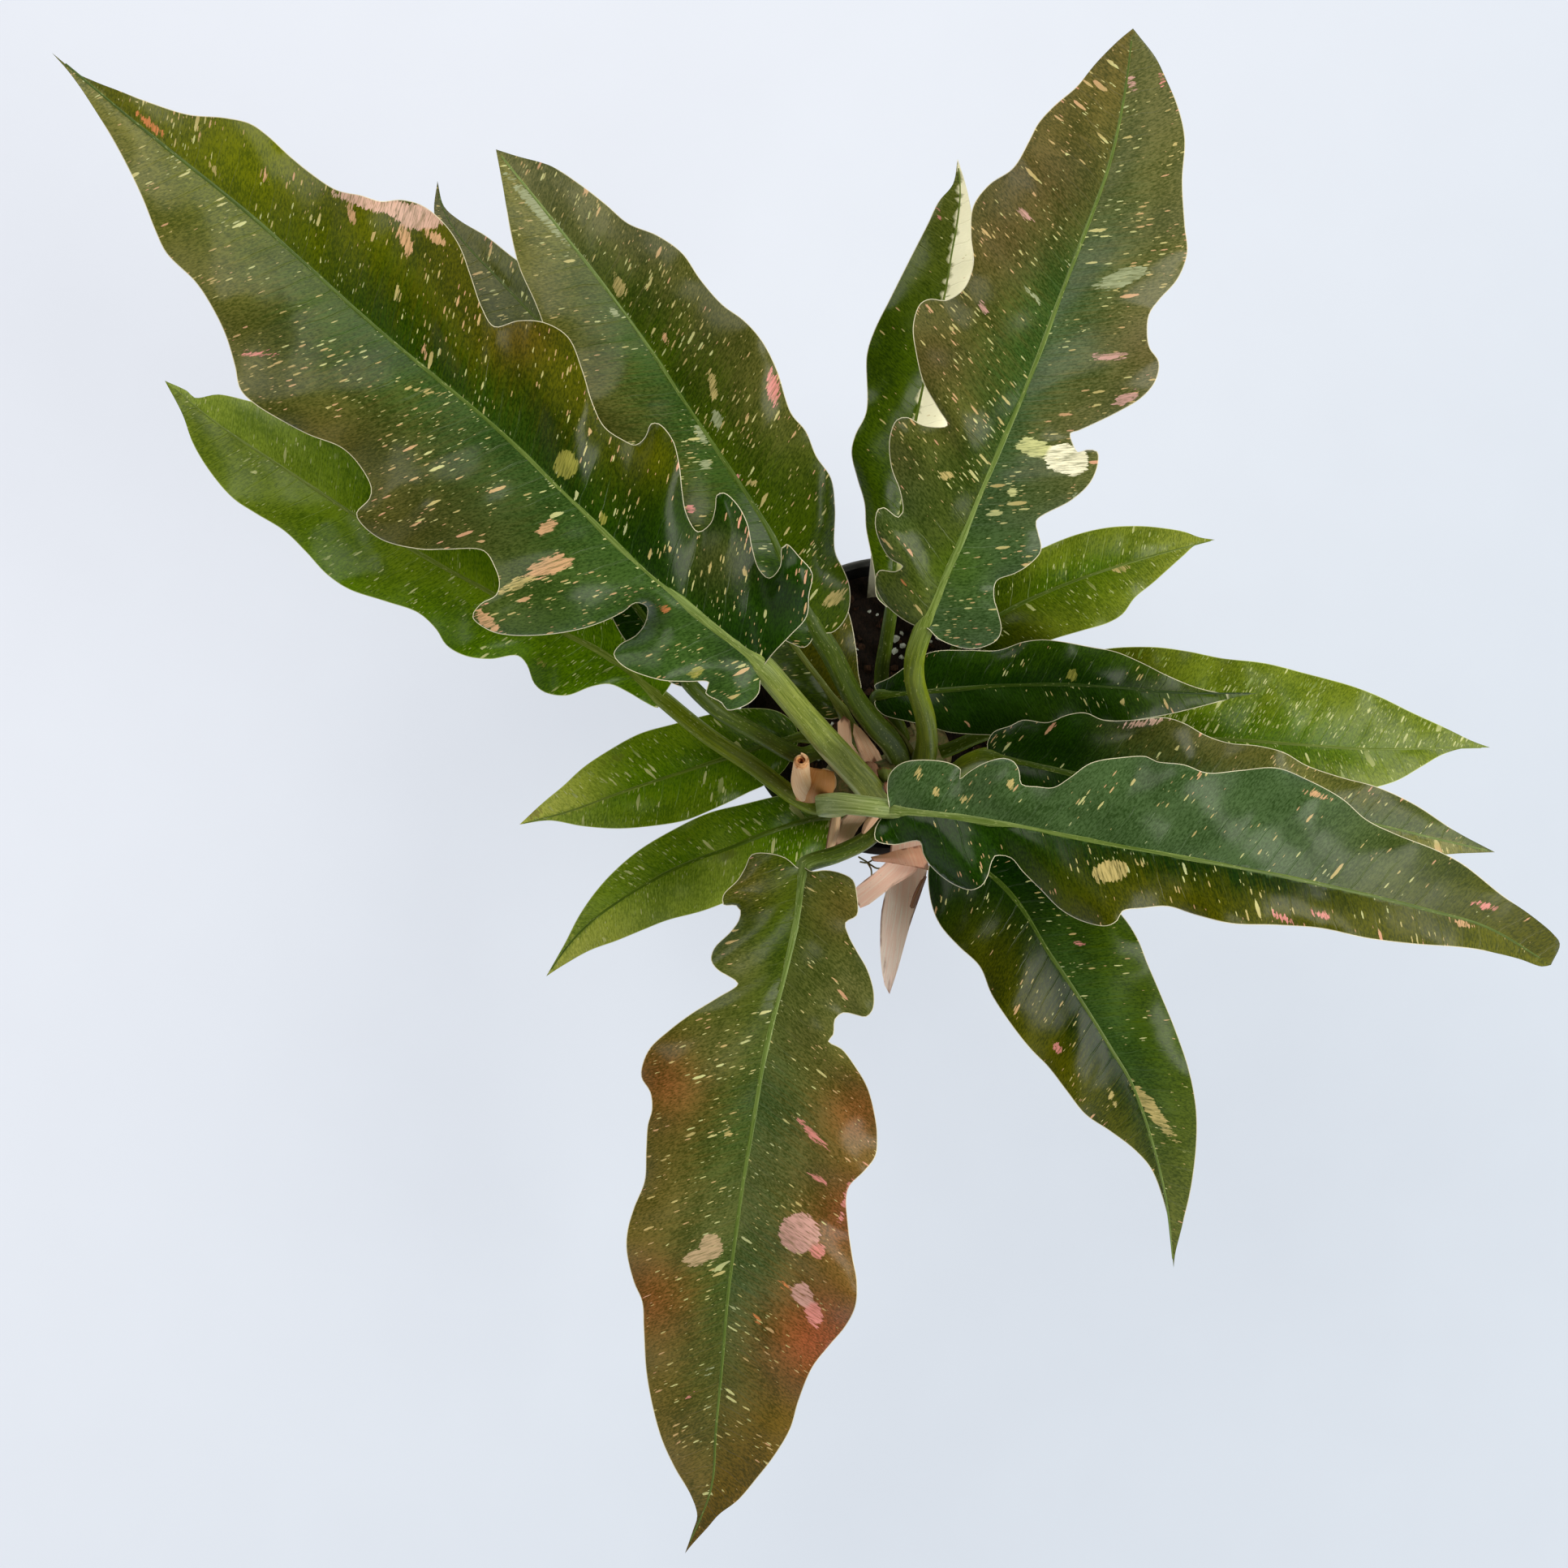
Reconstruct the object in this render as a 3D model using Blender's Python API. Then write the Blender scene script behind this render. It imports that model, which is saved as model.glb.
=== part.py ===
"""A ring of fire philodendron in its round nursery pot.

Metres, +Z up. The origin is the middle of the pot's underside. Seen from above, +X runs to the
right and +Y away from the viewer.

Each leaf is one piece: petiole, midrib and blade. Its outline is laid out on the plan as the
viewer sees it from VIEW_HEIGHT, in plan points of (right, down), and every point is then lifted
along its line of sight to its own height, so that a blade keeps its outline while it arches,
folds and ripples.
"""

import math

import bmesh
import bpy
import numpy as np
from mathutils import Vector
from mathutils.geometry import delaunay_2d_cdt

# Pot and soil
POT_RIM_RADIUS = 0.075
POT_BASE_RADIUS = 0.053
POT_HEIGHT = 0.135
POT_WALL = 0.0018
POT_FLOOR = 0.0025
POT_FOOT_CHAMFER = 0.0015
POT_SIDES = 48
RIM_BAND_HEIGHT = 0.014
RIM_LIP = 0.0022
RIM_EDGE = 0.0008
DRAIN_HOLES = 6
DRAIN_RADIUS = 0.0055
DRAIN_RING_RADIUS = 0.036
DRAIN_SIDES = 12
DRILL_REACH = 0.004
SOIL_TOP = 0.118
SOIL_BUMP = 0.0018
SOIL_RINGS = (0.012, 0.024, 0.036, 0.048, 0.060)
SOIL_SIDES = 32
GAP = 0.0003

# Viewer of the plan
VIEW_HEIGHT = 1.086
VIEW_X = -0.0534
VIEW_Y = -0.0391
PLAN_MIDDLE = 966.0
PLAN_FOCAL = 2332.0

# Blades: thickness, the keel under the midrib (its depth in petiole widths and its half width), the
# spacing of points on the plan, and how far the points inside keep off the margin and the midrib
BLADE_THICKNESS = 0.0009
KEEL_SHARE = 0.55
KEEL_SPREAD = 0.005
NECK_SHARE = 0.02
BLADE_GRID = 36.0
MARGIN_CLEAR = 0.42
MIDRIB_CLEAR = 0.45

# The halves of a blade climb from the midrib, less so by the tip, and roll down at the margin. The
# margin's waves lean forward as the side veins do, fade at the tip, and differ between the halves
TIP_FLATTENING = 0.55
ROLL_GAIN = 2.0
RIB_LEAN = 0.7
RIPPLE_FADE = 2.5
RIPPLE_OFFSET = 1.7

# Petioles: depth over width, how deep the end lies under the neck and inside the midrib, in widths, and
# how the end narrows inside the midrib
PETIOLE_SIDES = 8
PETIOLE_STEP = 0.016
PETIOLE_DEPTH = 0.86
NECK_SINK = 0.22
END_SINK = 0.30
END_TAPER = (0.75, 0.45)

# Stem: centre line and radius from the soil to the growing tip
STEM_LINE = [(0.020, -0.012, 0.090), (0.017, -0.026, 0.132), (-0.003, -0.040, 0.160), (-0.030, -0.037, 0.184)]
STEM_RADII = [0.0135, 0.0140, 0.0125, 0.0095]
STEM_SIDES = 16
STEM_STEPS = 14
STEM_RING_DEPTH = 0.0005
STEM_RINGS = 7

# Plant label
LABEL_WIDTH = 0.013
LABEL_THICKNESS = 0.0009
LABEL_FOOT = (-0.0045, 0.0440, 0.080)
LABEL_TOP = (-0.0045, 0.0845, 0.200)
LABEL_CORNER = 0.003


def leaf(name, petiole, widths, midrib, heights, left, right, rise=(0.28, 0.28), roll=0.30,
         ripple=(0.0, 0.06, 0.0), lifts=(), colour="dark_leaf"):
    """One leaf. PETIOLE holds (right, down, height) from the stem to the neck, and WIDTHS its width
    at the stem and the neck. MIDRIB, LEFT and RIGHT are plan points from the neck to the tip, and
    HEIGHTS are the midrib's at the neck, halfway and at the tip. RISE is how steeply each half climbs
    from the midrib, ROLL how much its margin turns down again. RIPPLE is (height, length, phase) of the
    margin's waves. Each of LIFTS is (right, down, reach, height), a place that stands up or hangs."""
    return dict(name=name, petiole=petiole, widths=widths, midrib=midrib, heights=heights, left=left,
                right=right, rise=rise, roll=roll, ripple=ripple, lifts=lifts, colour=colour)


LEAVES = [
    leaf("leaf_01_largest_upper_left",
         petiole=[(1094, 970, 0.160), (1083, 982, 0.180), (1054, 952, 0.216), (1020, 915, 0.247),
                  (975, 863, 0.285), (940, 824, 0.302)],
         widths=(0.013, 0.0105),
         midrib=[(940, 822), (883, 775), (798, 706), (714, 626), (615, 530), (500, 434), (446, 388),
                 (312, 268), (179, 161), (64, 65)],
         heights=(0.303, 0.332, 0.285),
         left=[(937, 838), (935, 854), (921, 868), (896, 875), (889, 866), (869, 854), (873, 841),
               (848, 840), (814, 838), (768, 821), (756, 806), (764, 794), (783, 783), (795, 767),
               (797, 748), (783, 743), (768, 754), (730, 771), (684, 781), (630, 783), (603, 777),
               (582, 760), (592, 744), (611, 733), (615, 718), (609, 698), (596, 679), (550, 677),
               (519, 677), (470, 665), (443, 643), (439, 632), (455, 614), (457, 601), (443, 574),
               (421, 552), (381, 536), (350, 520), (314, 498), (296, 480), (289, 450), (277, 411),
               (259, 375), (241, 348), (205, 312), (192, 286), (174, 241), (143, 179), (107, 120),
               (85, 89)],
         right=[(952, 806), (974, 783), (994, 760), (997, 733), (1001, 706), (986, 687), (969, 670),
                (963, 675), (961, 698), (948, 712), (936, 702), (927, 675), (921, 645), (909, 622),
                (892, 607), (883, 610), (881, 626), (875, 645), (860, 655), (846, 633), (841, 607),
                (837, 572), (829, 542), (812, 522), (802, 522), (795, 538), (783, 548), (768, 542),
                (745, 526), (730, 496), (718, 457), (700, 415), (670, 397), (638, 395), (609, 402),
                (594, 379), (580, 339), (567, 304), (549, 277), (522, 254), (495, 246), (469, 248),
                (446, 241), (415, 234), (384, 214), (357, 192), (330, 167), (308, 152), (277, 145),
                (232, 141), (187, 127), (147, 112), (116, 100), (89, 87)],
         rise=(0.22, 0.30), roll=0.34, ripple=(0.0045, 0.058, 0.6),
         lifts=[(985, 715, 45, 0.016), (800, 760, 40, -0.008)]),
    leaf("leaf_02_upper_left",
         petiole=[(1112, 944, 0.152), (1097, 914, 0.180), (1077, 892, 0.200), (1049, 854, 0.225),
                  (1023, 803, 0.246), (1003, 772, 0.257)],
         widths=(0.011, 0.0095),
         midrib=[(1003, 772), (966, 692), (944, 647), (895, 571), (850, 504), (801, 429), (752, 362),
                 (707, 304), (611, 184)],
         heights=(0.258, 0.290, 0.250),
         left=[(1001, 788), (991, 798), (975, 793), (948, 778), (915, 757), (880, 730), (855, 700),
               (825, 668), (795, 630), (765, 590), (735, 545), (707, 497), (685, 447), (667, 393),
               (658, 370), (640, 330), (629, 286), (620, 232)],
         right=[(1013, 779), (1024, 780), (1036, 771), (1046, 752), (1047, 723), (1039, 701),
                (1029, 679), (1029, 625), (1024, 589), (1006, 562), (993, 531), (975, 509), (957, 455),
                (939, 420), (917, 395), (890, 375), (863, 344), (841, 312), (810, 290), (774, 275),
                (747, 252), (716, 228), (680, 205), (636, 192)],
         rise=(0.20, 0.34), roll=0.36, ripple=(0.0030, 0.055, 1.8)),
    leaf("leaf_03_behind_upper_left",
         petiole=[(1090, 950, 0.150), (1062, 916, 0.166), (1045, 890, 0.181), (1036, 874, 0.189)],
         widths=(0.0075, 0.006),
         midrib=[(1036, 873), (978, 795), (900, 690), (800, 560), (700, 436), (618, 348), (565, 290),
                 (544, 252), (539, 223)],
         heights=(0.190, 0.225, 0.200),
         left=[(1034, 884), (1020, 886), (1005, 880), (985, 868), (945, 832), (895, 775), (845, 720),
               (795, 662), (745, 605), (697, 545), (650, 483), (608, 420), (575, 360), (548, 305),
               (535, 262)],
         right=[(1048, 867), (1061, 850), (1058, 830), (1055, 800), (1045, 752), (1015, 690),
                (975, 630), (925, 570), (870, 515), (815, 460), (762, 410), (710, 368), (670, 340),
                (638, 321), (598, 290), (567, 272), (547, 254)],
         rise=(0.25, 0.25), roll=0.30, ripple=(0.0015, 0.070, 0.0)),
    leaf("leaf_04_right",
         petiole=[(1054, 972, 0.170), (1035, 992, 0.192), (1018, 993, 0.222), (1019, 991, 0.252),
                  (1038, 990, 0.268), (1065, 993, 0.274), (1096, 997, 0.274)],
         widths=(0.0090, 0.0088),
         midrib=[(1096, 997), (1237, 1015), (1344, 1036), (1459, 1057), (1610, 1086), (1758, 1121),
                 (1833, 1143), (1911, 1189)],
         heights=(0.274, 0.294, 0.225),
         left=[(1093, 975), (1095, 956), (1106, 943), (1122, 937), (1167, 939), (1184, 948),
               (1183, 959), (1195, 950), (1215, 939), (1237, 934), (1250, 939), (1256, 950),
               (1259, 966), (1278, 969), (1298, 970), (1318, 958), (1344, 940), (1383, 933),
               (1413, 932), (1425, 938), (1459, 942), (1487, 952), (1528, 949), (1573, 946),
               (1610, 960), (1654, 984), (1684, 1010), (1721, 1028), (1769, 1047), (1803, 1065),
               (1851, 1103), (1888, 1129), (1914, 1151), (1922, 1163)],
         right=[(1085, 1009), (1078, 1022), (1078, 1034), (1083, 1038), (1102, 1041), (1133, 1037),
                (1137, 1051), (1144, 1064), (1160, 1080), (1177, 1091), (1196, 1097), (1209, 1092),
                (1217, 1080), (1222, 1062), (1226, 1055), (1245, 1057), (1260, 1074), (1283, 1097),
                (1306, 1120), (1333, 1135), (1364, 1141), (1377, 1134), (1383, 1123), (1409, 1119),
                (1439, 1117), (1472, 1127), (1517, 1138), (1573, 1140), (1628, 1144), (1684, 1156),
                (1740, 1163), (1814, 1169), (1870, 1181), (1900, 1191)],
         rise=(0.32, 0.26), roll=0.40, ripple=(0.0045, 0.052, 2.2)),
    leaf("leaf_05_upper_right",
         petiole=[(1130, 946, 0.142), (1141, 926, 0.176), (1140, 885, 0.217), (1127, 838, 0.252),
                  (1128, 805, 0.275), (1139, 772, 0.290)],
         widths=(0.0105, 0.0085),
         midrib=[(1139, 772), (1187, 660), (1228, 562), (1268, 468), (1308, 361), (1339, 280),
                 (1366, 205), (1384, 125), (1396, 35)],
         heights=(0.290, 0.314, 0.268),
         left=[(1134, 773), (1112, 763), (1087, 740), (1078, 718), (1083, 703), (1103, 704),
               (1112, 698), (1096, 688), (1084, 668), (1078, 645), (1082, 627), (1089, 625),
               (1107, 637), (1112, 631), (1109, 606), (1098, 575), (1096, 540), (1105, 517),
               (1118, 514), (1138, 524), (1167, 524), (1156, 504), (1138, 472), (1129, 437),
               (1125, 401), (1134, 374), (1147, 368), (1165, 370), (1187, 356), (1199, 325),
               (1196, 290), (1199, 254), (1219, 227), (1248, 207), (1268, 173), (1279, 152),
               (1299, 130), (1326, 107), (1352, 76), (1379, 49)],
         right=[(1145, 776), (1156, 787), (1183, 798), (1205, 799), (1228, 789), (1234, 776),
                (1230, 754), (1225, 736), (1228, 716), (1250, 707), (1268, 696), (1283, 678),
                (1279, 655), (1277, 642), (1321, 616), (1344, 594), (1353, 571), (1352, 556),
                (1339, 554), (1328, 557), (1323, 549), (1319, 534), (1328, 531), (1379, 507),
                (1408, 489), (1424, 469), (1428, 446), (1417, 429), (1414, 415), (1416, 388),
                (1428, 370), (1451, 344), (1463, 312), (1460, 277), (1457, 223), (1460, 170),
                (1451, 130), (1437, 98), (1424, 71), (1404, 45)],
         rise=(0.24, 0.30), roll=0.36, ripple=(0.0042, 0.054, 0.3)),
    leaf("leaf_06_downward",
         petiole=[(1085, 985, 0.143), (1084, 1013, 0.157), (1068, 1034, 0.186), (1030, 1053, 0.212),
                  (992, 1066, 0.224)],
         widths=(0.0090, 0.0078),
         midrib=[(990, 1067), (983, 1122), (968, 1195), (945, 1287), (930, 1371), (914, 1467),
                 (896, 1604), (889, 1688), (882, 1760), (876, 1834), (844, 1914)],
         heights=(0.225, 0.222, 0.150),
         left=[(998, 1073), (1018, 1072), (1037, 1076), (1051, 1084), (1056, 1103), (1056, 1128),
               (1042, 1137), (1046, 1153), (1056, 1172), (1069, 1195), (1077, 1225), (1075, 1245),
               (1067, 1253), (1052, 1250), (1039, 1248), (1029, 1256), (1027, 1275), (1021, 1283),
               (1037, 1292), (1054, 1314), (1069, 1340), (1079, 1379), (1081, 1400), (1079, 1424),
               (1066, 1442), (1047, 1461), (1043, 1475), (1045, 1509), (1050, 1546), (1056, 1580),
               (1054, 1610), (1042, 1634), (1022, 1658), (1001, 1685), (984, 1726), (974, 1760),
               (954, 1794), (933, 1821), (910, 1848), (886, 1866), (872, 1882), (852, 1904)],
         right=[(985, 1070), (968, 1057), (945, 1051), (926, 1053), (918, 1069), (909, 1084),
                (891, 1103), (891, 1115), (907, 1116), (912, 1122), (910, 1134), (899, 1149),
                (880, 1168), (876, 1183), (884, 1195), (899, 1204), (909, 1212), (884, 1229),
                (853, 1248), (826, 1268), (801, 1291), (792, 1310), (790, 1327), (801, 1346),
                (803, 1367), (798, 1386), (796, 1417), (794, 1455), (781, 1488), (773, 1516),
                (772, 1542), (781, 1580), (791, 1604), (793, 1637), (796, 1688), (803, 1729),
                (815, 1773), (832, 1810), (852, 1844), (859, 1868), (854, 1885)],
         rise=(0.26, 0.24), roll=0.34, ripple=(0.0042, 0.050, 1.2)),
    leaf("leaf_07_lower_right",
         petiole=[(1112, 962, 0.142), (1132, 992, 0.158), (1152, 1020, 0.176), (1172, 1042, 0.189)],
         widths=(0.0085, 0.0068),
         midrib=[(1172, 1042), (1218, 1076), (1253, 1111), (1291, 1172), (1330, 1230), (1368, 1291),
                 (1395, 1337), (1421, 1413), (1437, 1480), (1446, 1562)],
         heights=(0.190, 0.192, 0.125),
         left=[(1182, 1036), (1205, 1030), (1245, 1034), (1290, 1052), (1335, 1082), (1383, 1128),
               (1402, 1157), (1414, 1187), (1429, 1222), (1448, 1268), (1465, 1318), (1474, 1367),
               (1474, 1413), (1467, 1467), (1456, 1513), (1448, 1545)],
         right=[(1162, 1051), (1149, 1058), (1144, 1069), (1146, 1107), (1157, 1138), (1180, 1165),
                (1207, 1191), (1222, 1226), (1253, 1272), (1272, 1295), (1291, 1314), (1314, 1344),
                (1337, 1373), (1368, 1394), (1398, 1417), (1418, 1440), (1433, 1478), (1442, 1517)],
         rise=(0.34, 0.30), roll=0.30, ripple=(0.0022, 0.060, 0.4)),
    leaf("leaf_08_right_dark",
         petiole=[(1124, 966, 0.136), (1168, 956, 0.160), (1194, 938, 0.194), (1218, 930, 0.214)],
         widths=(0.009, 0.0072),
         midrib=[(1218, 930), (1245, 936), (1325, 954), (1450, 975), (1570, 993), (1690, 1015),
                 (1780, 1036), (1842, 1050)],
         heights=(0.215, 0.226, 0.190),
         left=[(1216, 917), (1224, 902), (1245, 894), (1260, 887), (1291, 890), (1314, 881),
               (1337, 878), (1360, 887), (1398, 887), (1436, 884), (1459, 891), (1486, 906),
               (1513, 915), (1551, 919), (1582, 927), (1610, 943), (1654, 958), (1695, 969),
               (1743, 991), (1795, 1025)],
         right=[(1216, 944), (1232, 965), (1265, 985), (1310, 1000), (1370, 1015), (1440, 1030),
                (1510, 1042), (1580, 1050), (1650, 1058), (1720, 1060), (1792, 1052), (1815, 1051)],
         rise=(0.28, 0.20), roll=0.34, ripple=(0.0028, 0.052, 1.0)),
    leaf("leaf_09_right_behind",
         petiole=[(1130, 935, 0.132), (1165, 925, 0.142), (1205, 908, 0.150), (1240, 898, 0.154)],
         widths=(0.0075, 0.006),
         midrib=[(1240, 898), (1320, 900), (1410, 905), (1510, 911), (1610, 918), (1684, 923),
                 (1770, 922), (1836, 921)],
         heights=(0.155, 0.166, 0.142),
         left=[(1244, 884), (1262, 862), (1300, 825), (1350, 802), (1417, 797), (1461, 802),
               (1506, 811), (1558, 817), (1610, 830), (1665, 845), (1699, 858), (1740, 878),
               (1777, 895), (1814, 913)],
         right=[(1246, 912), (1270, 940), (1320, 970), (1390, 990), (1470, 1000), (1550, 998),
                (1620, 988), (1680, 974), (1721, 962), (1751, 945), (1777, 930), (1803, 922)],
         rise=(0.14, 0.10), roll=0.22, ripple=(0.0012, 0.070, 0.0), colour="fresh_leaf"),
    leaf("leaf_10_right_short",
         petiole=[(1118, 925, 0.136), (1107, 893, 0.152), (1094, 873, 0.166), (1079, 861, 0.178),
                  (1076, 856, 0.182)],
         widths=(0.0075, 0.006),
         midrib=[(1084, 856), (1145, 852), (1230, 845), (1325, 844), (1383, 848), (1459, 854),
                 (1551, 854)],
         heights=(0.185, 0.196, 0.180),
         left=[(1077, 845), (1096, 835), (1145, 804), (1191, 801), (1230, 801), (1260, 791),
               (1283, 788), (1306, 790), (1344, 797), (1375, 803), (1406, 816), (1440, 833),
               (1478, 848), (1516, 855)],
         right=[(1077, 866), (1087, 880), (1119, 889), (1148, 896), (1167, 902), (1199, 905),
                (1222, 906), (1270, 908), (1315, 900), (1357, 888), (1383, 889), (1436, 881),
                (1478, 871), (1528, 858)],
         rise=(0.26, 0.20), roll=0.34, ripple=(0.0015, 0.060, 0.7)),
    leaf("leaf_11_small_right",
         petiole=[(1131, 922, 0.118), (1146, 882, 0.130), (1166, 830, 0.144), (1186, 783, 0.155)],
         widths=(0.0065, 0.005),
         midrib=[(1186, 783), (1264, 741), (1337, 711), (1420, 685), (1497, 665)],
         heights=(0.156, 0.170, 0.155),
         left=[(1184, 770), (1198, 748), (1220, 718), (1250, 693), (1283, 676), (1325, 659),
               (1364, 650), (1402, 648), (1429, 650), (1459, 655), (1478, 662)],
         right=[(1200, 797), (1240, 803), (1275, 795), (1306, 785), (1337, 776), (1364, 768),
                (1383, 757), (1398, 737), (1421, 718), (1440, 701), (1459, 684), (1474, 671)],
         rise=(0.20, 0.18), roll=0.24, ripple=(0.0015, 0.060, 2.0), colour="fresh_leaf"),
    leaf("leaf_12_half_cream",
         petiole=[(1112, 915, 0.125), (1090, 870, 0.142), (1086, 835, 0.160), (1092, 790, 0.190),
                  (1098, 752, 0.208)],
         widths=(0.0080, 0.0062),
         midrib=[(1098, 752), (1103, 690), (1112, 620), (1122, 550), (1134, 490), (1148, 430),
                 (1163, 368), (1172, 316), (1179, 276), (1183, 236), (1180, 196)],
         heights=(0.209, 0.236, 0.236),
         left=[(1090, 746), (1080, 735), (1078, 712), (1074, 687), (1067, 651), (1065, 620),
               (1056, 589), (1049, 557), (1054, 535), (1067, 508), (1068, 437), (1076, 410),
               (1098, 365), (1120, 321), (1143, 276), (1156, 249), (1174, 227)],
         right=[(1108, 748), (1125, 735), (1140, 700), (1152, 650), (1162, 590), (1172, 530),
                (1182, 470), (1192, 410), (1198, 350), (1199, 300), (1197, 262), (1190, 228)],
         rise=(0.50, 0.50), roll=0.30, ripple=(0.0022, 0.060, 1.5)),
    leaf("leaf_13_left",
         petiole=[(1034, 972, 0.176), (1010, 993, 0.180), (985, 985, 0.190), (930, 945, 0.205),
                  (870, 905, 0.212), (817, 862, 0.216)],
         widths=(0.0085, 0.0080),
         midrib=[(815, 860), (751, 810), (693, 779), (604, 730), (515, 681), (430, 630), (359, 583),
                 (269, 523), (203, 469)],
         heights=(0.216, 0.226, 0.200),
         left=[(811, 872), (796, 866), (774, 853), (751, 843), (729, 846), (698, 857), (671, 853),
               (658, 842), (649, 819), (638, 808), (604, 812), (573, 808), (550, 795), (537, 775),
               (515, 755), (475, 741), (430, 726), (403, 708), (376, 679), (350, 654), (314, 632),
               (287, 614), (260, 583), (238, 547), (225, 511)],
         right=[(822, 850), (830, 835), (825, 812), (800, 788), (770, 765), (735, 738), (700, 710),
                (655, 680), (610, 645), (560, 610), (500, 575), (440, 542), (385, 515), (340, 502),
                (307, 494), (269, 486), (240, 490), (231, 482)],
         rise=(0.16, 0.22), roll=0.26, ripple=(0.0030, 0.060, 0.2), colour="fresh_leaf"),
    leaf("leaf_14_left_hidden",
         petiole=[(1050, 952, 0.168), (1030, 932, 0.178), (1010, 925, 0.190), (986, 931, 0.207),
                  (921, 897, 0.240), (880, 872, 0.254), (849, 842, 0.261)],
         widths=(0.0085, 0.0068),
         midrib=[(848, 841), (815, 790), (765, 725), (705, 655), (640, 590), (570, 535), (470, 470)],
         heights=(0.262, 0.270, 0.256),
         left=[(842, 846), (828, 842), (808, 820), (786, 779), (772, 752), (735, 715), (690, 672),
               (640, 625), (590, 580), (540, 535), (500, 500)],
         right=[(856, 833), (866, 815), (860, 785), (838, 750), (800, 705), (755, 650), (705, 600),
                (650, 550), (595, 515), (540, 490), (500, 475)],
         rise=(0.10, 0.06), roll=0.20),
    leaf("leaf_15_lower_left_small",
         petiole=[(1092, 955, 0.150), (1052, 926, 0.146), (1015, 912, 0.152), (987, 907, 0.158)],
         widths=(0.0072, 0.0056),
         midrib=[(985, 908), (950, 916), (901, 932), (839, 952), (770, 975), (700, 1000), (640, 1016)],
         heights=(0.158, 0.176, 0.148),
         left=[(980, 925), (965, 950), (943, 967), (923, 976), (901, 987), (872, 1000), (844, 1011),
               (802, 1018), (760, 1021), (718, 1018), (676, 1011)],
         right=[(979, 892), (957, 876), (915, 873), (875, 880), (830, 892), (788, 904), (746, 927),
                (718, 946), (693, 969), (670, 988)],
         rise=(0.20, 0.20), roll=0.26, ripple=(0.0010, 0.060, 1.0), colour="fresh_leaf"),
    leaf("leaf_16_lower_left",
         petiole=[(1075, 970, 0.152), (1050, 1000, 0.152), (1022, 1004, 0.160)],
         widths=(0.0075, 0.0062),
         midrib=[(1020, 1004), (957, 1022), (901, 1044), (861, 1058), (816, 1078), (760, 1112),
                 (727, 1137), (700, 1165), (673, 1203)],
         heights=(0.161, 0.172, 0.135),
         left=[(1027, 1014), (1030, 1030), (1018, 1045), (990, 1065), (955, 1085), (915, 1103),
               (867, 1122), (822, 1134), (794, 1145), (760, 1159), (727, 1171), (693, 1190)],
         right=[(1015, 987), (990, 976), (957, 981), (915, 991), (872, 1002), (830, 1022), (788, 1047),
                (755, 1075), (732, 1101), (713, 1129), (696, 1162)],
         rise=(0.22, 0.22), roll=0.26, ripple=(0.0014, 0.060, 0.5), colour="fresh_leaf"),
]

# Dried sheaths that once wrapped the leaves: each is a narrow curved strip on the stem
SHEATH_THICKNESS = 0.0008
SHEATH_GRID = 14.0


def strip(name, midrib, heights, left, right, rise=(0.6, 0.6), ripple=(0.0, 0.03, 0.0)):
    """A dried strip, laid out as a blade is, from the stem to its tip."""
    return dict(name=name, midrib=midrib, heights=heights, left=left, right=right, rise=rise, roll=0.0,
                ripple=ripple, lifts=())


SHEATHS = [
    strip("dried_sheath_1_upper", midrib=[(1064, 948), (1046, 915), (1036, 884)],
          heights=(0.170, 0.196, 0.206),
          left=[(1052, 950), (1036, 918), (1031, 896)], right=[(1068, 940), (1056, 912), (1043, 886)]),
    strip("dried_sheath_2_upper", midrib=[(1082, 944), (1068, 918), (1060, 896)],
          heights=(0.170, 0.186, 0.190),
          left=[(1076, 944), (1061, 918), (1056, 900)], right=[(1088, 938), (1078, 918), (1067, 898)]),
    strip("dried_sheath_3_lower", midrib=[(1072, 988), (1052, 1018), (1034, 1046)],
          heights=(0.162, 0.177, 0.182),
          left=[(1080, 992), (1058, 1020), (1042, 1045)], right=[(1064, 990), (1036, 1010), (1020, 1036)]),
    strip("dried_sheath_4_long",
          midrib=[(1118, 985), (1118, 1040), (1116, 1090), (1108, 1150), (1096, 1225)],
          heights=(0.145, 0.158, 0.134),
          left=[(1128, 992), (1136, 1030), (1143, 1062), (1140, 1084), (1121, 1141), (1106, 1195)],
          right=[(1108, 992), (1102, 1040), (1096, 1080), (1086, 1122), (1085, 1180), (1090, 1214)],
          rise=(0.4, 0.4)),
    strip("dried_sheath_5_side", midrib=[(1100, 992), (1114, 1030), (1108, 1062), (1082, 1088),
                                         (1054, 1110)],
          heights=(0.157, 0.184, 0.178),
          left=[(1108, 996), (1138, 1040), (1134, 1068), (1100, 1092), (1060, 1119)],
          right=[(1092, 996), (1098, 1036), (1092, 1062), (1066, 1084), (1050, 1100)], rise=(0.3, 0.3)),
]

# Rolled new leaf in its peach sheath: centre line, and radius at the foot, middle and mouth
SPEAR_LINE = [(-0.030, -0.036, 0.180), (-0.037, -0.037, 0.205), (-0.044, -0.032, 0.235),
              (-0.046, -0.029, 0.258)]
SPEAR_RADII = (0.0058, 0.0050, 0.0034)
SPEAR_SIDES = 12
SPEAR_STEPS = 8
SPEAR_WALL = 0.0011
PIT_DEPTH = 0.012
PIT_FLOOR_WALLS = 3.2
PIT_SIDES = 8

# Wider sheath open round the foot of the spear: radius at its foot and lip, heights, and the turn it covers
COLLAR_RADII = (0.0070, 0.0086)
COLLAR_HEIGHTS = (0.186, 0.222)
COLLAR_TURN = (-2.3, 1.1)
COLLAR_WALL = 0.0008
COLLAR_ROWS = 5
COLLAR_COLUMNS = 9


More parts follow.
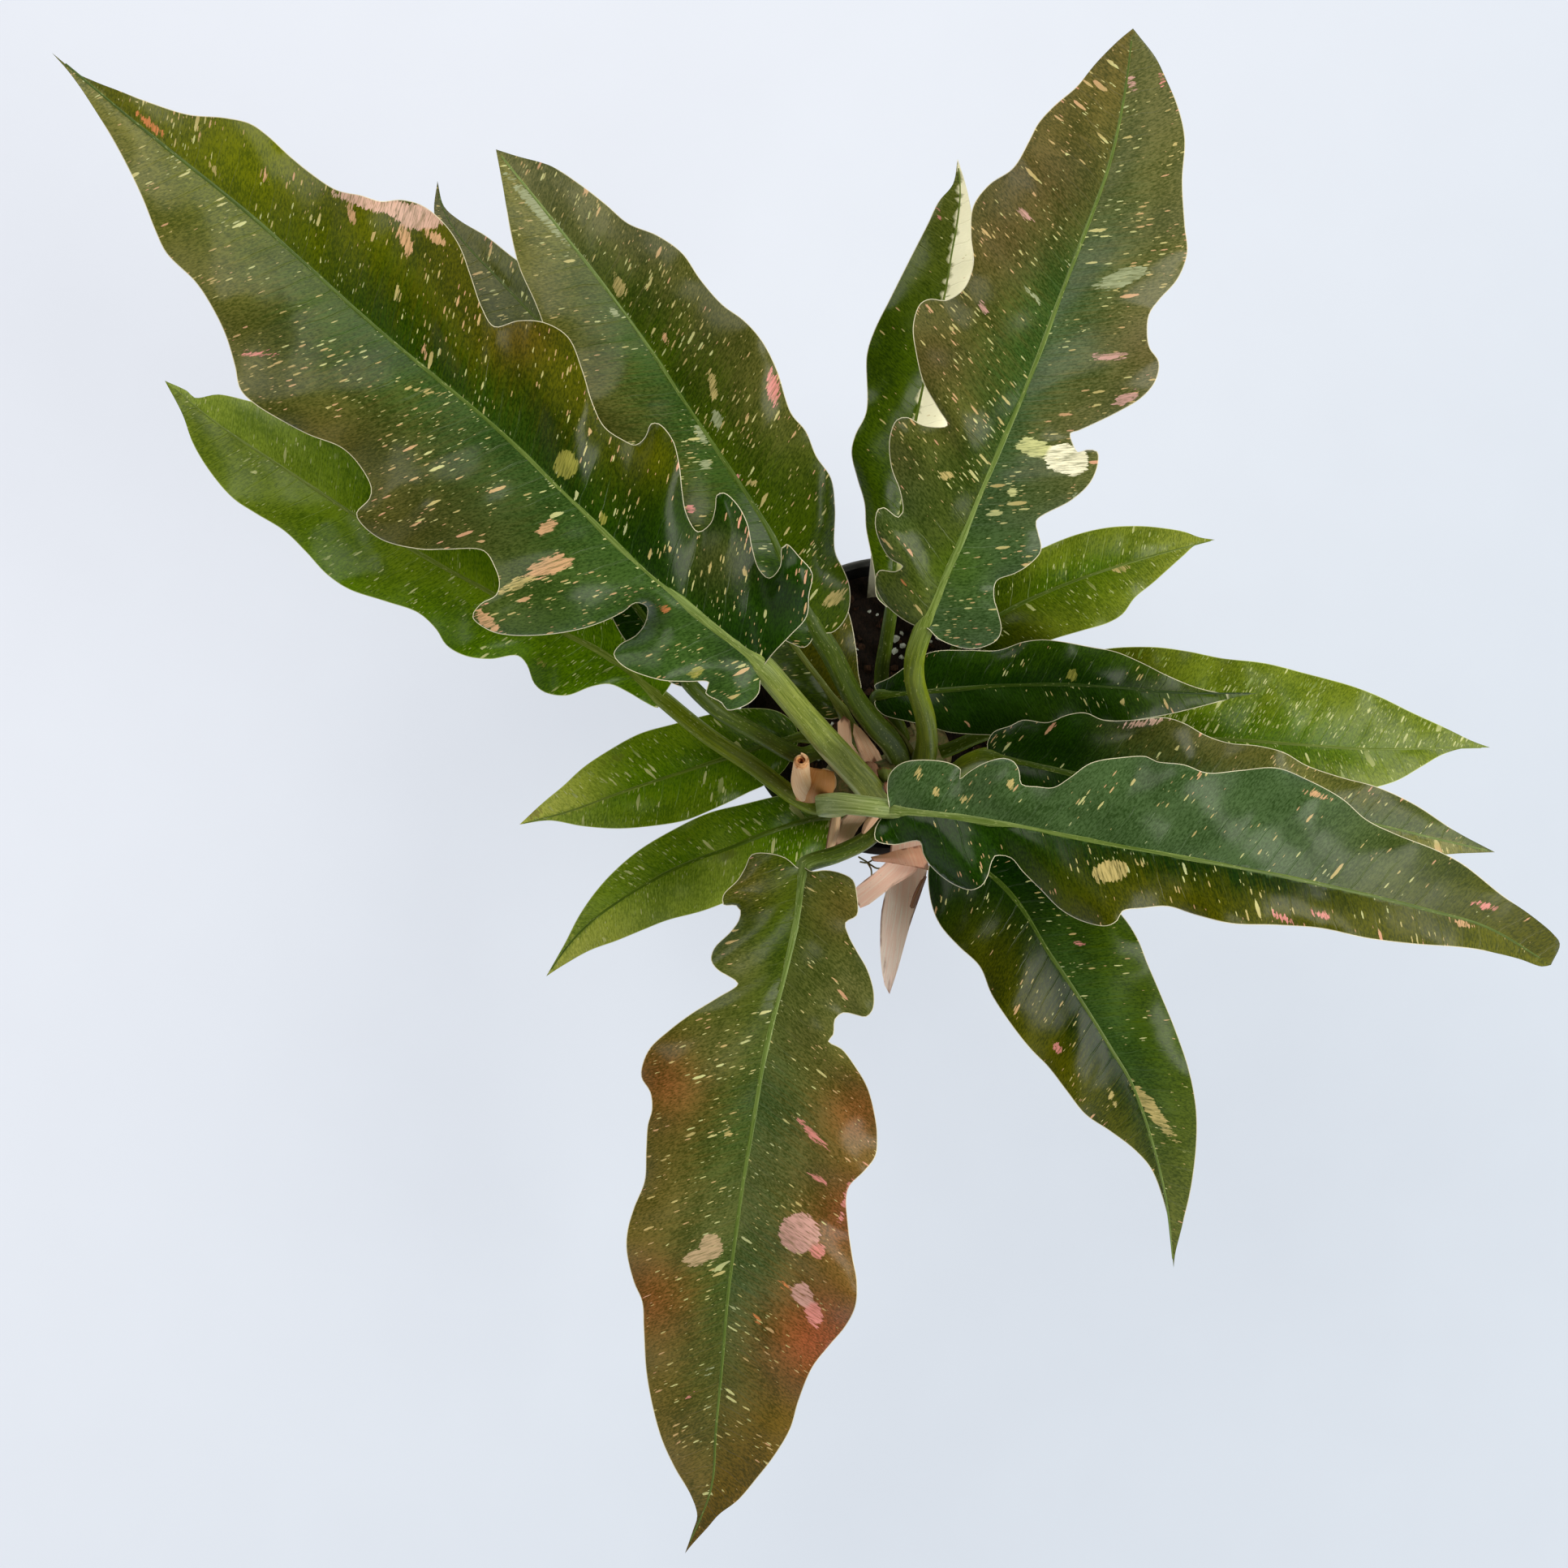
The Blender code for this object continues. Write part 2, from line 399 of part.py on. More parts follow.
def material(name, colour, roughness):
    """A plain Principled material; COLOUR is linear RGB."""
    mat = bpy.data.materials.get(name)
    if mat is None:
        mat = bpy.data.materials.new(name)
        mat.use_nodes = True
        shader = mat.node_tree.nodes["Principled BSDF"]
        shader.inputs["Base Color"].default_value = (*colour, 1.0)
        shader.inputs["Roughness"].default_value = roughness
        shader.inputs["Metallic"].default_value = 0.0
    return mat


FINISHES = {
    "dark_leaf": ((0.055, 0.085, 0.025), 0.35),
    "fresh_leaf": ((0.10, 0.19, 0.025), 0.35),
    "stem": ((0.13, 0.17, 0.06), 0.50),
    "dried_sheath": ((0.62, 0.38, 0.30), 0.60),
    "peach_sheath": ((0.52, 0.30, 0.17), 0.45),
    "soil": ((0.012, 0.007, 0.005), 0.95),
    "pot": ((0.006, 0.007, 0.009), 0.40),
    "label": ((0.80, 0.80, 0.80), 0.45),
}


def add_object(name, verts, faces, finish, smooth_angle=50.0):
    """A mesh object with its faces turned outwards and round parts shaded smooth."""
    mesh = bpy.data.meshes.new(name)
    mesh.from_pydata([tuple(map(float, v)) for v in verts], [], [tuple(map(int, f)) for f in faces])
    body = bmesh.new()
    body.from_mesh(mesh)
    bmesh.ops.recalc_face_normals(body, faces=body.faces)
    body.to_mesh(mesh)
    body.free()
    mesh.shade_smooth()
    mesh.set_sharp_from_angle(angle=math.radians(smooth_angle))
    mesh.materials.append(material(finish, *FINISHES[finish]))
    obj = bpy.data.objects.new(name, mesh)
    bpy.context.scene.collection.objects.link(obj)
    return obj


def as_cutter(obj):
    obj.hide_render = True
    obj.display_type = "WIRE"
    return obj


def boolean(obj, tool, operation):
    """Applies a union with TOOL, or a cut by it, to OBJ."""
    change = obj.modifiers.new(operation.lower(), "BOOLEAN")
    change.operation = operation
    change.object = tool
    change.solver = "EXACT"
    bpy.context.view_layer.update()
    evaluated = obj.evaluated_get(bpy.context.evaluated_depsgraph_get())
    made = bpy.data.meshes.new_from_object(evaluated)
    obj.modifiers.remove(change)
    old = obj.data
    obj.data = made
    bpy.data.meshes.remove(old)


def sight_point(right, down, height):
    """The place at HEIGHT that the viewer sees at this plan point."""
    reach = (VIEW_HEIGHT - height) / PLAN_FOCAL
    return np.stack([VIEW_X + (right - PLAN_MIDDLE) * reach, VIEW_Y + (PLAN_MIDDLE - down) * reach,
                     height + 0.0 * right], -1)


def smooth_line(points, step):
    """Points about STEP apart on a smooth curve through POINTS, which keeps their first and last."""
    p = np.array(points, float)
    p = np.vstack([2 * p[0] - p[1], p, 2 * p[-1] - p[-2]])
    out = [p[1]]
    for a, b, c, d in zip(p, p[1:], p[2:], p[3:]):
        ab, bc, cd = (max(math.sqrt(math.dist(x, y)), 1e-6) for x, y in ((a, b), (b, c), (c, d)))
        leave = ((b - a) / ab - (c - a) / (ab + bc) + (c - b) / bc) * bc
        arrive = ((c - b) / bc - (d - b) / (bc + cd) + (d - c) / cd) * bc
        pieces = max(1, round(math.dist(b, c) / step))
        for i in range(1, pieces + 1):
            t = i / pieces
            out.append((2 * t**3 - 3 * t**2 + 1) * b + (t**3 - 2 * t**2 + t) * leave
                       + (3 * t**2 - 2 * t**3) * c + (t**3 - t**2) * arrive)
    return np.array(out)


def along_and_across(points, line):
    """For each point: how far along LINE its nearest place is, how far off it lies (positive on the
    left of the line as drawn on the plan), going on straight past the line's first point."""
    start, run = line[:-1], np.diff(line, axis=0)
    length = np.hypot(*run.T)
    before = np.concatenate([[0.0], np.cumsum(length)[:-1]])
    off = points[:, None] - start
    share = (off * run).sum(2) / length**2
    low = np.zeros(len(run))
    low[0] = -np.inf
    share = np.clip(share, low, 1.0)
    gap = np.linalg.norm(off - share[..., None] * run, axis=2)
    best = gap.argmin(1)
    row = np.arange(len(points))
    side = run[best, 0] * off[row, best, 1] - run[best, 1] * off[row, best, 0]
    return before[best] + share[row, best] * length[best], gap[row, best] * np.where(side < 0, 1.0, -1.0)


def edge_distance(points, loop):
    """How far each point lies from a closed outline."""
    run = np.roll(loop, -1, axis=0) - loop
    off = points[:, None] - loop
    share = np.clip((off * run).sum(2) / (run**2).sum(1), 0.0, 1.0)
    return np.linalg.norm(off - share[..., None] * run, axis=2).min(1)


def inside(points, loop):
    """Which points lie inside a closed outline."""
    x, y = points[:, :1], points[:, 1:]
    a, b = loop, np.roll(loop, -1, axis=0)
    crosses = (a[:, 1] > y) != (b[:, 1] > y)
    rise = np.where(b[:, 1] == a[:, 1], 1e-9, b[:, 1] - a[:, 1])
    at = a[:, 0] + (y - a[:, 1]) * (b[:, 0] - a[:, 0]) / rise
    return (crosses & (x < at)).sum(1) % 2 == 1


def through_three(heights, share):
    """A smooth height through the values at 0, one half and 1, straight below 0."""
    low, middle, high = heights
    t = np.maximum(share, 0.0)
    curve = low * (1 - t) * (1 - 2 * t) + 4 * middle * t * (1 - t) + high * t * (2 * t - 1)
    return curve + (4 * middle - 3 * low - high) * np.minimum(share, 0.0)


def blade_heights(spec, points, midrib, loop):
    """The height of the blade's upper face at each plan point, and its distance from the midrib in metres."""
    along, across = along_and_across(points, midrib)
    length = np.hypot(*np.diff(midrib, axis=0).T).sum()
    share = along / length
    metre = (VIEW_HEIGHT - spec["heights"][1]) / PLAN_FOCAL
    out = np.abs(across)
    half = out / np.maximum(out + edge_distance(points, loop), 1e-6)
    climb = np.where(across > 0, *spec["rise"]) * (1.0 - TIP_FLATTENING * np.clip(share, 0, 1))
    height = through_three(spec["heights"], share)
    height = height + out * metre * climb * (1.0 - spec["roll"] * ROLL_GAIN * half**2)
    tall, pitch, phase = spec["ripple"]
    rib = (along - RIB_LEAN * out) * metre
    swing = np.sin(2 * math.pi * rib / pitch + phase + np.where(across > 0, 0.0, RIPPLE_OFFSET))
    height = height + tall * half**2 * swing * np.clip(RIPPLE_FADE * (1.0 - share), 0.0, 1.0)
    for right, down, reach, lift in spec["lifts"]:
        away = ((points - (right, down)) ** 2).sum(1) / reach**2
        height = height + lift * half**2 * np.exp(-away)
    return height, out * metre, share


def outline(spec, grid):
    """The blade's midrib, and its closed margin with the number of its points up to the tip."""
    neck, tip = spec["midrib"][0], spec["midrib"][-1]
    left = smooth_line([neck, *spec["left"], tip], grid)
    right = smooth_line([neck, *spec["right"], tip], grid)
    return smooth_line(spec["midrib"], grid), np.vstack([left, right[-2:0:-1]]), len(left)


def even_field(loop, grid):
    """Points GRID apart, in offset rows, inside a closed outline."""
    low, high = loop.min(0), loop.max(0)
    pitch = grid * math.sqrt(0.75)
    rows = [(low[0] + (i % 2) * grid / 2 + j * grid, low[1] + i * pitch)
            for i in range(int((high[1] - low[1]) / pitch) + 1)
            for j in range(int((high[0] - low[0]) / grid) + 1)]
    field = np.array(rows)
    return field[inside(field, loop)]


def blade(spec, thickness, keel, grid, finish):
    """A closed blade: an upper face, a lower one split alike, and the margin between them."""
    midrib, loop, tip_at = outline(spec, grid)
    field = even_field(loop, grid)
    field = field[edge_distance(field, loop) > MARGIN_CLEAR * grid]
    field = field[np.abs(along_and_across(field, midrib)[1]) > MIDRIB_CLEAR * grid]
    count, ribs = len(loop), len(midrib) - 2
    points = np.vstack([loop, midrib[1:-1], field])
    chain = [0, *range(count, count + ribs), tip_at - 1]
    edges = [(i, (i + 1) % count) for i in range(count)] + list(zip(chain, chain[1:]))
    flat, _, faces, *_ = delaunay_2d_cdt([Vector(p) for p in points], edges, [list(range(count))], 1, 1e-4)
    flat = np.array([tuple(p) for p in flat])
    height, out, share = blade_heights(spec, flat, midrib, loop)
    deep = thickness + keel * np.clip(1.0 - share, 0.0, 1.0) * np.exp(-((out / KEEL_SPREAD) ** 2))
    deep = np.where(share < NECK_SHARE, np.minimum(deep, thickness + keel / 2), deep)
    top, under = sight_point(*flat.T, height), sight_point(*flat.T, height - deep)
    used = {(i, j) for face in faces for i, j in zip(face, face[1:] + face[:1])}
    shift = len(flat)
    solid = [tuple(f) for f in faces] + [tuple(i + shift for i in reversed(f)) for f in faces]
    margin = sorted((i, j) for i, j in used if (j, i) not in used)
    solid += [t for i, j in margin for t in ((j, i, i + shift), (j, i + shift, j + shift))]
    return add_object(spec["name"], np.vstack([top, under]), solid, finish)


def tube(name, line, widths, depths, sides, finish, up=(0.0, 0.0, 1.0)):
    """A closed round bar along LINE, with its width across and depth along its own upright at each point,
    and flat ends. The upright starts from UP at the line's last point."""
    line = np.array(line, float)
    ahead = np.gradient(line, axis=0)
    ahead /= np.linalg.norm(ahead, axis=1)[:, None]
    upright = np.zeros_like(line)
    now = np.array(up, float)
    for i in range(len(line) - 1, -1, -1):
        now = now - ahead[i] * (now @ ahead[i])
        now /= np.linalg.norm(now)
        upright[i] = now
    sideways = np.cross(ahead, upright)
    turn = 2 * math.pi * (np.arange(sides) + 0.5) / sides
    rings = [line[i] + np.outer(np.cos(turn), sideways[i]) * widths[i] / 2
             + np.outer(np.sin(turn), upright[i]) * depths[i] / 2 for i in range(len(line))]
    faces = [tuple(range(sides)), tuple(range((len(line) - 1) * sides, len(line) * sides))]
    for i in range(len(line) - 1):
        for j in range(sides):
            k = (j + 1) % sides
            faces.append((i * sides + j, i * sides + k, (i + 1) * sides + k, (i + 1) * sides + j))
    return add_object(name, np.vstack(rings), faces, finish)


def make_leaf(spec, stem_cutter):
    """Blade and petiole joined, with the petiole's foot cut to lie against the stem."""
    foot_width, neck_width = spec["widths"]
    obj = blade(spec, BLADE_THICKNESS, neck_width * KEEL_SHARE, BLADE_GRID, spec["colour"])
    route = sight_point(*np.array(spec["petiole"], float).T)
    midrib, loop, _ = outline(spec, BLADE_GRID)
    entry = smooth_line(spec["midrib"], BLADE_GRID / 2)[1:3]
    inner = sight_point(*entry.T, blade_heights(spec, entry, midrib, loop)[0])
    inner[:, 2] -= neck_width * END_SINK
    route[-1, 2] -= neck_width * NECK_SINK
    line = smooth_line(np.vstack([route, inner]), PETIOLE_STEP)
    share = np.linspace(0.0, 1.0, len(line))
    width = foot_width + (neck_width - foot_width) * share
    width[-2:] *= END_TAPER
    bar = tube(spec["name"] + "_petiole", line, width, width * PETIOLE_DEPTH, PETIOLE_SIDES, spec["colour"])
    boolean(obj, bar, "UNION")
    bpy.data.objects.remove(bar)
    boolean(obj, stem_cutter, "DIFFERENCE")
    return obj


def stem_bar(name, grow):
    """The stem, thicker by GROW all round, with the shallow rings that fallen leaves leave."""
    knots = np.linspace(0.0, 1.0, len(STEM_LINE))
    share = np.linspace(0.0, 1.0, STEM_STEPS + 1)
    line = np.stack([np.interp(share, knots, np.array(STEM_LINE)[:, i]) for i in range(3)], 1)
    line[1:-1] = (line[:-2] + 2 * line[1:-1] + line[2:]) / 4
    radius = np.interp(share, knots, STEM_RADII) + STEM_RING_DEPTH * np.cos(2 * math.pi * STEM_RINGS * share)
    low_end, high_end = line[0] - line[1], line[-1] - line[-2]
    line[0] += low_end / np.linalg.norm(low_end) * grow
    line[-1] += high_end / np.linalg.norm(high_end) * grow
    return tube(name, line, 2 * (radius + grow), 2 * (radius + grow), STEM_SIDES, "stem", up=(1.0, 0.0, 0.0))


def turned(name, profile, sides, finish):
    """A closed body turned about Z from a closed profile of (radius, height)."""
    around = 2 * math.pi * np.arange(sides) / sides
    verts, rows = [], []
    for radius, height in profile:
        if radius == 0.0:
            rows.append([len(verts)] * sides)
            verts.append((0.0, 0.0, height))
        else:
            rows.append(list(range(len(verts), len(verts) + sides)))
            verts.extend((radius * math.cos(a), radius * math.sin(a), height) for a in around)
    faces = []
    for upper, lower in zip(rows, rows[1:] + rows[:1]):
        for j in range(sides):
            k = (j + 1) % sides
            corners = list(dict.fromkeys((upper[j], upper[k], lower[k], lower[j])))
            if len(corners) > 2:
                faces.append(tuple(corners))
    return add_object(name, verts, faces, finish)


def pot_radius(height):
    """The pot's outer radius under its rim band."""
    top = POT_RIM_RADIUS - RIM_LIP
    return POT_BASE_RADIUS + (top - POT_BASE_RADIUS) * height / POT_HEIGHT


def make_pot():
    """The tapered black pot with its rim band and drain holes."""
    band = POT_HEIGHT - RIM_BAND_HEIGHT
    inner_top, inner_low = pot_radius(POT_HEIGHT) - POT_WALL, pot_radius(POT_FLOOR) - POT_WALL
    profile = [(0.0, 0.0), (POT_BASE_RADIUS - POT_FOOT_CHAMFER, 0.0),
               (pot_radius(POT_FOOT_CHAMFER), POT_FOOT_CHAMFER),
               (pot_radius(band), band), (pot_radius(band) + RIM_LIP, band + RIM_EDGE),
               (POT_RIM_RADIUS, POT_HEIGHT - RIM_EDGE), (POT_RIM_RADIUS - RIM_EDGE, POT_HEIGHT),
               (inner_top + RIM_EDGE, POT_HEIGHT), (inner_top, POT_HEIGHT - RIM_EDGE),
               (inner_low, POT_FLOOR), (0.0, POT_FLOOR)]
    pot = turned("pot", profile, POT_SIDES, "pot")
    for i in range(DRAIN_HOLES):
        turn = 2 * math.pi * i / DRAIN_HOLES
        x, y = DRAIN_RING_RADIUS * math.cos(turn), DRAIN_RING_RADIUS * math.sin(turn)
        axis = [(x, y, -DRILL_REACH), (x, y, POT_FLOOR + DRILL_REACH)]
        across = [2 * DRAIN_RADIUS] * 2
        drill = as_cutter(tube("drain_cutter", axis, across, across, DRAIN_SIDES, "pot", up=(1.0, 0.0, 0.0)))
        boolean(pot, drill, "DIFFERENCE")
        bpy.data.objects.remove(drill)
    return pot


def soil_height(x, y):
    """The lumpy top of the potting mix."""
    lumps = math.sin(310 * x + 1.0) * math.cos(270 * y) + 0.6 * math.sin(520 * y + 410 * x)
    return SOIL_TOP + SOIL_BUMP * lumps / 1.6


def make_soil(stem_cutter, label_cutter):
    """Potting mix that fills the pot, with plain holes for the stem and the label."""
    base = POT_FLOOR + GAP
    edge_low = pot_radius(base) - POT_WALL - GAP * 1.5
    edge_top = pot_radius(SOIL_TOP) - POT_WALL - GAP * 1.5
    profile = [(0.0, SOIL_TOP), *((r, SOIL_TOP) for r in SOIL_RINGS), (edge_top, SOIL_TOP), (edge_low, base),
               (0.0, base)]
    soil = turned("soil", profile, SOIL_SIDES, "soil")
    for vertex in soil.data.vertices:
        x, y, z = vertex.co
        if z > SOIL_TOP - 0.001 and math.hypot(x, y) < edge_top - 0.001:
            vertex.co.z = soil_height(x, y)
    boolean(soil, stem_cutter, "DIFFERENCE")
    boolean(soil, label_cutter, "DIFFERENCE")
    return soil


def label_bar(name, grow):
    """The blank plant label: a thin strip with its upper corners cut, leaning outwards."""
    foot, top = np.array(LABEL_FOOT), np.array(LABEL_TOP)
    lean = (top - foot) / np.linalg.norm(top - foot)
    across = np.array((1.0, 0.0, 0.0))
    through = np.cross(across, lean)
    half, back = LABEL_WIDTH / 2 + grow, LABEL_THICKNESS / 2 + grow
    long = np.linalg.norm(top - foot) + grow
    outline = [(-half, 2 * LABEL_CORNER), (0.0, -grow), (half, 2 * LABEL_CORNER), (half, long - LABEL_CORNER),
               (half - LABEL_CORNER, long), (LABEL_CORNER - half, long), (-half, long - LABEL_CORNER)]
    verts = [foot + across * x + lean * y + through * side for side in (-back, back) for x, y in outline]
    n = len(outline)
    faces = [tuple(range(n)), tuple(range(2 * n - 1, n - 1, -1))]
    faces += [(i, i + n, (i + 1) % n + n, (i + 1) % n) for i in range(n)]
    return add_object(name, verts, faces, "label")


def make_spear(stem_cutter):
    """The rolled new leaf in its sheath, open at the top."""
    knots = np.linspace(0.0, 1.0, len(SPEAR_LINE))
    share = np.linspace(0.0, 1.0, SPEAR_STEPS + 1)
    line = np.stack([np.interp(share, knots, np.array(SPEAR_LINE)[:, i]) for i in range(3)], 1)
    width = 2 * np.interp(share, (0.0, 0.5, 1.0), SPEAR_RADII)
    spear = tube("new_leaf_spear", line, width, width, SPEAR_SIDES, "peach_sheath", up=(1.0, 0.0, 0.0))
    top, end = line[-1], (line[-1] - line[-2]) / np.linalg.norm(line[-1] - line[-2])
    axis = [top - end * PIT_DEPTH, top + end * GAP]
    across = width[-1] - np.array((PIT_FLOOR_WALLS, 2.0)) * SPEAR_WALL
    pit = as_cutter(tube("pit_cutter", axis, across, across, PIT_SIDES, "peach_sheath", up=(1.0, 0.0, 0.0)))
    boolean(spear, pit, "DIFFERENCE")
    bpy.data.objects.remove(pit)
    boolean(spear, stem_cutter, "DIFFERENCE")
    return spear


def make_collar(stem_cutter):
    """The wider sheath: part of a flared ring that stands round the spear's foot."""
    line = np.array(SPEAR_LINE)
    levels = np.linspace(*COLLAR_HEIGHTS, COLLAR_ROWS)
    turns = np.linspace(*COLLAR_TURN, COLLAR_COLUMNS)
    verts = []
    for wall in (0.0, COLLAR_WALL):
        for level in levels:
            centre = [np.interp(level, line[:, 2], line[:, k]) for k in (0, 1)]
            radius = np.interp(level, COLLAR_HEIGHTS, COLLAR_RADII) - wall
            verts += [(centre[0] + radius * math.cos(turn), centre[1] + radius * math.sin(turn), level)
                      for turn in turns]
    rows, columns = len(levels), len(turns)
    faces = []
    for i in range(rows - 1):
        for j in range(columns - 1):
            quad = (i * columns + j, i * columns + j + 1, (i + 1) * columns + j + 1, (i + 1) * columns + j)
            faces += [quad, tuple(k + rows * columns for k in reversed(quad))]
    edge = [*range(columns)] + [i * columns + columns - 1 for i in range(1, rows)]
    edge += [(rows - 1) * columns + j for j in range(columns - 2, -1, -1)]
    edge += [i * columns for i in range(rows - 2, 0, -1)]
    for a, b in zip(edge, edge[1:] + edge[:1]):
        faces.append((b, a, a + rows * columns, b + rows * columns))
    collar = add_object("peach_sheath_collar", verts, faces, "peach_sheath")
    boolean(collar, stem_cutter, "DIFFERENCE")
    return collar


def make_sheath(spec, stem_cutter):
    obj = blade(spec, SHEATH_THICKNESS, 0.0, SHEATH_GRID, "dried_sheath")
    boolean(obj, stem_cutter, "DIFFERENCE")
    return obj


def main():
    for old in list(bpy.data.objects):
        bpy.data.objects.remove(old)
    stem_cutter = as_cutter(stem_bar("stem_cutter", GAP))
    label_cutter = as_cutter(label_bar("label_cutter", GAP))
    make_pot()
    make_soil(stem_cutter, label_cutter)
    stem_bar("stem", 0.0)
    label_bar("plant_label", 0.0)
    for spec in LEAVES:
        make_leaf(spec, stem_cutter)
    for spec in SHEATHS:
        make_sheath(spec, stem_cutter)
    make_spear(stem_cutter)
    make_collar(stem_cutter)
    bpy.data.objects.remove(stem_cutter)
    bpy.data.objects.remove(label_cutter)


main()
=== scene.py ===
import math
import random

import bmesh
import bpy
import numpy as np
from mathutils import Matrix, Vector
from mathutils.geometry import delaunay_2d_cdt


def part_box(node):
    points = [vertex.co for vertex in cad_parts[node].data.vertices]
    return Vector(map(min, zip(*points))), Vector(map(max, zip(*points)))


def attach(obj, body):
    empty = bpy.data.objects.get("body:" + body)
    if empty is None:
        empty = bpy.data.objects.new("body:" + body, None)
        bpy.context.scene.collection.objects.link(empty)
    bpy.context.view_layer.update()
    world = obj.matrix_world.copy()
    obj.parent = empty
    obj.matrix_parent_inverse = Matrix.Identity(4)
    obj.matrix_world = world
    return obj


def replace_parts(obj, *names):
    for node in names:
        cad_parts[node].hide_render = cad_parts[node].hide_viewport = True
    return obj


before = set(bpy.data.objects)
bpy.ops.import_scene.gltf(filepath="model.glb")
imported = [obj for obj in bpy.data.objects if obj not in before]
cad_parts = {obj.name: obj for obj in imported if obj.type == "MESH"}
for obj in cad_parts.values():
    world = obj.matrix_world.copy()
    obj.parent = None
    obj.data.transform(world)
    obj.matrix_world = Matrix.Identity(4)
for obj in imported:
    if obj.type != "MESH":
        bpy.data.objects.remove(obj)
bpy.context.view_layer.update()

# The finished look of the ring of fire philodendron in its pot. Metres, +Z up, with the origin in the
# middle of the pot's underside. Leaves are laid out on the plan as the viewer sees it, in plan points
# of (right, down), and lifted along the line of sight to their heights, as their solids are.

# Viewer of the plan
VIEW_HEIGHT = 1.086
VIEW_X = -0.0534
VIEW_Y = -0.0391
PLAN_MIDDLE = 966.0
PLAN_FOCAL = 2332.0
SENSOR = 36.0

# Pot and soil, read from the solids where they give them
POT_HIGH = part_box("pot")[1]
POT_RIM_RADIUS = POT_HIGH[0]
POT_HEIGHT = POT_HIGH[2]
POT_BASE_RADIUS = 0.053
POT_WALL = 0.0018
POT_FLOOR = 0.0025
POT_FOOT_CHAMFER = 0.0015
POT_SIDES = 128
RIM_BAND_HEIGHT = 0.014
RIM_LIP = 0.0022
RIM_EDGE = 0.0008
RIM_DRAFT = 0.0001
DRAIN_HOLES = 6
DRAIN_RADIUS = 0.0055
DRAIN_RING_RADIUS = 0.036
DRAIN_SIDES = 32
DRILL_CLEAR = 0.004
FOOT_RINGS = (0.026, 0.046)
POT_STEPS = (0.030, 0.072)
STEP_DEPTH = 0.0004
SOIL_TOP = 0.118
SOIL_SWELL = 0.0010
SOIL_LUMPS = 0.0005
SOIL_ROWS = 44
SOIL_ROUND = 160
CHIP_COUNT = 240
CHIP_SIZES = (0.003, 0.009)
PERLITE_COUNT = 110
PERLITE_SIZES = (0.0018, 0.0042)
LUMP_POINTS = 14
LUMP_JAG = 0.5
LUMP_REACH = (0.75, 1.0)
CHUNK_WIDTHS = (0.5, 0.9)
CHUNK_HEIGHTS = (0.35, 0.7)
CHUNK_ANGLE = 25.0
STEM_BERTH = 0.020
LABEL_BERTH = (0.012, 0.006)
GAP = 0.0003

# Blades: thickness, spacing of points on the plan, the lean of the side veins, and the pleats,
# waves, lobes and crimps of the surface
BLADE_THICKNESS = 0.0006
BLADE_GRID = 5.5
MARGIN_CLEAR = 0.42
MIDRIB_CLEAR = 0.45
TIP_FLATTENING = 0.55
ROLL_GAIN = 2.0
RIB_LEAN = 0.7
RIPPLE_FADE = 2.5
RIPPLE_OFFSET = 1.7
STREAK_LEAN = 0.5
PLEAT_PITCH = 0.028
PLEAT_HEIGHT = 0.0010
CRIMP_PITCH = 0.021
CRIMP_HEIGHT = 0.0008
EDGE_ROLL = 0.0010
EDGE_REACH = 0.0045
SWELL_HEIGHT = 0.0009
SWELL_PITCH = 0.047
LOBE_HEIGHT = 0.013
LOBE_STEP = 6.0
LOBE_BLUR = 9.0
LOBE_SPAN = 46.0
LOBE_LIMIT = 0.32
LEAF_SHIFT = 1.7
TIP_PLAIN = 0.0016
TIP_START = 0.90
HIGHEST = 0.3394
HIGH_SOFT = 0.0004
BLOCK = 3000

# Petiole and midrib: one bar, its depth over its width, how the width falls along the blade, and how
# far its top stands above the blade
BAR_SIDES = 20
BAR_STEP = 0.004
PETIOLE_DEPTH = 0.86
PETIOLE_GROOVE = 0.13
MIDRIB_SHARES = (0.0, 0.03, 0.10, 0.30, 0.60, 0.85, 1.0)
MIDRIB_WIDTHS = (1.0, 0.86, 0.64, 0.46, 0.30, 0.18, 0.08)
MIDRIB_STAND = (0.0019, 0.0013, 0.0008, 0.0006, 0.0004, 0.00025, 0.0001)
STALK_REACHES = (-1.0, -0.75, -0.1, 0.1, 0.45, 1.0)
MIDRIB_END = 0.985
NECK_SINK = 0.22
DEPTH_GAIN = 0.25
FOOT_BLEND = 0.25
FOOT_SHADE = 0.6

# Stem: centre line and radius from the soil to the growing tip
STEM_LINE = [(0.020, -0.012, 0.090), (0.017, -0.026, 0.132), (-0.003, -0.040, 0.160), (-0.030, -0.037, 0.184)]
STEM_RADII = [0.0135, 0.0140, 0.0125, 0.0095]
STEM_RING_DEPTH = 0.0005
STEM_RINGS = 7
STEM_ROWS = 90
STEM_ROUND = 40
STEM_SMOOTHING = 20
STEM_TIP_ROUND = (0.88, 0.6)

# Plant label
LABEL_WIDTH = 0.013
LABEL_THICKNESS = 0.0009
LABEL_FOOT = (-0.0045, 0.0440, 0.080)
LABEL_TOP = (-0.0045, 0.0845, 0.200)
LABEL_CORNER = 0.003
LABEL_BOW = 0.0004
LABEL_ROWS = 24
LABEL_EASE = 0.28
LABEL_POINT = 0.15


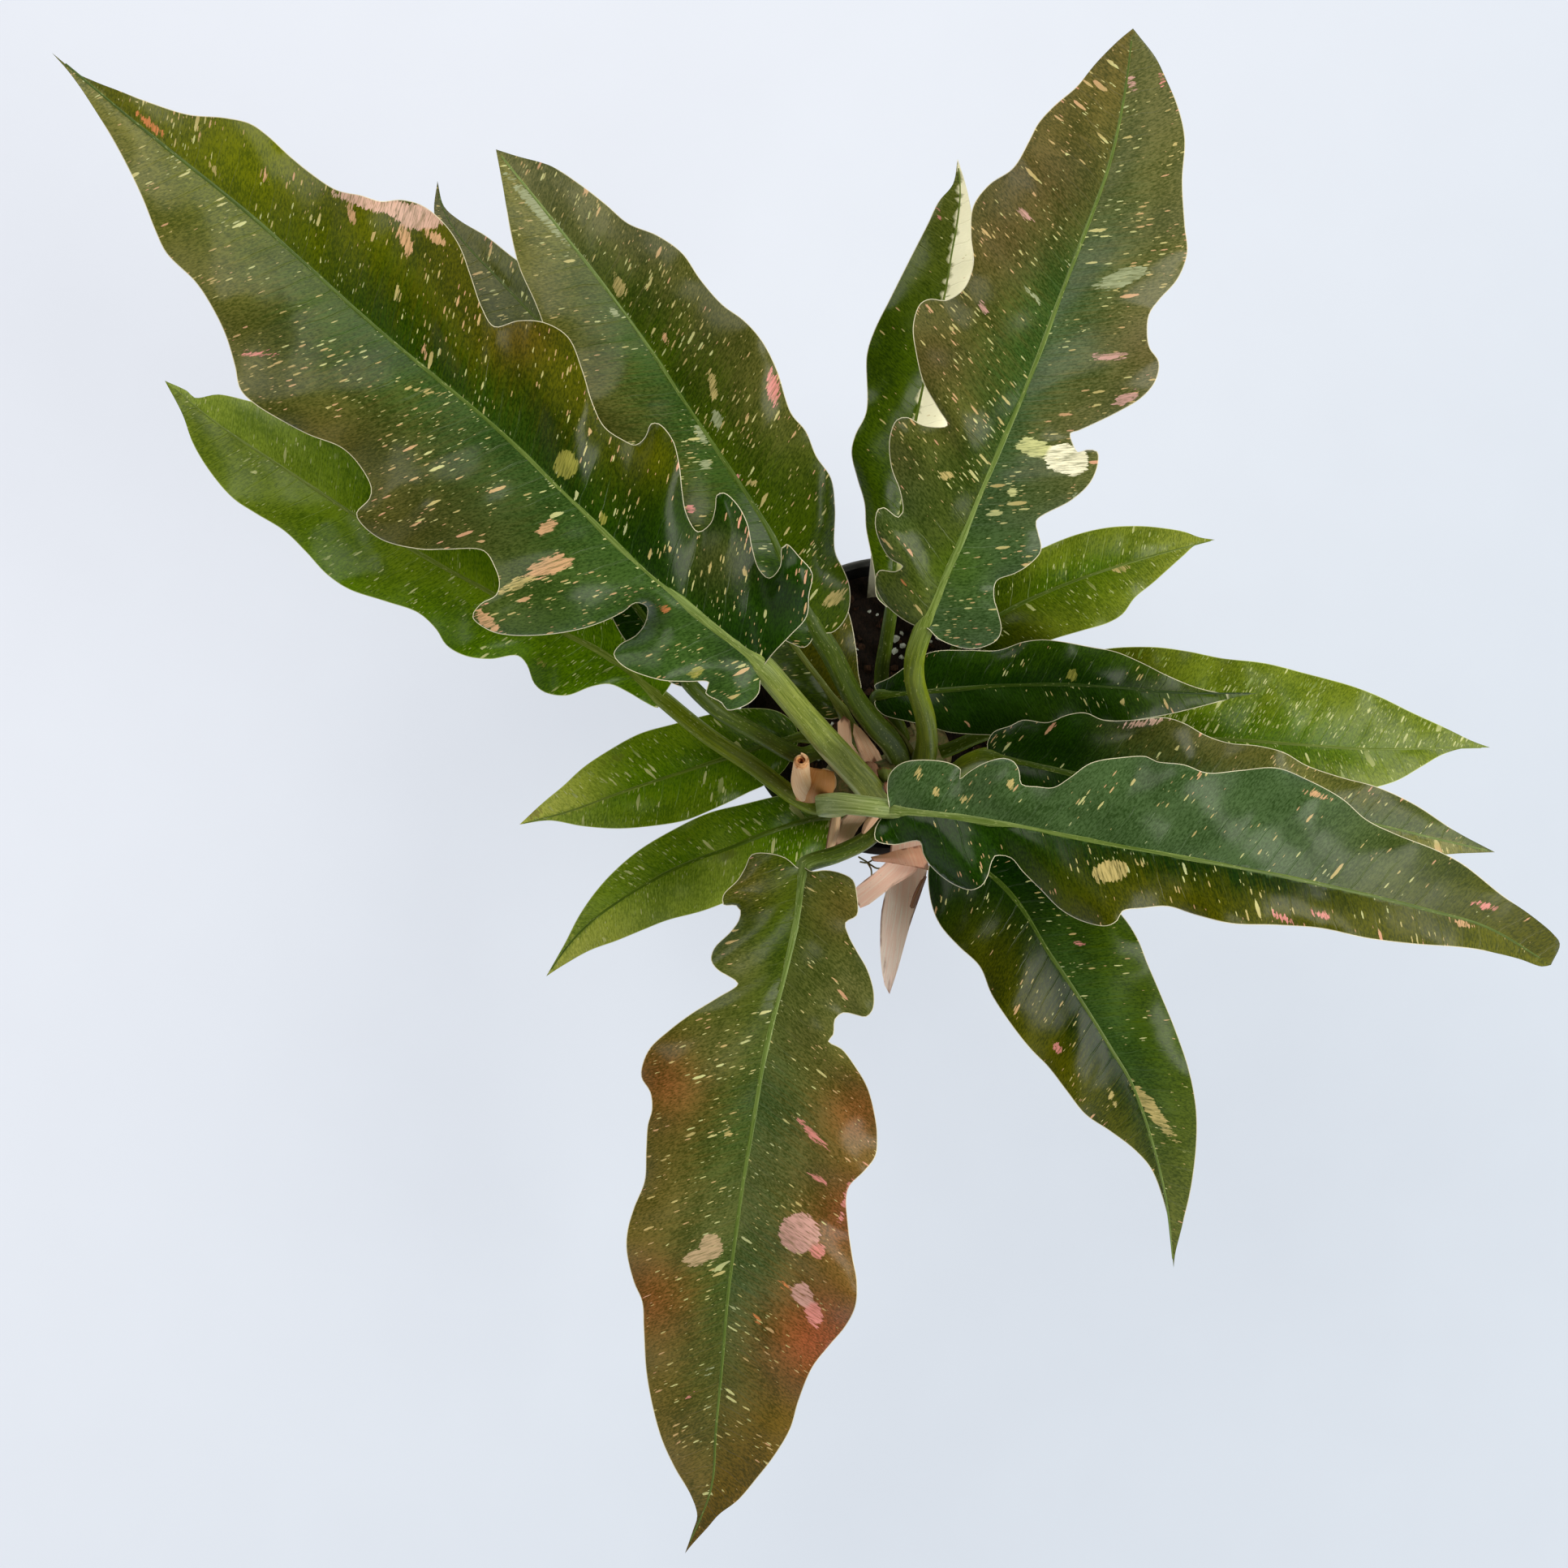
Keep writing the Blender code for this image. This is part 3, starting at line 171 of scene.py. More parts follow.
def leaf(name, petiole, widths, midrib, heights, left, right, rise=(0.28, 0.28), roll=0.30,
         ripple=(0.0, 0.06, 0.0), lifts=(), colour="dark_leaf"):
    """One leaf. PETIOLE holds (right, down, height) from the stem to the neck, and WIDTHS its width
    at the stem and the neck. MIDRIB, LEFT and RIGHT are plan points from the neck to the tip, and
    HEIGHTS are the midrib's at the neck, halfway and at the tip. RISE is how steeply each half climbs
    from the midrib, ROLL how much its margin turns down again. RIPPLE is (height, length, phase) of the
    margin's waves. Each of LIFTS is (right, down, reach, height), a place that stands up or hangs."""
    return dict(name=name, petiole=petiole, widths=widths, midrib=midrib, heights=heights, left=left,
                right=right, rise=rise, roll=roll, ripple=ripple, lifts=lifts, colour=colour)


LEAVES = [
    leaf("leaf_01_largest_upper_left",
         petiole=[(1094, 970, 0.160), (1083, 982, 0.180), (1054, 952, 0.216), (1020, 915, 0.247),
                  (975, 863, 0.285), (940, 824, 0.302)],
         widths=(0.013, 0.0105),
         midrib=[(940, 822), (883, 775), (798, 706), (714, 626), (615, 530), (500, 434), (446, 388),
                 (312, 268), (179, 161), (64, 65)],
         heights=(0.303, 0.332, 0.285),
         left=[(937, 838), (935, 854), (921, 868), (896, 875), (889, 866), (869, 854), (873, 841),
               (848, 840), (814, 838), (768, 821), (756, 806), (764, 794), (783, 783), (795, 767),
               (797, 748), (783, 743), (768, 754), (730, 771), (684, 781), (630, 783), (603, 777),
               (582, 760), (592, 744), (611, 733), (615, 718), (609, 698), (596, 679), (550, 677),
               (519, 677), (470, 665), (443, 643), (439, 632), (455, 614), (457, 601), (443, 574),
               (421, 552), (381, 536), (350, 520), (314, 498), (296, 480), (289, 450), (277, 411),
               (259, 375), (241, 348), (205, 312), (192, 286), (174, 241), (143, 179), (107, 120), (85, 89)],
         right=[(952, 806), (974, 783), (994, 760), (997, 733), (1001, 706), (986, 687), (969, 670),
                (963, 675), (961, 698), (948, 712), (936, 702), (927, 675), (921, 645), (909, 622),
                (892, 607), (883, 610), (881, 626), (875, 645), (860, 655), (846, 633), (841, 607),
                (837, 572), (829, 542), (812, 522), (802, 522), (795, 538), (783, 548), (768, 542),
                (745, 526), (730, 496), (718, 457), (700, 415), (670, 397), (638, 395), (609, 402),
                (594, 379), (580, 339), (567, 304), (549, 277), (522, 254), (495, 246), (469, 248),
                (446, 241), (415, 234), (384, 214), (357, 192), (330, 167), (308, 152), (277, 145),
                (232, 141), (187, 127), (147, 112), (116, 100), (89, 87)],
         rise=(0.22, 0.30), roll=0.34, ripple=(0.0045, 0.058, 0.6),
         lifts=[(985, 715, 45, 0.016), (800, 760, 40, -0.008)]),
    leaf("leaf_02_upper_left",
         petiole=[(1112, 944, 0.152), (1097, 914, 0.180), (1077, 892, 0.200), (1049, 854, 0.225),
                  (1023, 803, 0.246), (1003, 772, 0.257)],
         widths=(0.011, 0.0095),
         midrib=[(1003, 772), (966, 692), (944, 647), (895, 571), (850, 504), (801, 429), (752, 362),
                 (707, 304), (611, 184)],
         heights=(0.258, 0.290, 0.250),
         left=[(1001, 788), (991, 798), (975, 793), (948, 778), (915, 757), (880, 730), (855, 700),
               (825, 668), (795, 630), (765, 590), (735, 545), (707, 497), (685, 447), (667, 393),
               (658, 370), (640, 330), (629, 286), (620, 232)],
         right=[(1013, 779), (1024, 780), (1036, 771), (1046, 752), (1047, 723), (1039, 701), (1029, 679),
                (1029, 625), (1024, 589), (1006, 562), (993, 531), (975, 509), (957, 455), (939, 420),
                (917, 395), (890, 375), (863, 344), (841, 312), (810, 290), (774, 275), (747, 252),
                (716, 228), (680, 205), (636, 192)],
         rise=(0.20, 0.34), roll=0.36, ripple=(0.0030, 0.055, 1.8)),
    leaf("leaf_03_behind_upper_left",
         petiole=[(1090, 950, 0.150), (1062, 916, 0.166), (1045, 890, 0.181), (1036, 874, 0.189)],
         widths=(0.0075, 0.006),
         midrib=[(1036, 873), (978, 795), (900, 690), (800, 560), (700, 436), (618, 348), (565, 290),
                 (544, 252), (539, 223)],
         heights=(0.190, 0.225, 0.200),
         left=[(1034, 884), (1020, 886), (1005, 880), (985, 868), (945, 832), (895, 775), (845, 720),
               (795, 662), (745, 605), (697, 545), (650, 483), (608, 420), (575, 360), (548, 305),
               (535, 262)],
         right=[(1048, 867), (1061, 850), (1058, 830), (1055, 800), (1045, 752), (1015, 690), (975, 630),
                (925, 570), (870, 515), (815, 460), (762, 410), (710, 368), (670, 340), (638, 321),
                (598, 290), (567, 272), (547, 254)],
         rise=(0.25, 0.25), roll=0.30, ripple=(0.0015, 0.070, 0.0)),
    leaf("leaf_04_right",
         petiole=[(1054, 972, 0.170), (1035, 992, 0.192), (1018, 993, 0.222), (1019, 991, 0.252),
                  (1038, 990, 0.268), (1065, 993, 0.274), (1096, 997, 0.274)],
         widths=(0.0090, 0.0088),
         midrib=[(1096, 997), (1237, 1015), (1344, 1036), (1459, 1057), (1610, 1086), (1758, 1121),
                 (1833, 1143), (1911, 1189)],
         heights=(0.274, 0.294, 0.225),
         left=[(1093, 975), (1095, 956), (1106, 943), (1122, 937), (1167, 939), (1184, 948), (1183, 959),
               (1195, 950), (1215, 939), (1237, 934), (1250, 939), (1256, 950), (1259, 966), (1278, 969),
               (1298, 970), (1318, 958), (1344, 940), (1383, 933), (1413, 932), (1425, 938), (1459, 942),
               (1487, 952), (1528, 949), (1573, 946), (1610, 960), (1654, 984), (1684, 1010), (1721, 1028),
               (1769, 1047), (1803, 1065), (1851, 1103), (1888, 1129), (1914, 1151), (1922, 1163)],
         right=[(1085, 1009), (1078, 1022), (1078, 1034), (1083, 1038), (1102, 1041), (1133, 1037),
                (1137, 1051), (1144, 1064), (1160, 1080), (1177, 1091), (1196, 1097), (1209, 1092),
                (1217, 1080), (1222, 1062), (1226, 1055), (1245, 1057), (1260, 1074), (1283, 1097),
                (1306, 1120), (1333, 1135), (1364, 1141), (1377, 1134), (1383, 1123), (1409, 1119),
                (1439, 1117), (1472, 1127), (1517, 1138), (1573, 1140), (1628, 1144), (1684, 1156),
                (1740, 1163), (1814, 1169), (1870, 1181), (1900, 1191)],
         rise=(0.32, 0.26), roll=0.40, ripple=(0.0045, 0.052, 2.2)),
    leaf("leaf_05_upper_right",
         petiole=[(1130, 946, 0.142), (1141, 926, 0.176), (1140, 885, 0.217), (1127, 838, 0.252),
                  (1128, 805, 0.275), (1139, 772, 0.290)],
         widths=(0.0105, 0.0085),
         midrib=[(1139, 772), (1187, 660), (1228, 562), (1268, 468), (1308, 361), (1339, 280), (1366, 205),
                 (1384, 125), (1396, 35)],
         heights=(0.290, 0.314, 0.268),
         left=[(1134, 773), (1112, 763), (1087, 740), (1078, 718), (1083, 703), (1103, 704), (1112, 698),
               (1096, 688), (1084, 668), (1078, 645), (1082, 627), (1089, 625), (1107, 637), (1112, 631),
               (1109, 606), (1098, 575), (1096, 540), (1105, 517), (1118, 514), (1138, 524), (1167, 524),
               (1156, 504), (1138, 472), (1129, 437), (1125, 401), (1134, 374), (1147, 368), (1165, 370),
               (1187, 356), (1199, 325), (1196, 290), (1199, 254), (1219, 227), (1248, 207), (1268, 173),
               (1279, 152), (1299, 130), (1326, 107), (1352, 76), (1379, 49)],
         right=[(1145, 776), (1156, 787), (1183, 798), (1205, 799), (1228, 789), (1234, 776), (1230, 754),
                (1225, 736), (1228, 716), (1250, 707), (1268, 696), (1283, 678), (1279, 655), (1277, 642),
                (1321, 616), (1344, 594), (1353, 571), (1352, 556), (1339, 554), (1328, 557), (1323, 549),
                (1319, 534), (1328, 531), (1379, 507), (1408, 489), (1424, 469), (1428, 446), (1417, 429),
                (1414, 415), (1416, 388), (1428, 370), (1451, 344), (1463, 312), (1460, 277), (1457, 223),
                (1460, 170), (1451, 130), (1437, 98), (1424, 71), (1404, 45)],
         rise=(0.24, 0.30), roll=0.36, ripple=(0.0042, 0.054, 0.3)),
    leaf("leaf_06_downward",
         petiole=[(1085, 985, 0.143), (1084, 1013, 0.157), (1068, 1034, 0.186), (1030, 1053, 0.212),
                  (992, 1066, 0.224)],
         widths=(0.0090, 0.0078),
         midrib=[(990, 1067), (983, 1122), (968, 1195), (945, 1287), (930, 1371), (914, 1467), (896, 1604),
                 (889, 1688), (882, 1760), (876, 1834), (844, 1914)],
         heights=(0.225, 0.222, 0.150),
         left=[(998, 1073), (1018, 1072), (1037, 1076), (1051, 1084), (1056, 1103), (1056, 1128),
               (1042, 1137), (1046, 1153), (1056, 1172), (1069, 1195), (1077, 1225), (1075, 1245),
               (1067, 1253), (1052, 1250), (1039, 1248), (1029, 1256), (1027, 1275), (1021, 1283),
               (1037, 1292), (1054, 1314), (1069, 1340), (1079, 1379), (1081, 1400), (1079, 1424),
               (1066, 1442), (1047, 1461), (1043, 1475), (1045, 1509), (1050, 1546), (1056, 1580),
               (1054, 1610), (1042, 1634), (1022, 1658), (1001, 1685), (984, 1726), (974, 1760), (954, 1794),
               (933, 1821), (910, 1848), (886, 1866), (872, 1882), (852, 1904)],
         right=[(985, 1070), (968, 1057), (945, 1051), (926, 1053), (918, 1069), (909, 1084), (891, 1103),
                (891, 1115), (907, 1116), (912, 1122), (910, 1134), (899, 1149), (880, 1168), (876, 1183),
                (884, 1195), (899, 1204), (909, 1212), (884, 1229), (853, 1248), (826, 1268), (801, 1291),
                (792, 1310), (790, 1327), (801, 1346), (803, 1367), (798, 1386), (796, 1417), (794, 1455),
                (781, 1488), (773, 1516), (772, 1542), (781, 1580), (791, 1604), (793, 1637), (796, 1688),
                (803, 1729), (815, 1773), (832, 1810), (852, 1844), (859, 1868), (854, 1885)],
         rise=(0.26, 0.24), roll=0.34, ripple=(0.0042, 0.050, 1.2)),
    leaf("leaf_07_lower_right",
         petiole=[(1112, 962, 0.142), (1132, 992, 0.158), (1152, 1020, 0.176), (1172, 1042, 0.189)],
         widths=(0.0085, 0.0068),
         midrib=[(1172, 1042), (1218, 1076), (1253, 1111), (1291, 1172), (1330, 1230), (1368, 1291),
                 (1395, 1337), (1421, 1413), (1437, 1480), (1446, 1562)],
         heights=(0.190, 0.192, 0.125),
         left=[(1182, 1036), (1205, 1030), (1245, 1034), (1290, 1052), (1335, 1082), (1383, 1128),
               (1402, 1157), (1414, 1187), (1429, 1222), (1448, 1268), (1465, 1318), (1474, 1367),
               (1474, 1413), (1467, 1467), (1456, 1513), (1448, 1545)],
         right=[(1162, 1051), (1149, 1058), (1144, 1069), (1146, 1107), (1157, 1138), (1180, 1165),
                (1207, 1191), (1222, 1226), (1253, 1272), (1272, 1295), (1291, 1314), (1314, 1344),
                (1337, 1373), (1368, 1394), (1398, 1417), (1418, 1440), (1433, 1478), (1442, 1517)],
         rise=(0.34, 0.30), roll=0.30, ripple=(0.0022, 0.060, 0.4)),
    leaf("leaf_08_right_dark",
         petiole=[(1124, 966, 0.136), (1168, 956, 0.160), (1194, 938, 0.194), (1218, 930, 0.214)],
         widths=(0.009, 0.0072),
         midrib=[(1218, 930), (1245, 936), (1325, 954), (1450, 975), (1570, 993), (1690, 1015), (1780, 1036),
                 (1842, 1050)],
         heights=(0.215, 0.226, 0.190),
         left=[(1216, 917), (1224, 902), (1245, 894), (1260, 887), (1291, 890), (1314, 881), (1337, 878),
               (1360, 887), (1398, 887), (1436, 884), (1459, 891), (1486, 906), (1513, 915), (1551, 919),
               (1582, 927), (1610, 943), (1654, 958), (1695, 969), (1743, 991), (1795, 1025)],
         right=[(1216, 944), (1232, 965), (1265, 985), (1310, 1000), (1370, 1015), (1440, 1030),
                (1510, 1042), (1580, 1050), (1650, 1058), (1720, 1060), (1792, 1052), (1815, 1051)],
         rise=(0.28, 0.20), roll=0.34, ripple=(0.0028, 0.052, 1.0)),
    leaf("leaf_09_right_behind",
         petiole=[(1130, 935, 0.132), (1165, 925, 0.142), (1205, 908, 0.150), (1240, 898, 0.154)],
         widths=(0.0075, 0.006),
         midrib=[(1240, 898), (1320, 900), (1410, 905), (1510, 911), (1610, 918), (1684, 923), (1770, 922),
                 (1836, 921)],
         heights=(0.155, 0.166, 0.142),
         left=[(1244, 884), (1262, 862), (1300, 825), (1350, 802), (1417, 797), (1461, 802), (1506, 811),
               (1558, 817), (1610, 830), (1665, 845), (1699, 858), (1740, 878), (1777, 895), (1814, 913)],
         right=[(1246, 912), (1270, 940), (1320, 970), (1390, 990), (1470, 1000), (1550, 998), (1620, 988),
                (1680, 974), (1721, 962), (1751, 945), (1777, 930), (1803, 922)],
         rise=(0.14, 0.10), roll=0.22, ripple=(0.0012, 0.070, 0.0), colour="fresh_leaf"),
    leaf("leaf_10_right_short",
         petiole=[(1118, 925, 0.136), (1107, 893, 0.152), (1094, 873, 0.166), (1079, 861, 0.178),
                  (1076, 856, 0.182)],
         widths=(0.0075, 0.006),
         midrib=[(1084, 856), (1145, 852), (1230, 845), (1325, 844), (1383, 848), (1459, 854), (1551, 854)],
         heights=(0.185, 0.196, 0.180),
         left=[(1077, 845), (1096, 835), (1145, 804), (1191, 801), (1230, 801), (1260, 791), (1283, 788),
               (1306, 790), (1344, 797), (1375, 803), (1406, 816), (1440, 833), (1478, 848), (1516, 855)],
         right=[(1077, 866), (1087, 880), (1119, 889), (1148, 896), (1167, 902), (1199, 905), (1222, 906),
                (1270, 908), (1315, 900), (1357, 888), (1383, 889), (1436, 881), (1478, 871), (1528, 858)],
         rise=(0.26, 0.20), roll=0.34, ripple=(0.0015, 0.060, 0.7)),
    leaf("leaf_11_small_right",
         petiole=[(1131, 922, 0.118), (1146, 882, 0.130), (1166, 830, 0.144), (1186, 783, 0.155)],
         widths=(0.0065, 0.005),
         midrib=[(1186, 783), (1264, 741), (1337, 711), (1420, 685), (1497, 665)],
         heights=(0.156, 0.170, 0.155),
         left=[(1184, 770), (1198, 748), (1220, 718), (1250, 693), (1283, 676), (1325, 659), (1364, 650),
               (1402, 648), (1429, 650), (1459, 655), (1478, 662)],
         right=[(1200, 797), (1240, 803), (1275, 795), (1306, 785), (1337, 776), (1364, 768), (1383, 757),
                (1398, 737), (1421, 718), (1440, 701), (1459, 684), (1474, 671)],
         rise=(0.20, 0.18), roll=0.24, ripple=(0.0015, 0.060, 2.0), colour="fresh_leaf"),
    leaf("leaf_12_half_cream",
         petiole=[(1112, 915, 0.125), (1090, 870, 0.142), (1086, 835, 0.160), (1092, 790, 0.190),
                  (1098, 752, 0.208)],
         widths=(0.0080, 0.0062),
         midrib=[(1098, 752), (1103, 690), (1112, 620), (1122, 550), (1134, 490), (1148, 430), (1163, 368),
                 (1172, 316), (1179, 276), (1183, 236), (1180, 196)],
         heights=(0.209, 0.236, 0.236),
         left=[(1090, 746), (1080, 735), (1078, 712), (1074, 687), (1067, 651), (1065, 620), (1056, 589),
               (1049, 557), (1054, 535), (1067, 508), (1068, 437), (1076, 410), (1098, 365), (1120, 321),
               (1143, 276), (1156, 249), (1174, 227)],
         right=[(1108, 748), (1125, 735), (1140, 700), (1152, 650), (1162, 590), (1172, 530), (1182, 470),
                (1192, 410), (1198, 350), (1199, 300), (1197, 262), (1190, 228)],
         rise=(0.50, 0.50), roll=0.30, ripple=(0.0022, 0.060, 1.5)),
    leaf("leaf_13_left",
         petiole=[(1034, 972, 0.176), (1010, 993, 0.180), (985, 985, 0.190), (930, 945, 0.205),
                  (870, 905, 0.212), (817, 862, 0.216)],
         widths=(0.0085, 0.0080),
         midrib=[(815, 860), (751, 810), (693, 779), (604, 730), (515, 681), (430, 630), (359, 583),
                 (269, 523), (203, 469)],
         heights=(0.216, 0.226, 0.200),
         left=[(811, 872), (796, 866), (774, 853), (751, 843), (729, 846), (698, 857), (671, 853),
               (658, 842), (649, 819), (638, 808), (604, 812), (573, 808), (550, 795), (537, 775),
               (515, 755), (475, 741), (430, 726), (403, 708), (376, 679), (350, 654), (314, 632),
               (287, 614), (260, 583), (238, 547), (225, 511)],
         right=[(822, 850), (830, 835), (825, 812), (800, 788), (770, 765), (735, 738), (700, 710),
                (655, 680), (610, 645), (560, 610), (500, 575), (440, 542), (385, 515), (340, 502),
                (307, 494), (269, 486), (240, 490), (231, 482)],
         rise=(0.16, 0.22), roll=0.26, ripple=(0.0030, 0.060, 0.2), colour="fresh_leaf"),
    leaf("leaf_14_left_hidden",
         petiole=[(1050, 952, 0.168), (1030, 932, 0.178), (1010, 925, 0.190), (986, 931, 0.207),
                  (921, 897, 0.240), (880, 872, 0.254), (849, 842, 0.261)],
         widths=(0.0085, 0.0068),
         midrib=[(848, 841), (815, 790), (765, 725), (705, 655), (640, 590), (570, 535), (470, 470)],
         heights=(0.262, 0.270, 0.256),
         left=[(842, 846), (828, 842), (800, 822), (768, 786), (752, 758), (728, 722), (688, 674),
               (640, 625), (590, 580), (540, 535), (500, 500)],
         right=[(856, 833), (866, 815), (860, 785), (838, 750), (800, 705), (755, 650), (705, 600),
                (650, 550), (595, 515), (540, 490), (500, 475)],
         rise=(0.10, 0.06), roll=0.20),
    leaf("leaf_15_lower_left_small",
         petiole=[(1092, 955, 0.150), (1052, 926, 0.146), (1015, 912, 0.152), (987, 907, 0.158)],
         widths=(0.0072, 0.0056),
         midrib=[(985, 908), (950, 916), (901, 932), (839, 952), (770, 975), (700, 1000), (640, 1016)],
         heights=(0.158, 0.176, 0.148),
         left=[(980, 925), (965, 950), (943, 967), (923, 976), (901, 987), (872, 1000), (844, 1011),
               (802, 1018), (760, 1021), (718, 1018), (676, 1011)],
         right=[(979, 892), (957, 876), (915, 873), (875, 880), (830, 892), (788, 904), (746, 927),
                (718, 946), (693, 969), (670, 988)],
         rise=(0.20, 0.20), roll=0.26, ripple=(0.0010, 0.060, 1.0), colour="fresh_leaf"),
    leaf("leaf_16_lower_left",
         petiole=[(1075, 970, 0.152), (1050, 1000, 0.152), (1022, 1004, 0.160)],
         widths=(0.0075, 0.0062),
         midrib=[(1020, 1004), (957, 1022), (901, 1044), (861, 1058), (816, 1078), (760, 1112), (727, 1137),
                 (700, 1165), (673, 1203)],
         heights=(0.161, 0.172, 0.135),
         left=[(1027, 1014), (1030, 1030), (1018, 1045), (990, 1065), (955, 1085), (915, 1103), (867, 1122),
               (822, 1134), (794, 1145), (760, 1159), (727, 1171), (693, 1190)],
         right=[(1015, 987), (990, 976), (957, 981), (915, 991), (872, 1002), (830, 1022), (788, 1047),
                (755, 1075), (732, 1101), (713, 1129), (696, 1162)],
         rise=(0.22, 0.22), roll=0.26, ripple=(0.0014, 0.060, 0.5), colour="fresh_leaf"),
]

# Dried sheaths that once wrapped the leaves: each is a narrow curved strip on the stem
SHEATH_THICKNESS = 0.0008
SHEATH_GRID = 14.0


def strip(name, midrib, heights, left, right, rise=(0.6, 0.6), ripple=(0.0, 0.03, 0.0)):
    """A dried strip, laid out as a blade is, from the stem to its tip."""
    return dict(name=name, midrib=midrib, heights=heights, left=left, right=right, rise=rise, roll=0.0,
                ripple=ripple, lifts=())


SHEATHS = [
    strip("dried_sheath_1_upper",
         midrib=[(1060, 948), (1043, 915), (1040, 882)], heights=(0.170, 0.196, 0.206),
         left=[(1050, 944), (1036, 916), (1032, 890)], right=[(1063, 938), (1050, 916), (1047, 888)]),
    strip("dried_sheath_2_upper",
         midrib=[(1075, 940), (1063, 916), (1052, 891)], heights=(0.172, 0.188, 0.192),
         left=[(1063, 940), (1056, 922), (1051, 904)], right=[(1087, 936), (1074, 914), (1060, 897)]),
    strip("dried_sheath_3_lower",
         midrib=[(1072, 988), (1052, 1018), (1034, 1046)],
         heights=(0.162, 0.177, 0.182),
         left=[(1080, 992), (1058, 1020), (1042, 1045)],
         right=[(1064, 990), (1036, 1010), (1020, 1036)]),
    strip("dried_sheath_4_long",
         midrib=[(1118, 985), (1118, 1040), (1116, 1090), (1108, 1150), (1096, 1225)],
         heights=(0.145, 0.158, 0.134),
         left=[(1128, 992), (1136, 1030), (1143, 1062), (1140, 1084), (1121, 1141), (1106, 1195)],
         right=[(1108, 992), (1102, 1040), (1096, 1080), (1086, 1122), (1085, 1180), (1090, 1214)],
         rise=(0.4, 0.4)),
    strip("dried_sheath_5_side",
         midrib=[(1100, 992), (1114, 1030), (1108, 1062), (1082, 1088), (1054, 1110)],
         heights=(0.157, 0.184, 0.178),
         left=[(1108, 996), (1138, 1040), (1134, 1068), (1100, 1092), (1060, 1119)],
         right=[(1092, 996), (1098, 1036), (1092, 1062), (1066, 1084), (1050, 1100)],
         rise=(0.3, 0.3)),
]

# Rolled new leaf in its peach sheath: centre line, and radius at the foot, middle and mouth
SPEAR_LINE = [(-0.0340, -0.0380, 0.186), (-0.0435, -0.0430, 0.206), (-0.0462, -0.0375, 0.232),
              (-0.046, -0.029, 0.258)]
SPEAR_RADII = (0.0066, 0.0058, 0.0039)
SPEAR_ROWS = 40
SPEAR_SMOOTHING = 6
SPEAR_GRAIN = 0.08
SPEAR_SHIFT = 3.0
SPEAR_RIM = 0.078
ROLL_TURNS = 2.9
ROLL_POINTS = 90
ROLL_GAP = 0.235
ROLL_LIP = 0.0016
# Where the inner turns of the roll begin and how far they darken, and the tone of that painted shade inside
# the roll
ROLL_INNER = (0.9, 0.8)
ROLL_SHADE_TONE = (0.90, 0.66, 0.44)

# Finer forms of the sheaths, and the aerial roots and dry twigs
SHEATH_RIB = 0.00018
SHEATH_RIB_PITCH = 0.0016
SHEATH_BUCKLE = 0.0006
SHEATH_BUCKLE_PITCH = 0.013
ROOTS = [[(0.008, -0.038, 0.152), (0.003, -0.052, 0.140), (-0.002, -0.060, 0.122)],
         [(0.024, -0.030, 0.140), (0.034, -0.040, 0.132), (0.040, -0.044, 0.119)],
         [(0.014, -0.018, 0.140), (0.010, -0.006, 0.132), (0.008, 0.002, 0.120)]]
ROOT_WIDTH = 0.0024
ROOT_STEP = 0.002
ROOT_SIDES = 10
TWIGS = [[(1058.0, 1056.0, 0.170), (1068.0, 1062.0, 0.176), (1078.0, 1069.0, 0.176), (1088.0, 1070.0, 0.168)],
         [(1068.0, 1062.0, 0.176), (1073.0, 1070.0, 0.177), (1074.0, 1082.0, 0.172)],
         [(1060.0, 1062.0, 0.170), (1069.0, 1063.0, 0.175), (1076.0, 1059.0, 0.172)]]
TWIG_WIDTH = 0.0009
TWIG_SIDES = 8
FLAP_WALL = 0.0007
FLAP_ROWS = 18
FLAP_COLUMNS = 18
FLAP_RIB = 0.00012
FLAP_SHIFT = 7.0
VIEW_SCALE = 2700.0
# Each dried sheath's tint; the darker first ones hold painted shade, for the strips that lie inside the crown
SHEATH_TINTS_AND_SHADE = [(0.80, 0.62, 0.46), (0.72, 0.55, 0.38), (0.92, 0.76, 0.60), (1.0, 0.96, 0.94),
                (1.0, 0.82, 0.75)]
OPEN_SHEATH_TONE = (0.62, 0.44, 0.24)
OPEN_SHEATH = [
    [(988, 944, 0.228), (1001, 946, 0.230), (1015, 948, 0.229), (1028, 951, 0.221)],
    [(984, 960, 0.223), (1000, 960, 0.231), (1016, 962, 0.230), (1029, 964, 0.219)],
    [(980, 975, 0.214), (999, 977, 0.227), (1015, 976, 0.226), (1027, 976, 0.212)],
    [(981, 986, 0.207), (998, 990, 0.212), (1013, 987, 0.212), (1024, 981, 0.207)]]

# Larger white lumps in the mix: plan point, size
PERLITE_CHUNKS = [(1104, 787, 0.0052), (1112, 796, 0.0044), (1102, 803, 0.0048), (1111, 810, 0.0038),
                  (1110, 781, 0.0036), (1096, 795, 0.0030)]

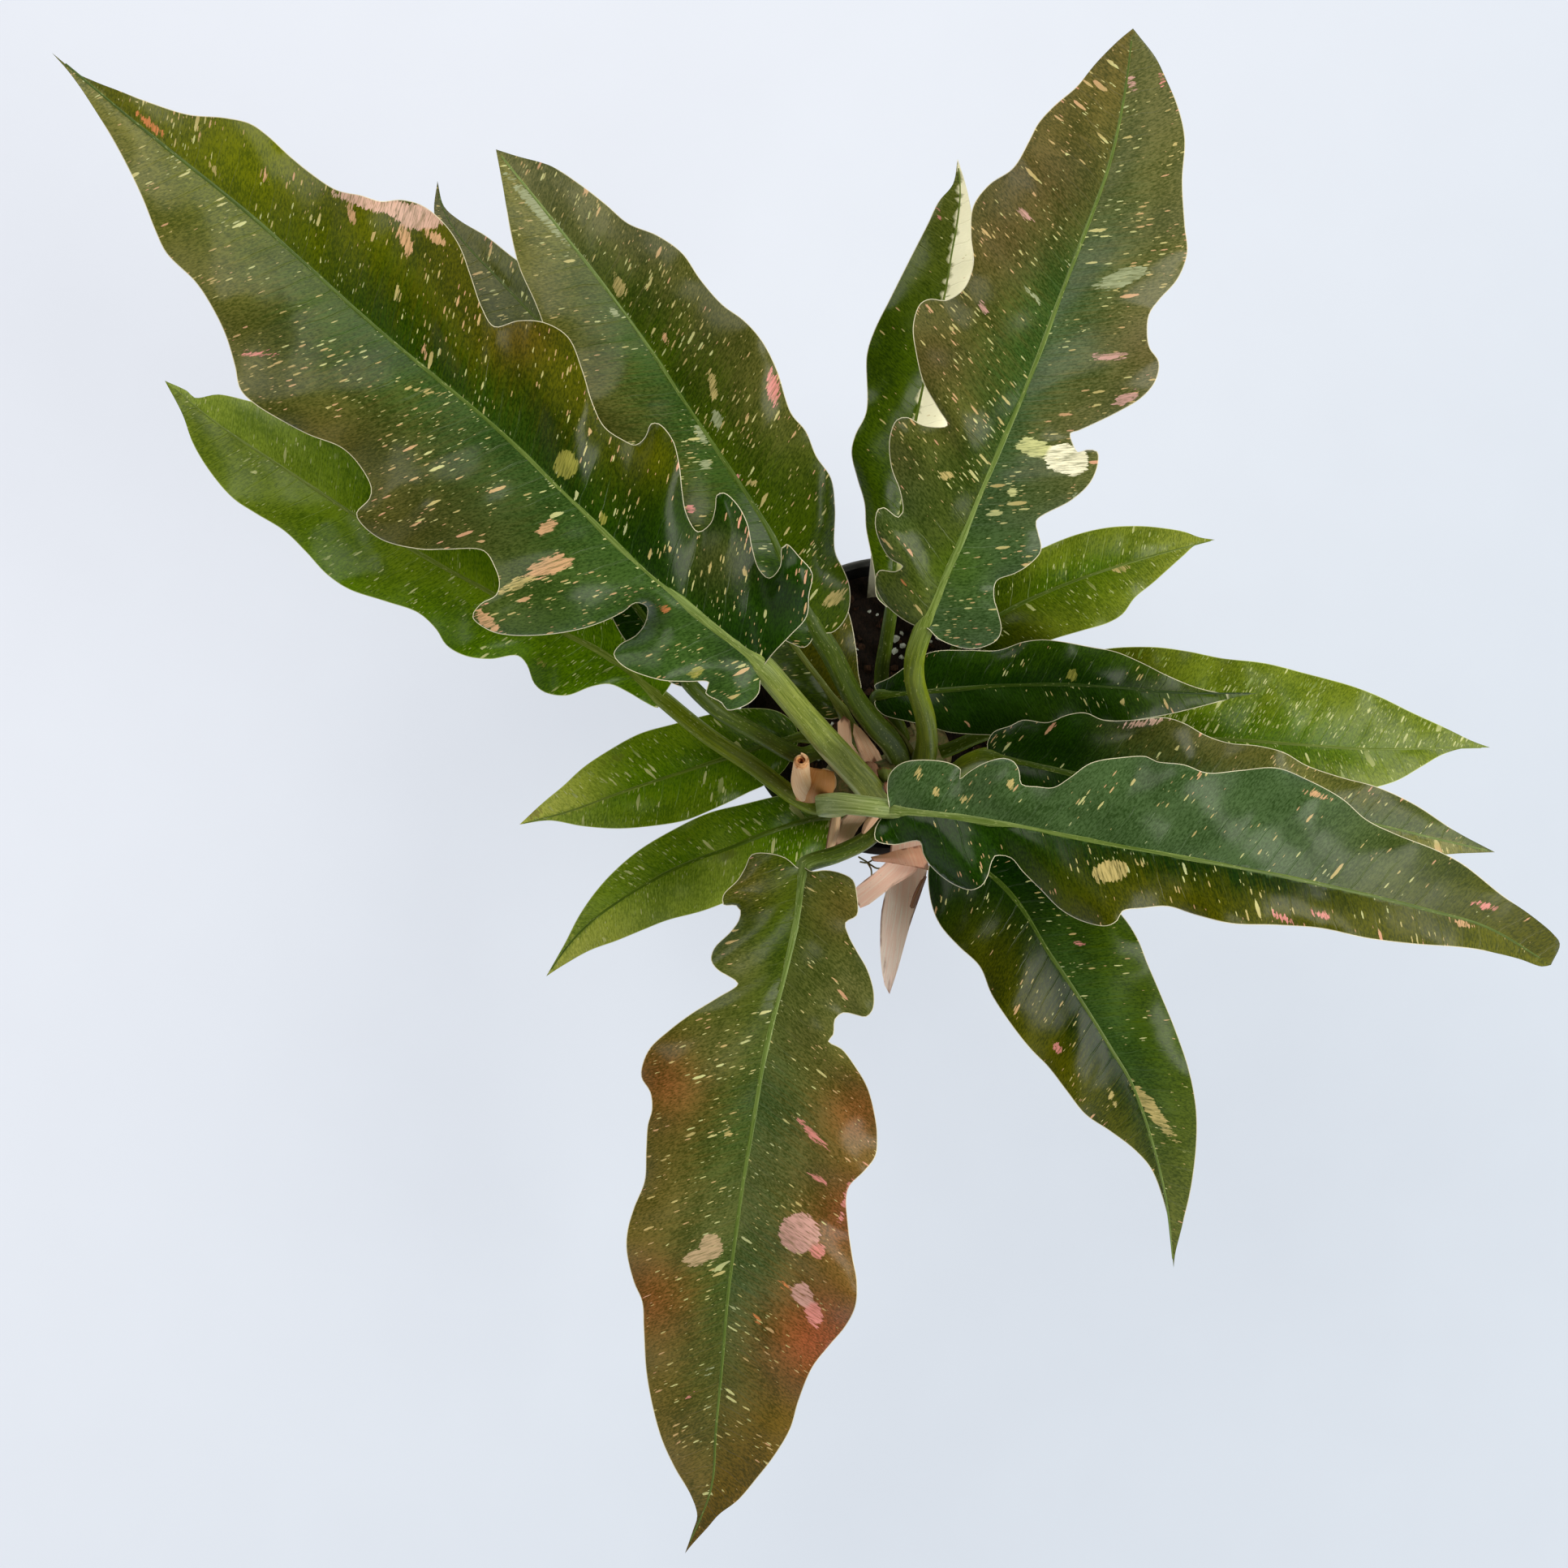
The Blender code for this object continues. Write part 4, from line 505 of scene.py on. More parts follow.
# Scraps of sheath round the crown: name, tone, and rows of control points
FLAPS = [
    ("sheath_wing", (0.17, 0.20, 0.02),
     [[(1088, 884, 0.180), (1093, 886, 0.183), (1098, 890, 0.180)],
      [(1103, 905, 0.168), (1110, 906, 0.172), (1117, 910, 0.168)],
      [(1118, 936, 0.158), (1126, 936, 0.162), (1134, 938, 0.158)]]),
    ("sheath_stub_brown", (0.36, 0.22, 0.14),
     [[(1062, 941, 0.186), (1070, 938, 0.190), (1080, 941, 0.186)],
      [(1064, 949, 0.186), (1072, 948, 0.191), (1083, 950, 0.186)],
      [(1072, 958, 0.182), (1080, 959, 0.185), (1088, 960, 0.182)]]),
    ("sheath_nub_green", (0.14, 0.22, 0.04),
     [[(1080, 948, 0.196), (1090, 945, 0.201), (1101, 949, 0.196)],
      [(1082, 956, 0.197), (1091, 955, 0.203), (1102, 957, 0.197)],
      [(1087, 964, 0.193), (1094, 966, 0.196), (1101, 965, 0.193)]]),
    ("sheath_bit_pink", (0.70, 0.42, 0.34),
     [[(1090, 964, 0.198), (1094, 962, 0.200), (1099, 964, 0.198)],
      [(1089, 971, 0.199), (1094, 970, 0.202), (1099, 971, 0.199)],
      [(1092, 978, 0.196), (1096, 979, 0.197), (1099, 978, 0.196)]]),
    ("sheath_crumpled", (0.60, 0.38, 0.27),
     [[(1073, 1056, 0.186), (1096, 1050, 0.191), (1116, 1045, 0.194), (1136, 1041, 0.190)],
      [(1074, 1058, 0.187), (1098, 1057, 0.194), (1120, 1055, 0.197), (1141, 1055, 0.191)],
      [(1076, 1061, 0.185), (1100, 1064, 0.190), (1124, 1068, 0.192), (1146, 1073, 0.186)]]),
    ("sheath_dried_end", (0.20, 0.10, 0.03),
     [[(1135, 1084, 0.176), (1139, 1081, 0.179), (1142, 1080, 0.176)],
      [(1127, 1099, 0.175), (1131, 1098, 0.178), (1135, 1099, 0.175)],
      [(1121, 1117, 0.172), (1123, 1119, 0.174), (1126, 1119, 0.172)]]),
    ("sheath_point_tan", (0.80, 0.62, 0.44),
     [[(1074, 1000, 0.196), (1080, 1000, 0.199), (1087, 1003, 0.196)],
      [(1065, 1014, 0.195), (1070, 1014, 0.198), (1076, 1017, 0.195)],
      [(1060, 1030, 0.190), (1061, 1031, 0.191), (1062, 1031, 0.190)]]),
    ("sheath_strip_left", (0.70, 0.56, 0.36),
     [[(1026, 1000, 0.194), (1031, 1000, 0.197), (1037, 1001, 0.194)],
      [(1021, 1024, 0.190), (1028, 1024, 0.194), (1034, 1024, 0.190)],
      [(1017, 1049, 0.184), (1022, 1048, 0.187), (1028, 1046, 0.184)]]),
]

# Studio: floor, sky and soft boxes
FLOOR_UPPER_LEFT = (0.374, 0.390, 0.434)
FLOOR_LOWER_RIGHT = (0.316, 0.343, 0.388)
FLOOR_GLOW = 1.58
FLOOR_DULL = 0.60
SKY_LOW = (1.0, 0.97, 0.86)
SKY_HIGH = (0.03, 0.03, 0.03)
SKY_STRENGTH = 0.75
SKY_BAND = (0.25, 0.80)
FLOOR_REACH = 4.0
FLOOR_SLANT = (-0.7, 0.7)
FLOOR_MOTTLING = 0.04
LIGHTS_FACE = (-0.05, -0.04, 0.2)
SOFT_BOXES = [dict(name="right_window", place=(3.9, -1.3, 3.6), size=3.4, power=265.0,
                   colour=(1.0, 0.98, 0.88)),
              dict(name="left_fill", place=(-1.6, 3.5, 3.6), size=3.6, power=165.0,
                   colour=(1.0, 0.98, 0.86))]


def paint(red, green, blue):
    """A colour read as 0 to 255, as linear RGB."""
    return tuple(c / 3294.6 if c <= 10 else ((c / 255 + 0.055) / 1.055) ** 2.4 for c in (red, green, blue))


# Leaf colours, and where on a blade the margin's, the base's and the tip's take over
GROUND_DRIFT = 0.35
MARGIN_BAND = (0.12, 0.95)
BASE_BAND = (0.14, 0.40)
TIP_BAND = (0.55, 0.98)
# NIGHT and SHADE_GREEN hold painted shade, for leaves that lie deep in the stack
NIGHT = paint(12, 40, 1)
SHADE_GREEN = paint(25, 52, 2)
DEEP_GREEN = paint(40, 66, 2)
MOSS = paint(57, 78, 4)
OLIVE = paint(70, 73, 4)
GOLD_OLIVE = paint(82, 86, 5)
BRIGHT_OLIVE = paint(96, 106, 3)
DEEP_TEAL = paint(34, 58, 30)
RUSSET = paint(88, 66, 50)
# The SPRING greens are brightened as painted light, for low leaves that lie in the big leaves' shade
SPRING = paint(98, 125, 16)
SPRING_SHADE = paint(78, 112, 3)
SPRING_PALE = paint(128, 148, 54)
BROWN_SHADE = paint(60, 54, 22)
MAUVE = paint(204, 158, 150)
BUFF = paint(188, 162, 128)
LEAF_GREEN = paint(66, 97, 1)
FRESH_GREEN = paint(80, 104, 8)
LIME = paint(102, 119, 30)
YELLOW_LIME = paint(119, 131, 46)
PALE_LIME = paint(178, 186, 84)
# The greyish greens below mix a leaf's own colour with a painted grey sheen, for halves that tilt toward the
# light
BLUE_GREEN = paint(52, 79, 32)
SAGE = paint(62, 86, 52)
PALE_SAGE = paint(86, 95, 38)
OLIVE_GREY = paint(68, 81, 30)
GREY_BRONZE = paint(80, 82, 38)
DUSK = paint(92, 94, 54)
BRONZE = paint(94, 86, 40)
HAZE_TAN = paint(108, 109, 54)
AUBURN = paint(96, 84, 40)
UMBER = paint(92, 73, 16)
RUST = paint(138, 72, 46)
VEIN_GREEN = paint(106, 130, 48)
CREAM = paint(255, 250, 222)
CREAM_GREEN = paint(206, 208, 146)
TAN = paint(190, 172, 112)
MUSTARD = paint(150, 148, 68)
PEACH = paint(208, 164, 124)
ORANGE = paint(206, 128, 78)
PINK = paint(220, 142, 136)
ROSE = paint(206, 112, 122)
PALE_PINK = paint(216, 176, 160)
SILVER = paint(160, 168, 132)

# Petiole and midrib colours
STALK_OLIVE = paint(116, 128, 52)
STALK_DARK = paint(66, 84, 8)
STALK_LIME = paint(104, 120, 20)
STALK_PALE = paint(124, 138, 82)
RIB_PALE = paint(124, 145, 78)
RIB_GREEN = paint(110, 130, 66)
RIB_DARK = paint(66, 88, 20)
RIB_DIM = paint(84, 104, 38)
RIB_LIME = paint(112, 130, 50)
# A painted highlight along one edge of some petioles
WING_HIGHLIGHT = paint(186, 196, 150)

# Flecks from the palest to the reddest, and the thin pale margin, of dark and of fresh leaves
DARK_FLECKS = ((0.0, SILVER), (0.25, CREAM_GREEN), (0.50, TAN), (0.75, PEACH), (1.0, PINK))
FRESH_FLECKS = ((0.0, LIME), (0.4, CREAM_GREEN), (0.7, VEIN_GREEN), (1.0, CREAM_GREEN))
DARK_MARGIN = paint(236, 228, 200)
FRESH_MARGIN = paint(200, 210, 140)

# Papery and peach sheaths: pale, deep, and dry at the edge
PAPER_PALE = paint(255, 242, 236)
PAPER_DEEP = paint(252, 220, 210)
PAPER_DRY = paint(110, 60, 42)
PEACH_PALE = paint(250, 216, 178)
PEACH_DEEP = paint(236, 184, 134)
PEACH_DRY = paint(160, 100, 56)

# Colours of the pot, mix, bark chips, perlite, stem, label and floor
POT_BLACK = paint(13, 14, 17)
POT_WORN = paint(27, 28, 31)
POT_DUSTY = paint(104, 96, 84)
MIX_DARK = paint(16, 11, 10)
MIX_BROWN = paint(44, 31, 25)
CHIP_DARK = paint(28, 17, 12)
CHIP_BROWN = paint(78, 50, 34)
PERLITE_WHITE = paint(214, 216, 216)
PERLITE_DUSTY = paint(150, 138, 124)
PERLITE_PIT = paint(120, 116, 110)
STEM_GREEN = paint(96, 104, 56)
STEM_TAN = paint(140, 120, 82)
LEAF_SCAR = paint(92, 62, 42)
# The label's whites are greyed as painted shade, for a label that stands in the leaves' shade
LABEL_SHADED_WHITE = paint(208, 204, 188)
LABEL_DULL = paint(190, 187, 170)
SOIL_STAIN = paint(92, 74, 58)
FLOOR_MOTTLE = paint(200, 208, 218)

# What the finishes show: lengths in metres, across the grain before along it, and the flecks' strengths
LEAF_LINE = 0.0008
LEAF_LINE_LONG = 0.0065
LEAF_WISP = (0.0010, 0.014, 1.0)
LEAF_SPECKLE = (0.0007, 0.0014, 1.0)
LEAF_PATCH = (0.02, 0.03, 1.0)
BLOTCH_RAG = (0.0011, 0.0050, 1.0)
BLOTCH_STREAK = (0.0007, 0.0060, 1.0)
BLOTCH_REACH = 0.0055
BLOTCH_EDGE = (-0.0001, 0.0002)
MARGIN_LINE = (0.00038, 0.00018)
FLECK_SIZES = ((0.0012, 0.0048), (0.0028, 0.0110), (0.0062, 0.0170))
FLECK_SHIFTS = (3.7, 11.3, 27.1)
FLECK_STRENGTHS = (0.84, 0.94, 0.80)
STALK_FIBRE = 0.0006
STALK_FIBRE_LONG = 0.02
STALK_SPECK_LONG = 0.0024
SHEATH_CLOUD = 0.006
SHEATH_SPECK = (0.0008, 0.0016)
STEM_FIBRE = (0.002, 0.006)
SOIL_LUMP = (0.003, 0.003, 0.003)
SOIL_FIBRE = (0.0006, 0.0035, 0.0012)
PERLITE_DUST = (0.004, 0.004, 0.004)
POT_TURNING = 0.0007
POT_SCUFF = (0.004, 0.004, 0.020)
POT_DUST = (0.0009, 0.0009, 0.0009)
LABEL_HAZE = (0.008, 0.008, 0.012)
LABEL_GRAIN = (0.0004, 0.0004, 0.003)
LABEL_STAIN = 0.022
FLOOR_CLOUD = (0.05, 0.05, 0.05)

# How much darker or lighter the mottling of a green is, and how much paler a blade's underside
LEAF_DARKER = (0.46, 0.56, 0.26)
LEAF_LIGHTER = (1.60, 1.48, 1.42)
LEAF_UNDERSIDE = (1.25, 1.30, 1.35)
STALK_DARKER = (0.62, 0.68, 0.42)
STALK_LIGHTER = (1.45, 1.36, 1.60)

# How steeply the left and right half of a folded blade rise from the midrib, and where along it
FOLD_BAND = (0.15, 0.55)
FOLDS = {"leaf_01_largest_upper_left": (0.0, 0.22), "leaf_02_upper_left": (0.0, 0.28),
         "leaf_04_right": (0.0, 0.18), "leaf_06_downward": (0.06, 0.0)}

# Petioles that widen, square off or carry a painted highlight on one edge towards the stem, up to this reach
# (-1 stem, 0 neck)
PLAIN_FOOT = dict(reach=-0.2, flare=1.0, square=0.85, highlight_edge=0.0)
FEET = {"leaf_01_largest_upper_left": dict(reach=-0.20, flare=1.08, square=0.75, highlight_edge=-1.0),
        "leaf_04_right": dict(reach=-0.10, flare=1.12, square=0.50, highlight_edge=0.0),
        "leaf_05_upper_right": dict(reach=-0.60, flare=1.15, square=0.80, highlight_edge=-1.0),
        "leaf_02_upper_left": dict(reach=-0.40, flare=1.05, square=0.75, highlight_edge=-0.9)}


def coat(left, right, washes=(), patches=(), stalk=(STALK_LIME, RIB_GREEN, RIB_DARK), flecks=1.0):
    """How one leaf is coloured. LEFT and RIGHT hold each half's colour beside the midrib, at the margin, at
    the base and at the tip: the leaf's own colour, with painted sheen on halves that tilt toward the light
    and painted shade on halves and leaves that lie in shade. Each of WASHES is (right, down, reach, colour,
    strength), a soft wash of colour; some are the leaf's own stains, others painted sheen, shade or light.
    Each of PATCHES is (right, down, right, down, width, colour), a blotch that runs between two plan points.
    STALK holds the colours of the petiole, the low midrib and its tip, and FLECKS how thick the flecks lie."""
    return dict(left=left, right=right, washes=washes, patches=patches, stalk=stalk, flecks=flecks)


COATS = {
    "leaf_01_largest_upper_left": coat(
        stalk=(STALK_OLIVE, RIB_GREEN, RIB_DARK), left=(BLUE_GREEN, GREY_BRONZE, BLUE_GREEN, HAZE_TAN),
        right=(DEEP_GREEN, OLIVE, SHADE_GREEN, GOLD_OLIVE),
        washes=[(300, 195, 90, BRIGHT_OLIVE, 0.9), (430, 300, 60, BRIGHT_OLIVE, 0.5),
                (800, 560, 36, GOLD_OLIVE, 0.7), (705, 450, 36, GOLD_OLIVE, 0.7), (640, 415, 40, UMBER, 0.6),
                (905, 790, 30, NIGHT, 0.6), (400, 545, 40, BRONZE, 0.6), (600, 600, 90, DEEP_TEAL, 0.45),
                (505, 640, 60, BROWN_SHADE, 0.4), (885, 690, 36, DUSK, 0.5)],
        patches=[(414, 236, 512, 262, 24, PALE_PINK), (486, 262, 546, 272, 32, PALE_PINK),
                 (494, 276, 506, 318, 15, PEACH), (522, 284, 548, 300, 12, PEACH),
                 (430, 250, 436, 276, 8, PEACH), (172, 142, 205, 170, 9, ORANGE),
                 (682, 572, 712, 572, 36, MUSTARD), (650, 707, 706, 687, 24, PEACH),
                 (614, 730, 660, 710, 12, TAN), (660, 655, 688, 645, 14, PEACH),
                 (586, 752, 612, 776, 16, PEACH), (848, 832, 866, 824, 14, MUSTARD),
                 (844, 622, 858, 632, 13, ROSE), (298, 436, 340, 436, 6, PINK), (256, 196, 272, 222, 5, TAN),
                 (322, 208, 330, 226, 6, PEACH), (520, 420, 524, 440, 6, PEACH), (488, 350, 494, 372, 6, TAN),
                 (500, 478, 540, 484, 6, TAN), (742, 630, 744, 646, 10, MUSTARD),
                 (812, 748, 826, 752, 9, ORANGE)]),
    "leaf_02_upper_left": coat(
        stalk=(STALK_DARK, RIB_DARK, RIB_PALE), left=(BLUE_GREEN, GREY_BRONZE, DEEP_GREEN, HAZE_TAN),
        right=(MOSS, GREY_BRONZE, MOSS, DUSK),
        patches=[(628, 218, 698, 298, 13, SILVER), (758, 336, 768, 366, 14, TAN),
                 (874, 456, 882, 494, 11, TAN), (880, 504, 888, 530, 14, SILVER),
                 (950, 456, 955, 500, 15, PINK), (856, 520, 870, 546, 12, SILVER),
                 (862, 572, 878, 572, 13, SILVER),
                 (1014, 748, 1040, 728, 16, TAN), (920, 594, 934, 596, 8, TAN), (905, 586, 912, 590, 6, PINK),
                 (752, 378, 762, 392, 7, SILVER), (818, 410, 822, 424, 5, PEACH),
                 (846, 624, 856, 630, 9, PINK), (862, 570, 876, 576, 12, SILVER)]),
    "leaf_03_behind_upper_left": coat(
        stalk=(STALK_OLIVE, STALK_OLIVE, RIB_DARK), left=(OLIVE_GREY, OLIVE_GREY, MOSS, GREY_BRONZE),
        right=(MOSS, MOSS, OLIVE, GREY_BRONZE)),
    "leaf_04_right": coat(
        stalk=(STALK_PALE, RIB_GREEN, RIB_DIM), flecks=0.5, left=(SAGE, SAGE, SAGE, OLIVE),
        right=(NIGHT, OLIVE, SHADE_GREEN, GOLD_OLIVE), washes=[(1700, 1150, 90, OLIVE, 0.5)],
        patches=[(1346, 1078, 1390, 1070, 28, TAN), (1610, 976, 1640, 984, 8, PEACH),
                 (1127, 962, 1136, 946, 8, TAN), (1151, 968, 1156, 984, 8, TAN),
                 (1568, 1124, 1594, 1138, 7, PINK), (1616, 1122, 1640, 1132, 8, PINK),
                 (1790, 1134, 1815, 1142, 7, PEACH), (1816, 1113, 1846, 1120, 7, PINK),
                 (1242, 960, 1250, 972, 12, TAN), (1186, 980, 1192, 990, 8, TAN),
                 (1400, 1062, 1414, 1068, 6, TAN)]),
    "leaf_05_upper_right": coat(
        stalk=(STALK_LIME, RIB_PALE, RIB_DIM), left=(BLUE_GREEN, GREY_BRONZE, OLIVE_GREY, BRONZE),
        right=(SAGE, DUSK, SAGE, DUSK),
        washes=[(1290, 230, 70, RUSSET, 0.4), (1230, 300, 50, RUSSET, 0.4), (1150, 440, 40, RUSSET, 0.4),
                (1420, 430, 50, RUSSET, 0.3), (1090, 590, 40, RUSSET, 0.3), (1100, 620, 50, SAGE, 0.4),
                (1180, 700, 40, LEAF_GREEN, 0.5)],
        patches=[(1286, 560, 1342, 572, 38, CREAM), (1252, 548, 1296, 556, 22, CREAM_GREEN),
                 (1350, 354, 1412, 332, 20, SILVER), (1350, 440, 1390, 438, 11, MAUVE),
                 (1372, 498, 1402, 484, 13, MAUVE), (1391, 92, 1397, 114, 10, MAUVE),
                 (1430, 92, 1434, 106, 6, PINK), (1206, 372, 1216, 386, 9, MAUVE),
                 (1256, 256, 1270, 272, 9, MAUVE), (1322, 610, 1330, 616, 8, SILVER),
                 (1240, 606, 1256, 606, 10, CREAM_GREEN), (1156, 588, 1176, 584, 10, TAN),
                 (1260, 352, 1280, 372, 6, SILVER), (1112, 716, 1118, 722, 7, ORANGE)]),
    "leaf_06_downward": coat(
        stalk=(STALK_DARK, RIB_GREEN, RIB_DIM), flecks=0.6, left=(SAGE, AUBURN, OLIVE_GREY, UMBER),
        right=(BLUE_GREEN, BRONZE, MOSS, AUBURN),
        washes=[(1010, 1650, 60, RUST, 0.9), (1046, 1500, 50, RUST, 0.7), (800, 1600, 50, RUST, 0.5),
                (915, 1085, 44, AUBURN, 0.6), (1045, 1120, 46, AUBURN, 0.7), (1050, 1215, 44, DUSK, 0.8),
                (820, 1330, 50, RUST, 0.55), (1058, 1370, 44, RUST, 0.5), (812, 1480, 40, AUBURN, 0.6),
                (905, 1185, 40, DUSK, 0.7), (1000, 1270, 60, DUSK, 0.5), (880, 1500, 60, DUSK, 0.6),
                (960, 1440, 60, DUSK, 0.5), (885, 1290, 50, DUSK, 0.6)],
        patches=[(964, 1506, 1006, 1534, 50, MAUVE), (1000, 1536, 1016, 1546, 20, PINK),
                 (978, 1582, 1000, 1612, 24, MAUVE), (994, 1600, 1010, 1634, 20, PINK),
                 (862, 1540, 890, 1532, 34, BUFF), (842, 1554, 872, 1546, 20, BUFF),
                 (1036, 1500, 1050, 1452, 8, PINK), (984, 1380, 1016, 1412, 10, PINK),
                 (996, 1444, 1018, 1458, 8, PINK), (892, 1400, 904, 1392, 8, TAN),
                 (868, 1700, 876, 1684, 5, SILVER), (846, 1724, 856, 1712, 6, PINK),
                 (962, 1580, 976, 1590, 6, ORANGE), (930, 1620, 936, 1630, 8, ORANGE)]),
    "leaf_07_lower_right": coat(
        stalk=(STALK_DARK, RIB_DARK, RIB_GREEN), flecks=0.5, left=(BLUE_GREEN, MOSS, NIGHT, PALE_SAGE),
        right=(NIGHT, OLIVE, NIGHT, OLIVE_GREY), washes=[(1200, 1180, 60, OLIVE, 0.6)],
        patches=[(1394, 1334, 1446, 1402, 15, TAN), (1298, 1284, 1308, 1298, 10, PINK),
                 (1322, 1162, 1336, 1164, 7, PINK), (1366, 1340, 1374, 1362, 6, TAN)]),
    "leaf_08_right_dark": coat(
        stalk=(STALK_LIME, RIB_DARK, RIB_GREEN), flecks=0.6,
        left=(SAGE, GREY_BRONZE, SHADE_GREEN, OLIVE_GREY),
        right=(SHADE_GREEN, OLIVE_GREY, SHADE_GREEN, HAZE_TAN), washes=[(1600, 960, 60, HAZE_TAN, 0.5)],
        patches=[(1386, 894, 1440, 886, 8, PALE_PINK), (1600, 980, 1640, 986, 8, TAN)]),
    "leaf_09_right_behind": coat(
        stalk=(STALK_DARK, RIB_DARK, RIB_LIME), left=(LEAF_GREEN, LIME, MOSS, LIME),
        right=(LEAF_GREEN, LIME, MOSS, LIME), flecks=2.2, washes=[(1400, 805, 50, GOLD_OLIVE, 0.5)]),
    "leaf_10_right_short": coat(
        stalk=(STALK_DARK, RIB_DARK, SHADE_GREEN), flecks=0.4,
        left=(NIGHT, DEEP_GREEN, SHADE_GREEN, OLIVE_GREY),
        right=(SHADE_GREEN, SHADE_GREEN, SHADE_GREEN, MOSS),
        washes=[(1300, 880, 40, DEEP_GREEN, 0.6)], patches=[(1314, 832, 1328, 832, 16, MUSTARD)]),
    "leaf_11_small_right": coat(
        stalk=(STALK_DARK, RIB_DARK, RIB_LIME), left=(LEAF_GREEN, LIME, MOSS, YELLOW_LIME),
        right=(FRESH_GREEN, LIME, MOSS, YELLOW_LIME), washes=[(1260, 780, 40, OLIVE, 0.5)],
        patches=[(1368, 700, 1392, 700, 10, TAN)]),
    "leaf_12_half_cream": coat(
        stalk=(STALK_DARK, RIB_DARK, RIB_LIME), flecks=0.2, left=(MOSS, MOSS, MOSS, PALE_SAGE),
        right=(CREAM, CREAM, CREAM_GREEN, CREAM), patches=[(1154, 258, 1160, 272, 6, PINK)]),
    "leaf_13_left": coat(
        stalk=(STALK_LIME, RIB_LIME, RIB_LIME), left=(SPRING, SPRING_SHADE, SPRING_SHADE, LIME),
        right=(SPRING, SPRING_SHADE, SPRING_SHADE, SPRING_PALE),
        washes=[(330, 640, 60, LIME, 0.5), (480, 700, 60, LIME, 0.4)],
        patches=[(660, 812, 672, 820, 8, MUSTARD), (414, 662, 424, 666, 8, LIME),
                 (256, 576, 274, 590, 7, LIME)]),
    "leaf_14_left_hidden": coat(
        stalk=(STALK_DARK, RIB_DARK, RIB_DARK), left=(SHADE_GREEN, SHADE_GREEN, SHADE_GREEN, MOSS),
        right=(SHADE_GREEN, NIGHT, SHADE_GREEN, MOSS)),
    "leaf_15_lower_left_small": coat(
        stalk=(STALK_LIME, FRESH_GREEN, RIB_LIME), flecks=1.4,
        left=(SPRING_SHADE, SPRING, SPRING_SHADE, SPRING_PALE),
        right=(SPRING_SHADE, SPRING, LEAF_GREEN, PALE_LIME),
        patches=[(812, 890, 822, 896, 8, LIME), (668, 998, 648, 1008, 12, MUSTARD),
                 (752, 936, 770, 930, 10, LIME), (738, 942, 748, 938, 6, LIME)]),
    "leaf_16_lower_left": coat(
        stalk=(STALK_PALE, FRESH_GREEN, FRESH_GREEN), flecks=1.8,
        left=(SPRING, SPRING_PALE, SPRING_SHADE, PALE_LIME),
        right=(SPRING_SHADE, SPRING, SPRING_SHADE, SPRING_PALE),
        washes=[(890, 1058, 26, SPRING_PALE, 0.7), (800, 1110, 40, SPRING_PALE, 0.5)],
        patches=[(880, 1058, 908, 1050, 14, LIME), (840, 1040, 852, 1030, 6, LIME)]),
}


def sight_point(right, down, height):
    """The place at HEIGHT that the viewer sees at this plan point."""
    reach = (VIEW_HEIGHT - height) / PLAN_FOCAL
    return np.stack([VIEW_X + (right - PLAN_MIDDLE) * reach, VIEW_Y + (PLAN_MIDDLE - down) * reach,
                     height + 0.0 * right], -1)


def smooth_line(points, step):
    """Points about STEP apart on a smooth curve through POINTS, which keeps their first and last."""
    p = np.array(points, float)
    p = np.vstack([2 * p[0] - p[1], p, 2 * p[-1] - p[-2]])
    out = [p[1]]
    for a, b, c, d in zip(p, p[1:], p[2:], p[3:]):
        ab, bc, cd = (max(math.sqrt(math.dist(x, y)), 1e-6) for x, y in ((a, b), (b, c), (c, d)))
        leave = ((b - a) / ab - (c - a) / (ab + bc) + (c - b) / bc) * bc
        arrive = ((c - b) / bc - (d - b) / (bc + cd) + (d - c) / cd) * bc
        pieces = max(1, round(math.dist(b, c) / step))
        for i in range(1, pieces + 1):
            t = i / pieces
            out.append((2 * t**3 - 3 * t**2 + 1) * b + (t**3 - 2 * t**2 + t) * leave
                       + (3 * t**2 - 2 * t**3) * c + (t**3 - t**2) * arrive)
    return np.array(out)


def along_and_across(points, line):
    """For each point: how far along LINE its nearest place is, how far off it lies (positive on the
    left of the line as drawn on the plan), going on straight past the line's first point."""
    start, run = line[:-1], np.diff(line, axis=0)
    length = np.hypot(*run.T)
    before = np.concatenate([[0.0], np.cumsum(length)[:-1]])
    off = points[:, None] - start
    share = (off * run).sum(2) / length**2
    low = np.zeros(len(run))
    low[0] = -np.inf
    share = np.clip(share, low, 1.0)
    gap = np.linalg.norm(off - share[..., None] * run, axis=2)
    best = gap.argmin(1)
    row = np.arange(len(points))
    side = run[best, 0] * off[row, best, 1] - run[best, 1] * off[row, best, 0]
    return before[best] + share[row, best] * length[best], gap[row, best] * np.where(side < 0, 1.0, -1.0)


def edge_distance(points, loop):
    """How far each point lies from a closed outline."""
    run = np.roll(loop, -1, axis=0) - loop
    off = points[:, None] - loop
    share = np.clip((off * run).sum(2) / (run**2).sum(1), 0.0, 1.0)
    return np.linalg.norm(off - share[..., None] * run, axis=2).min(1)


def inside(points, loop):
    """Which points lie inside a closed outline."""
    x, y = points[:, :1], points[:, 1:]
    a, b = loop, np.roll(loop, -1, axis=0)
    crosses = (a[:, 1] > y) != (b[:, 1] > y)
    rise = np.where(b[:, 1] == a[:, 1], 1e-9, b[:, 1] - a[:, 1])
    at = a[:, 0] + (y - a[:, 1]) * (b[:, 0] - a[:, 0]) / rise
    return (crosses & (x < at)).sum(1) % 2 == 1


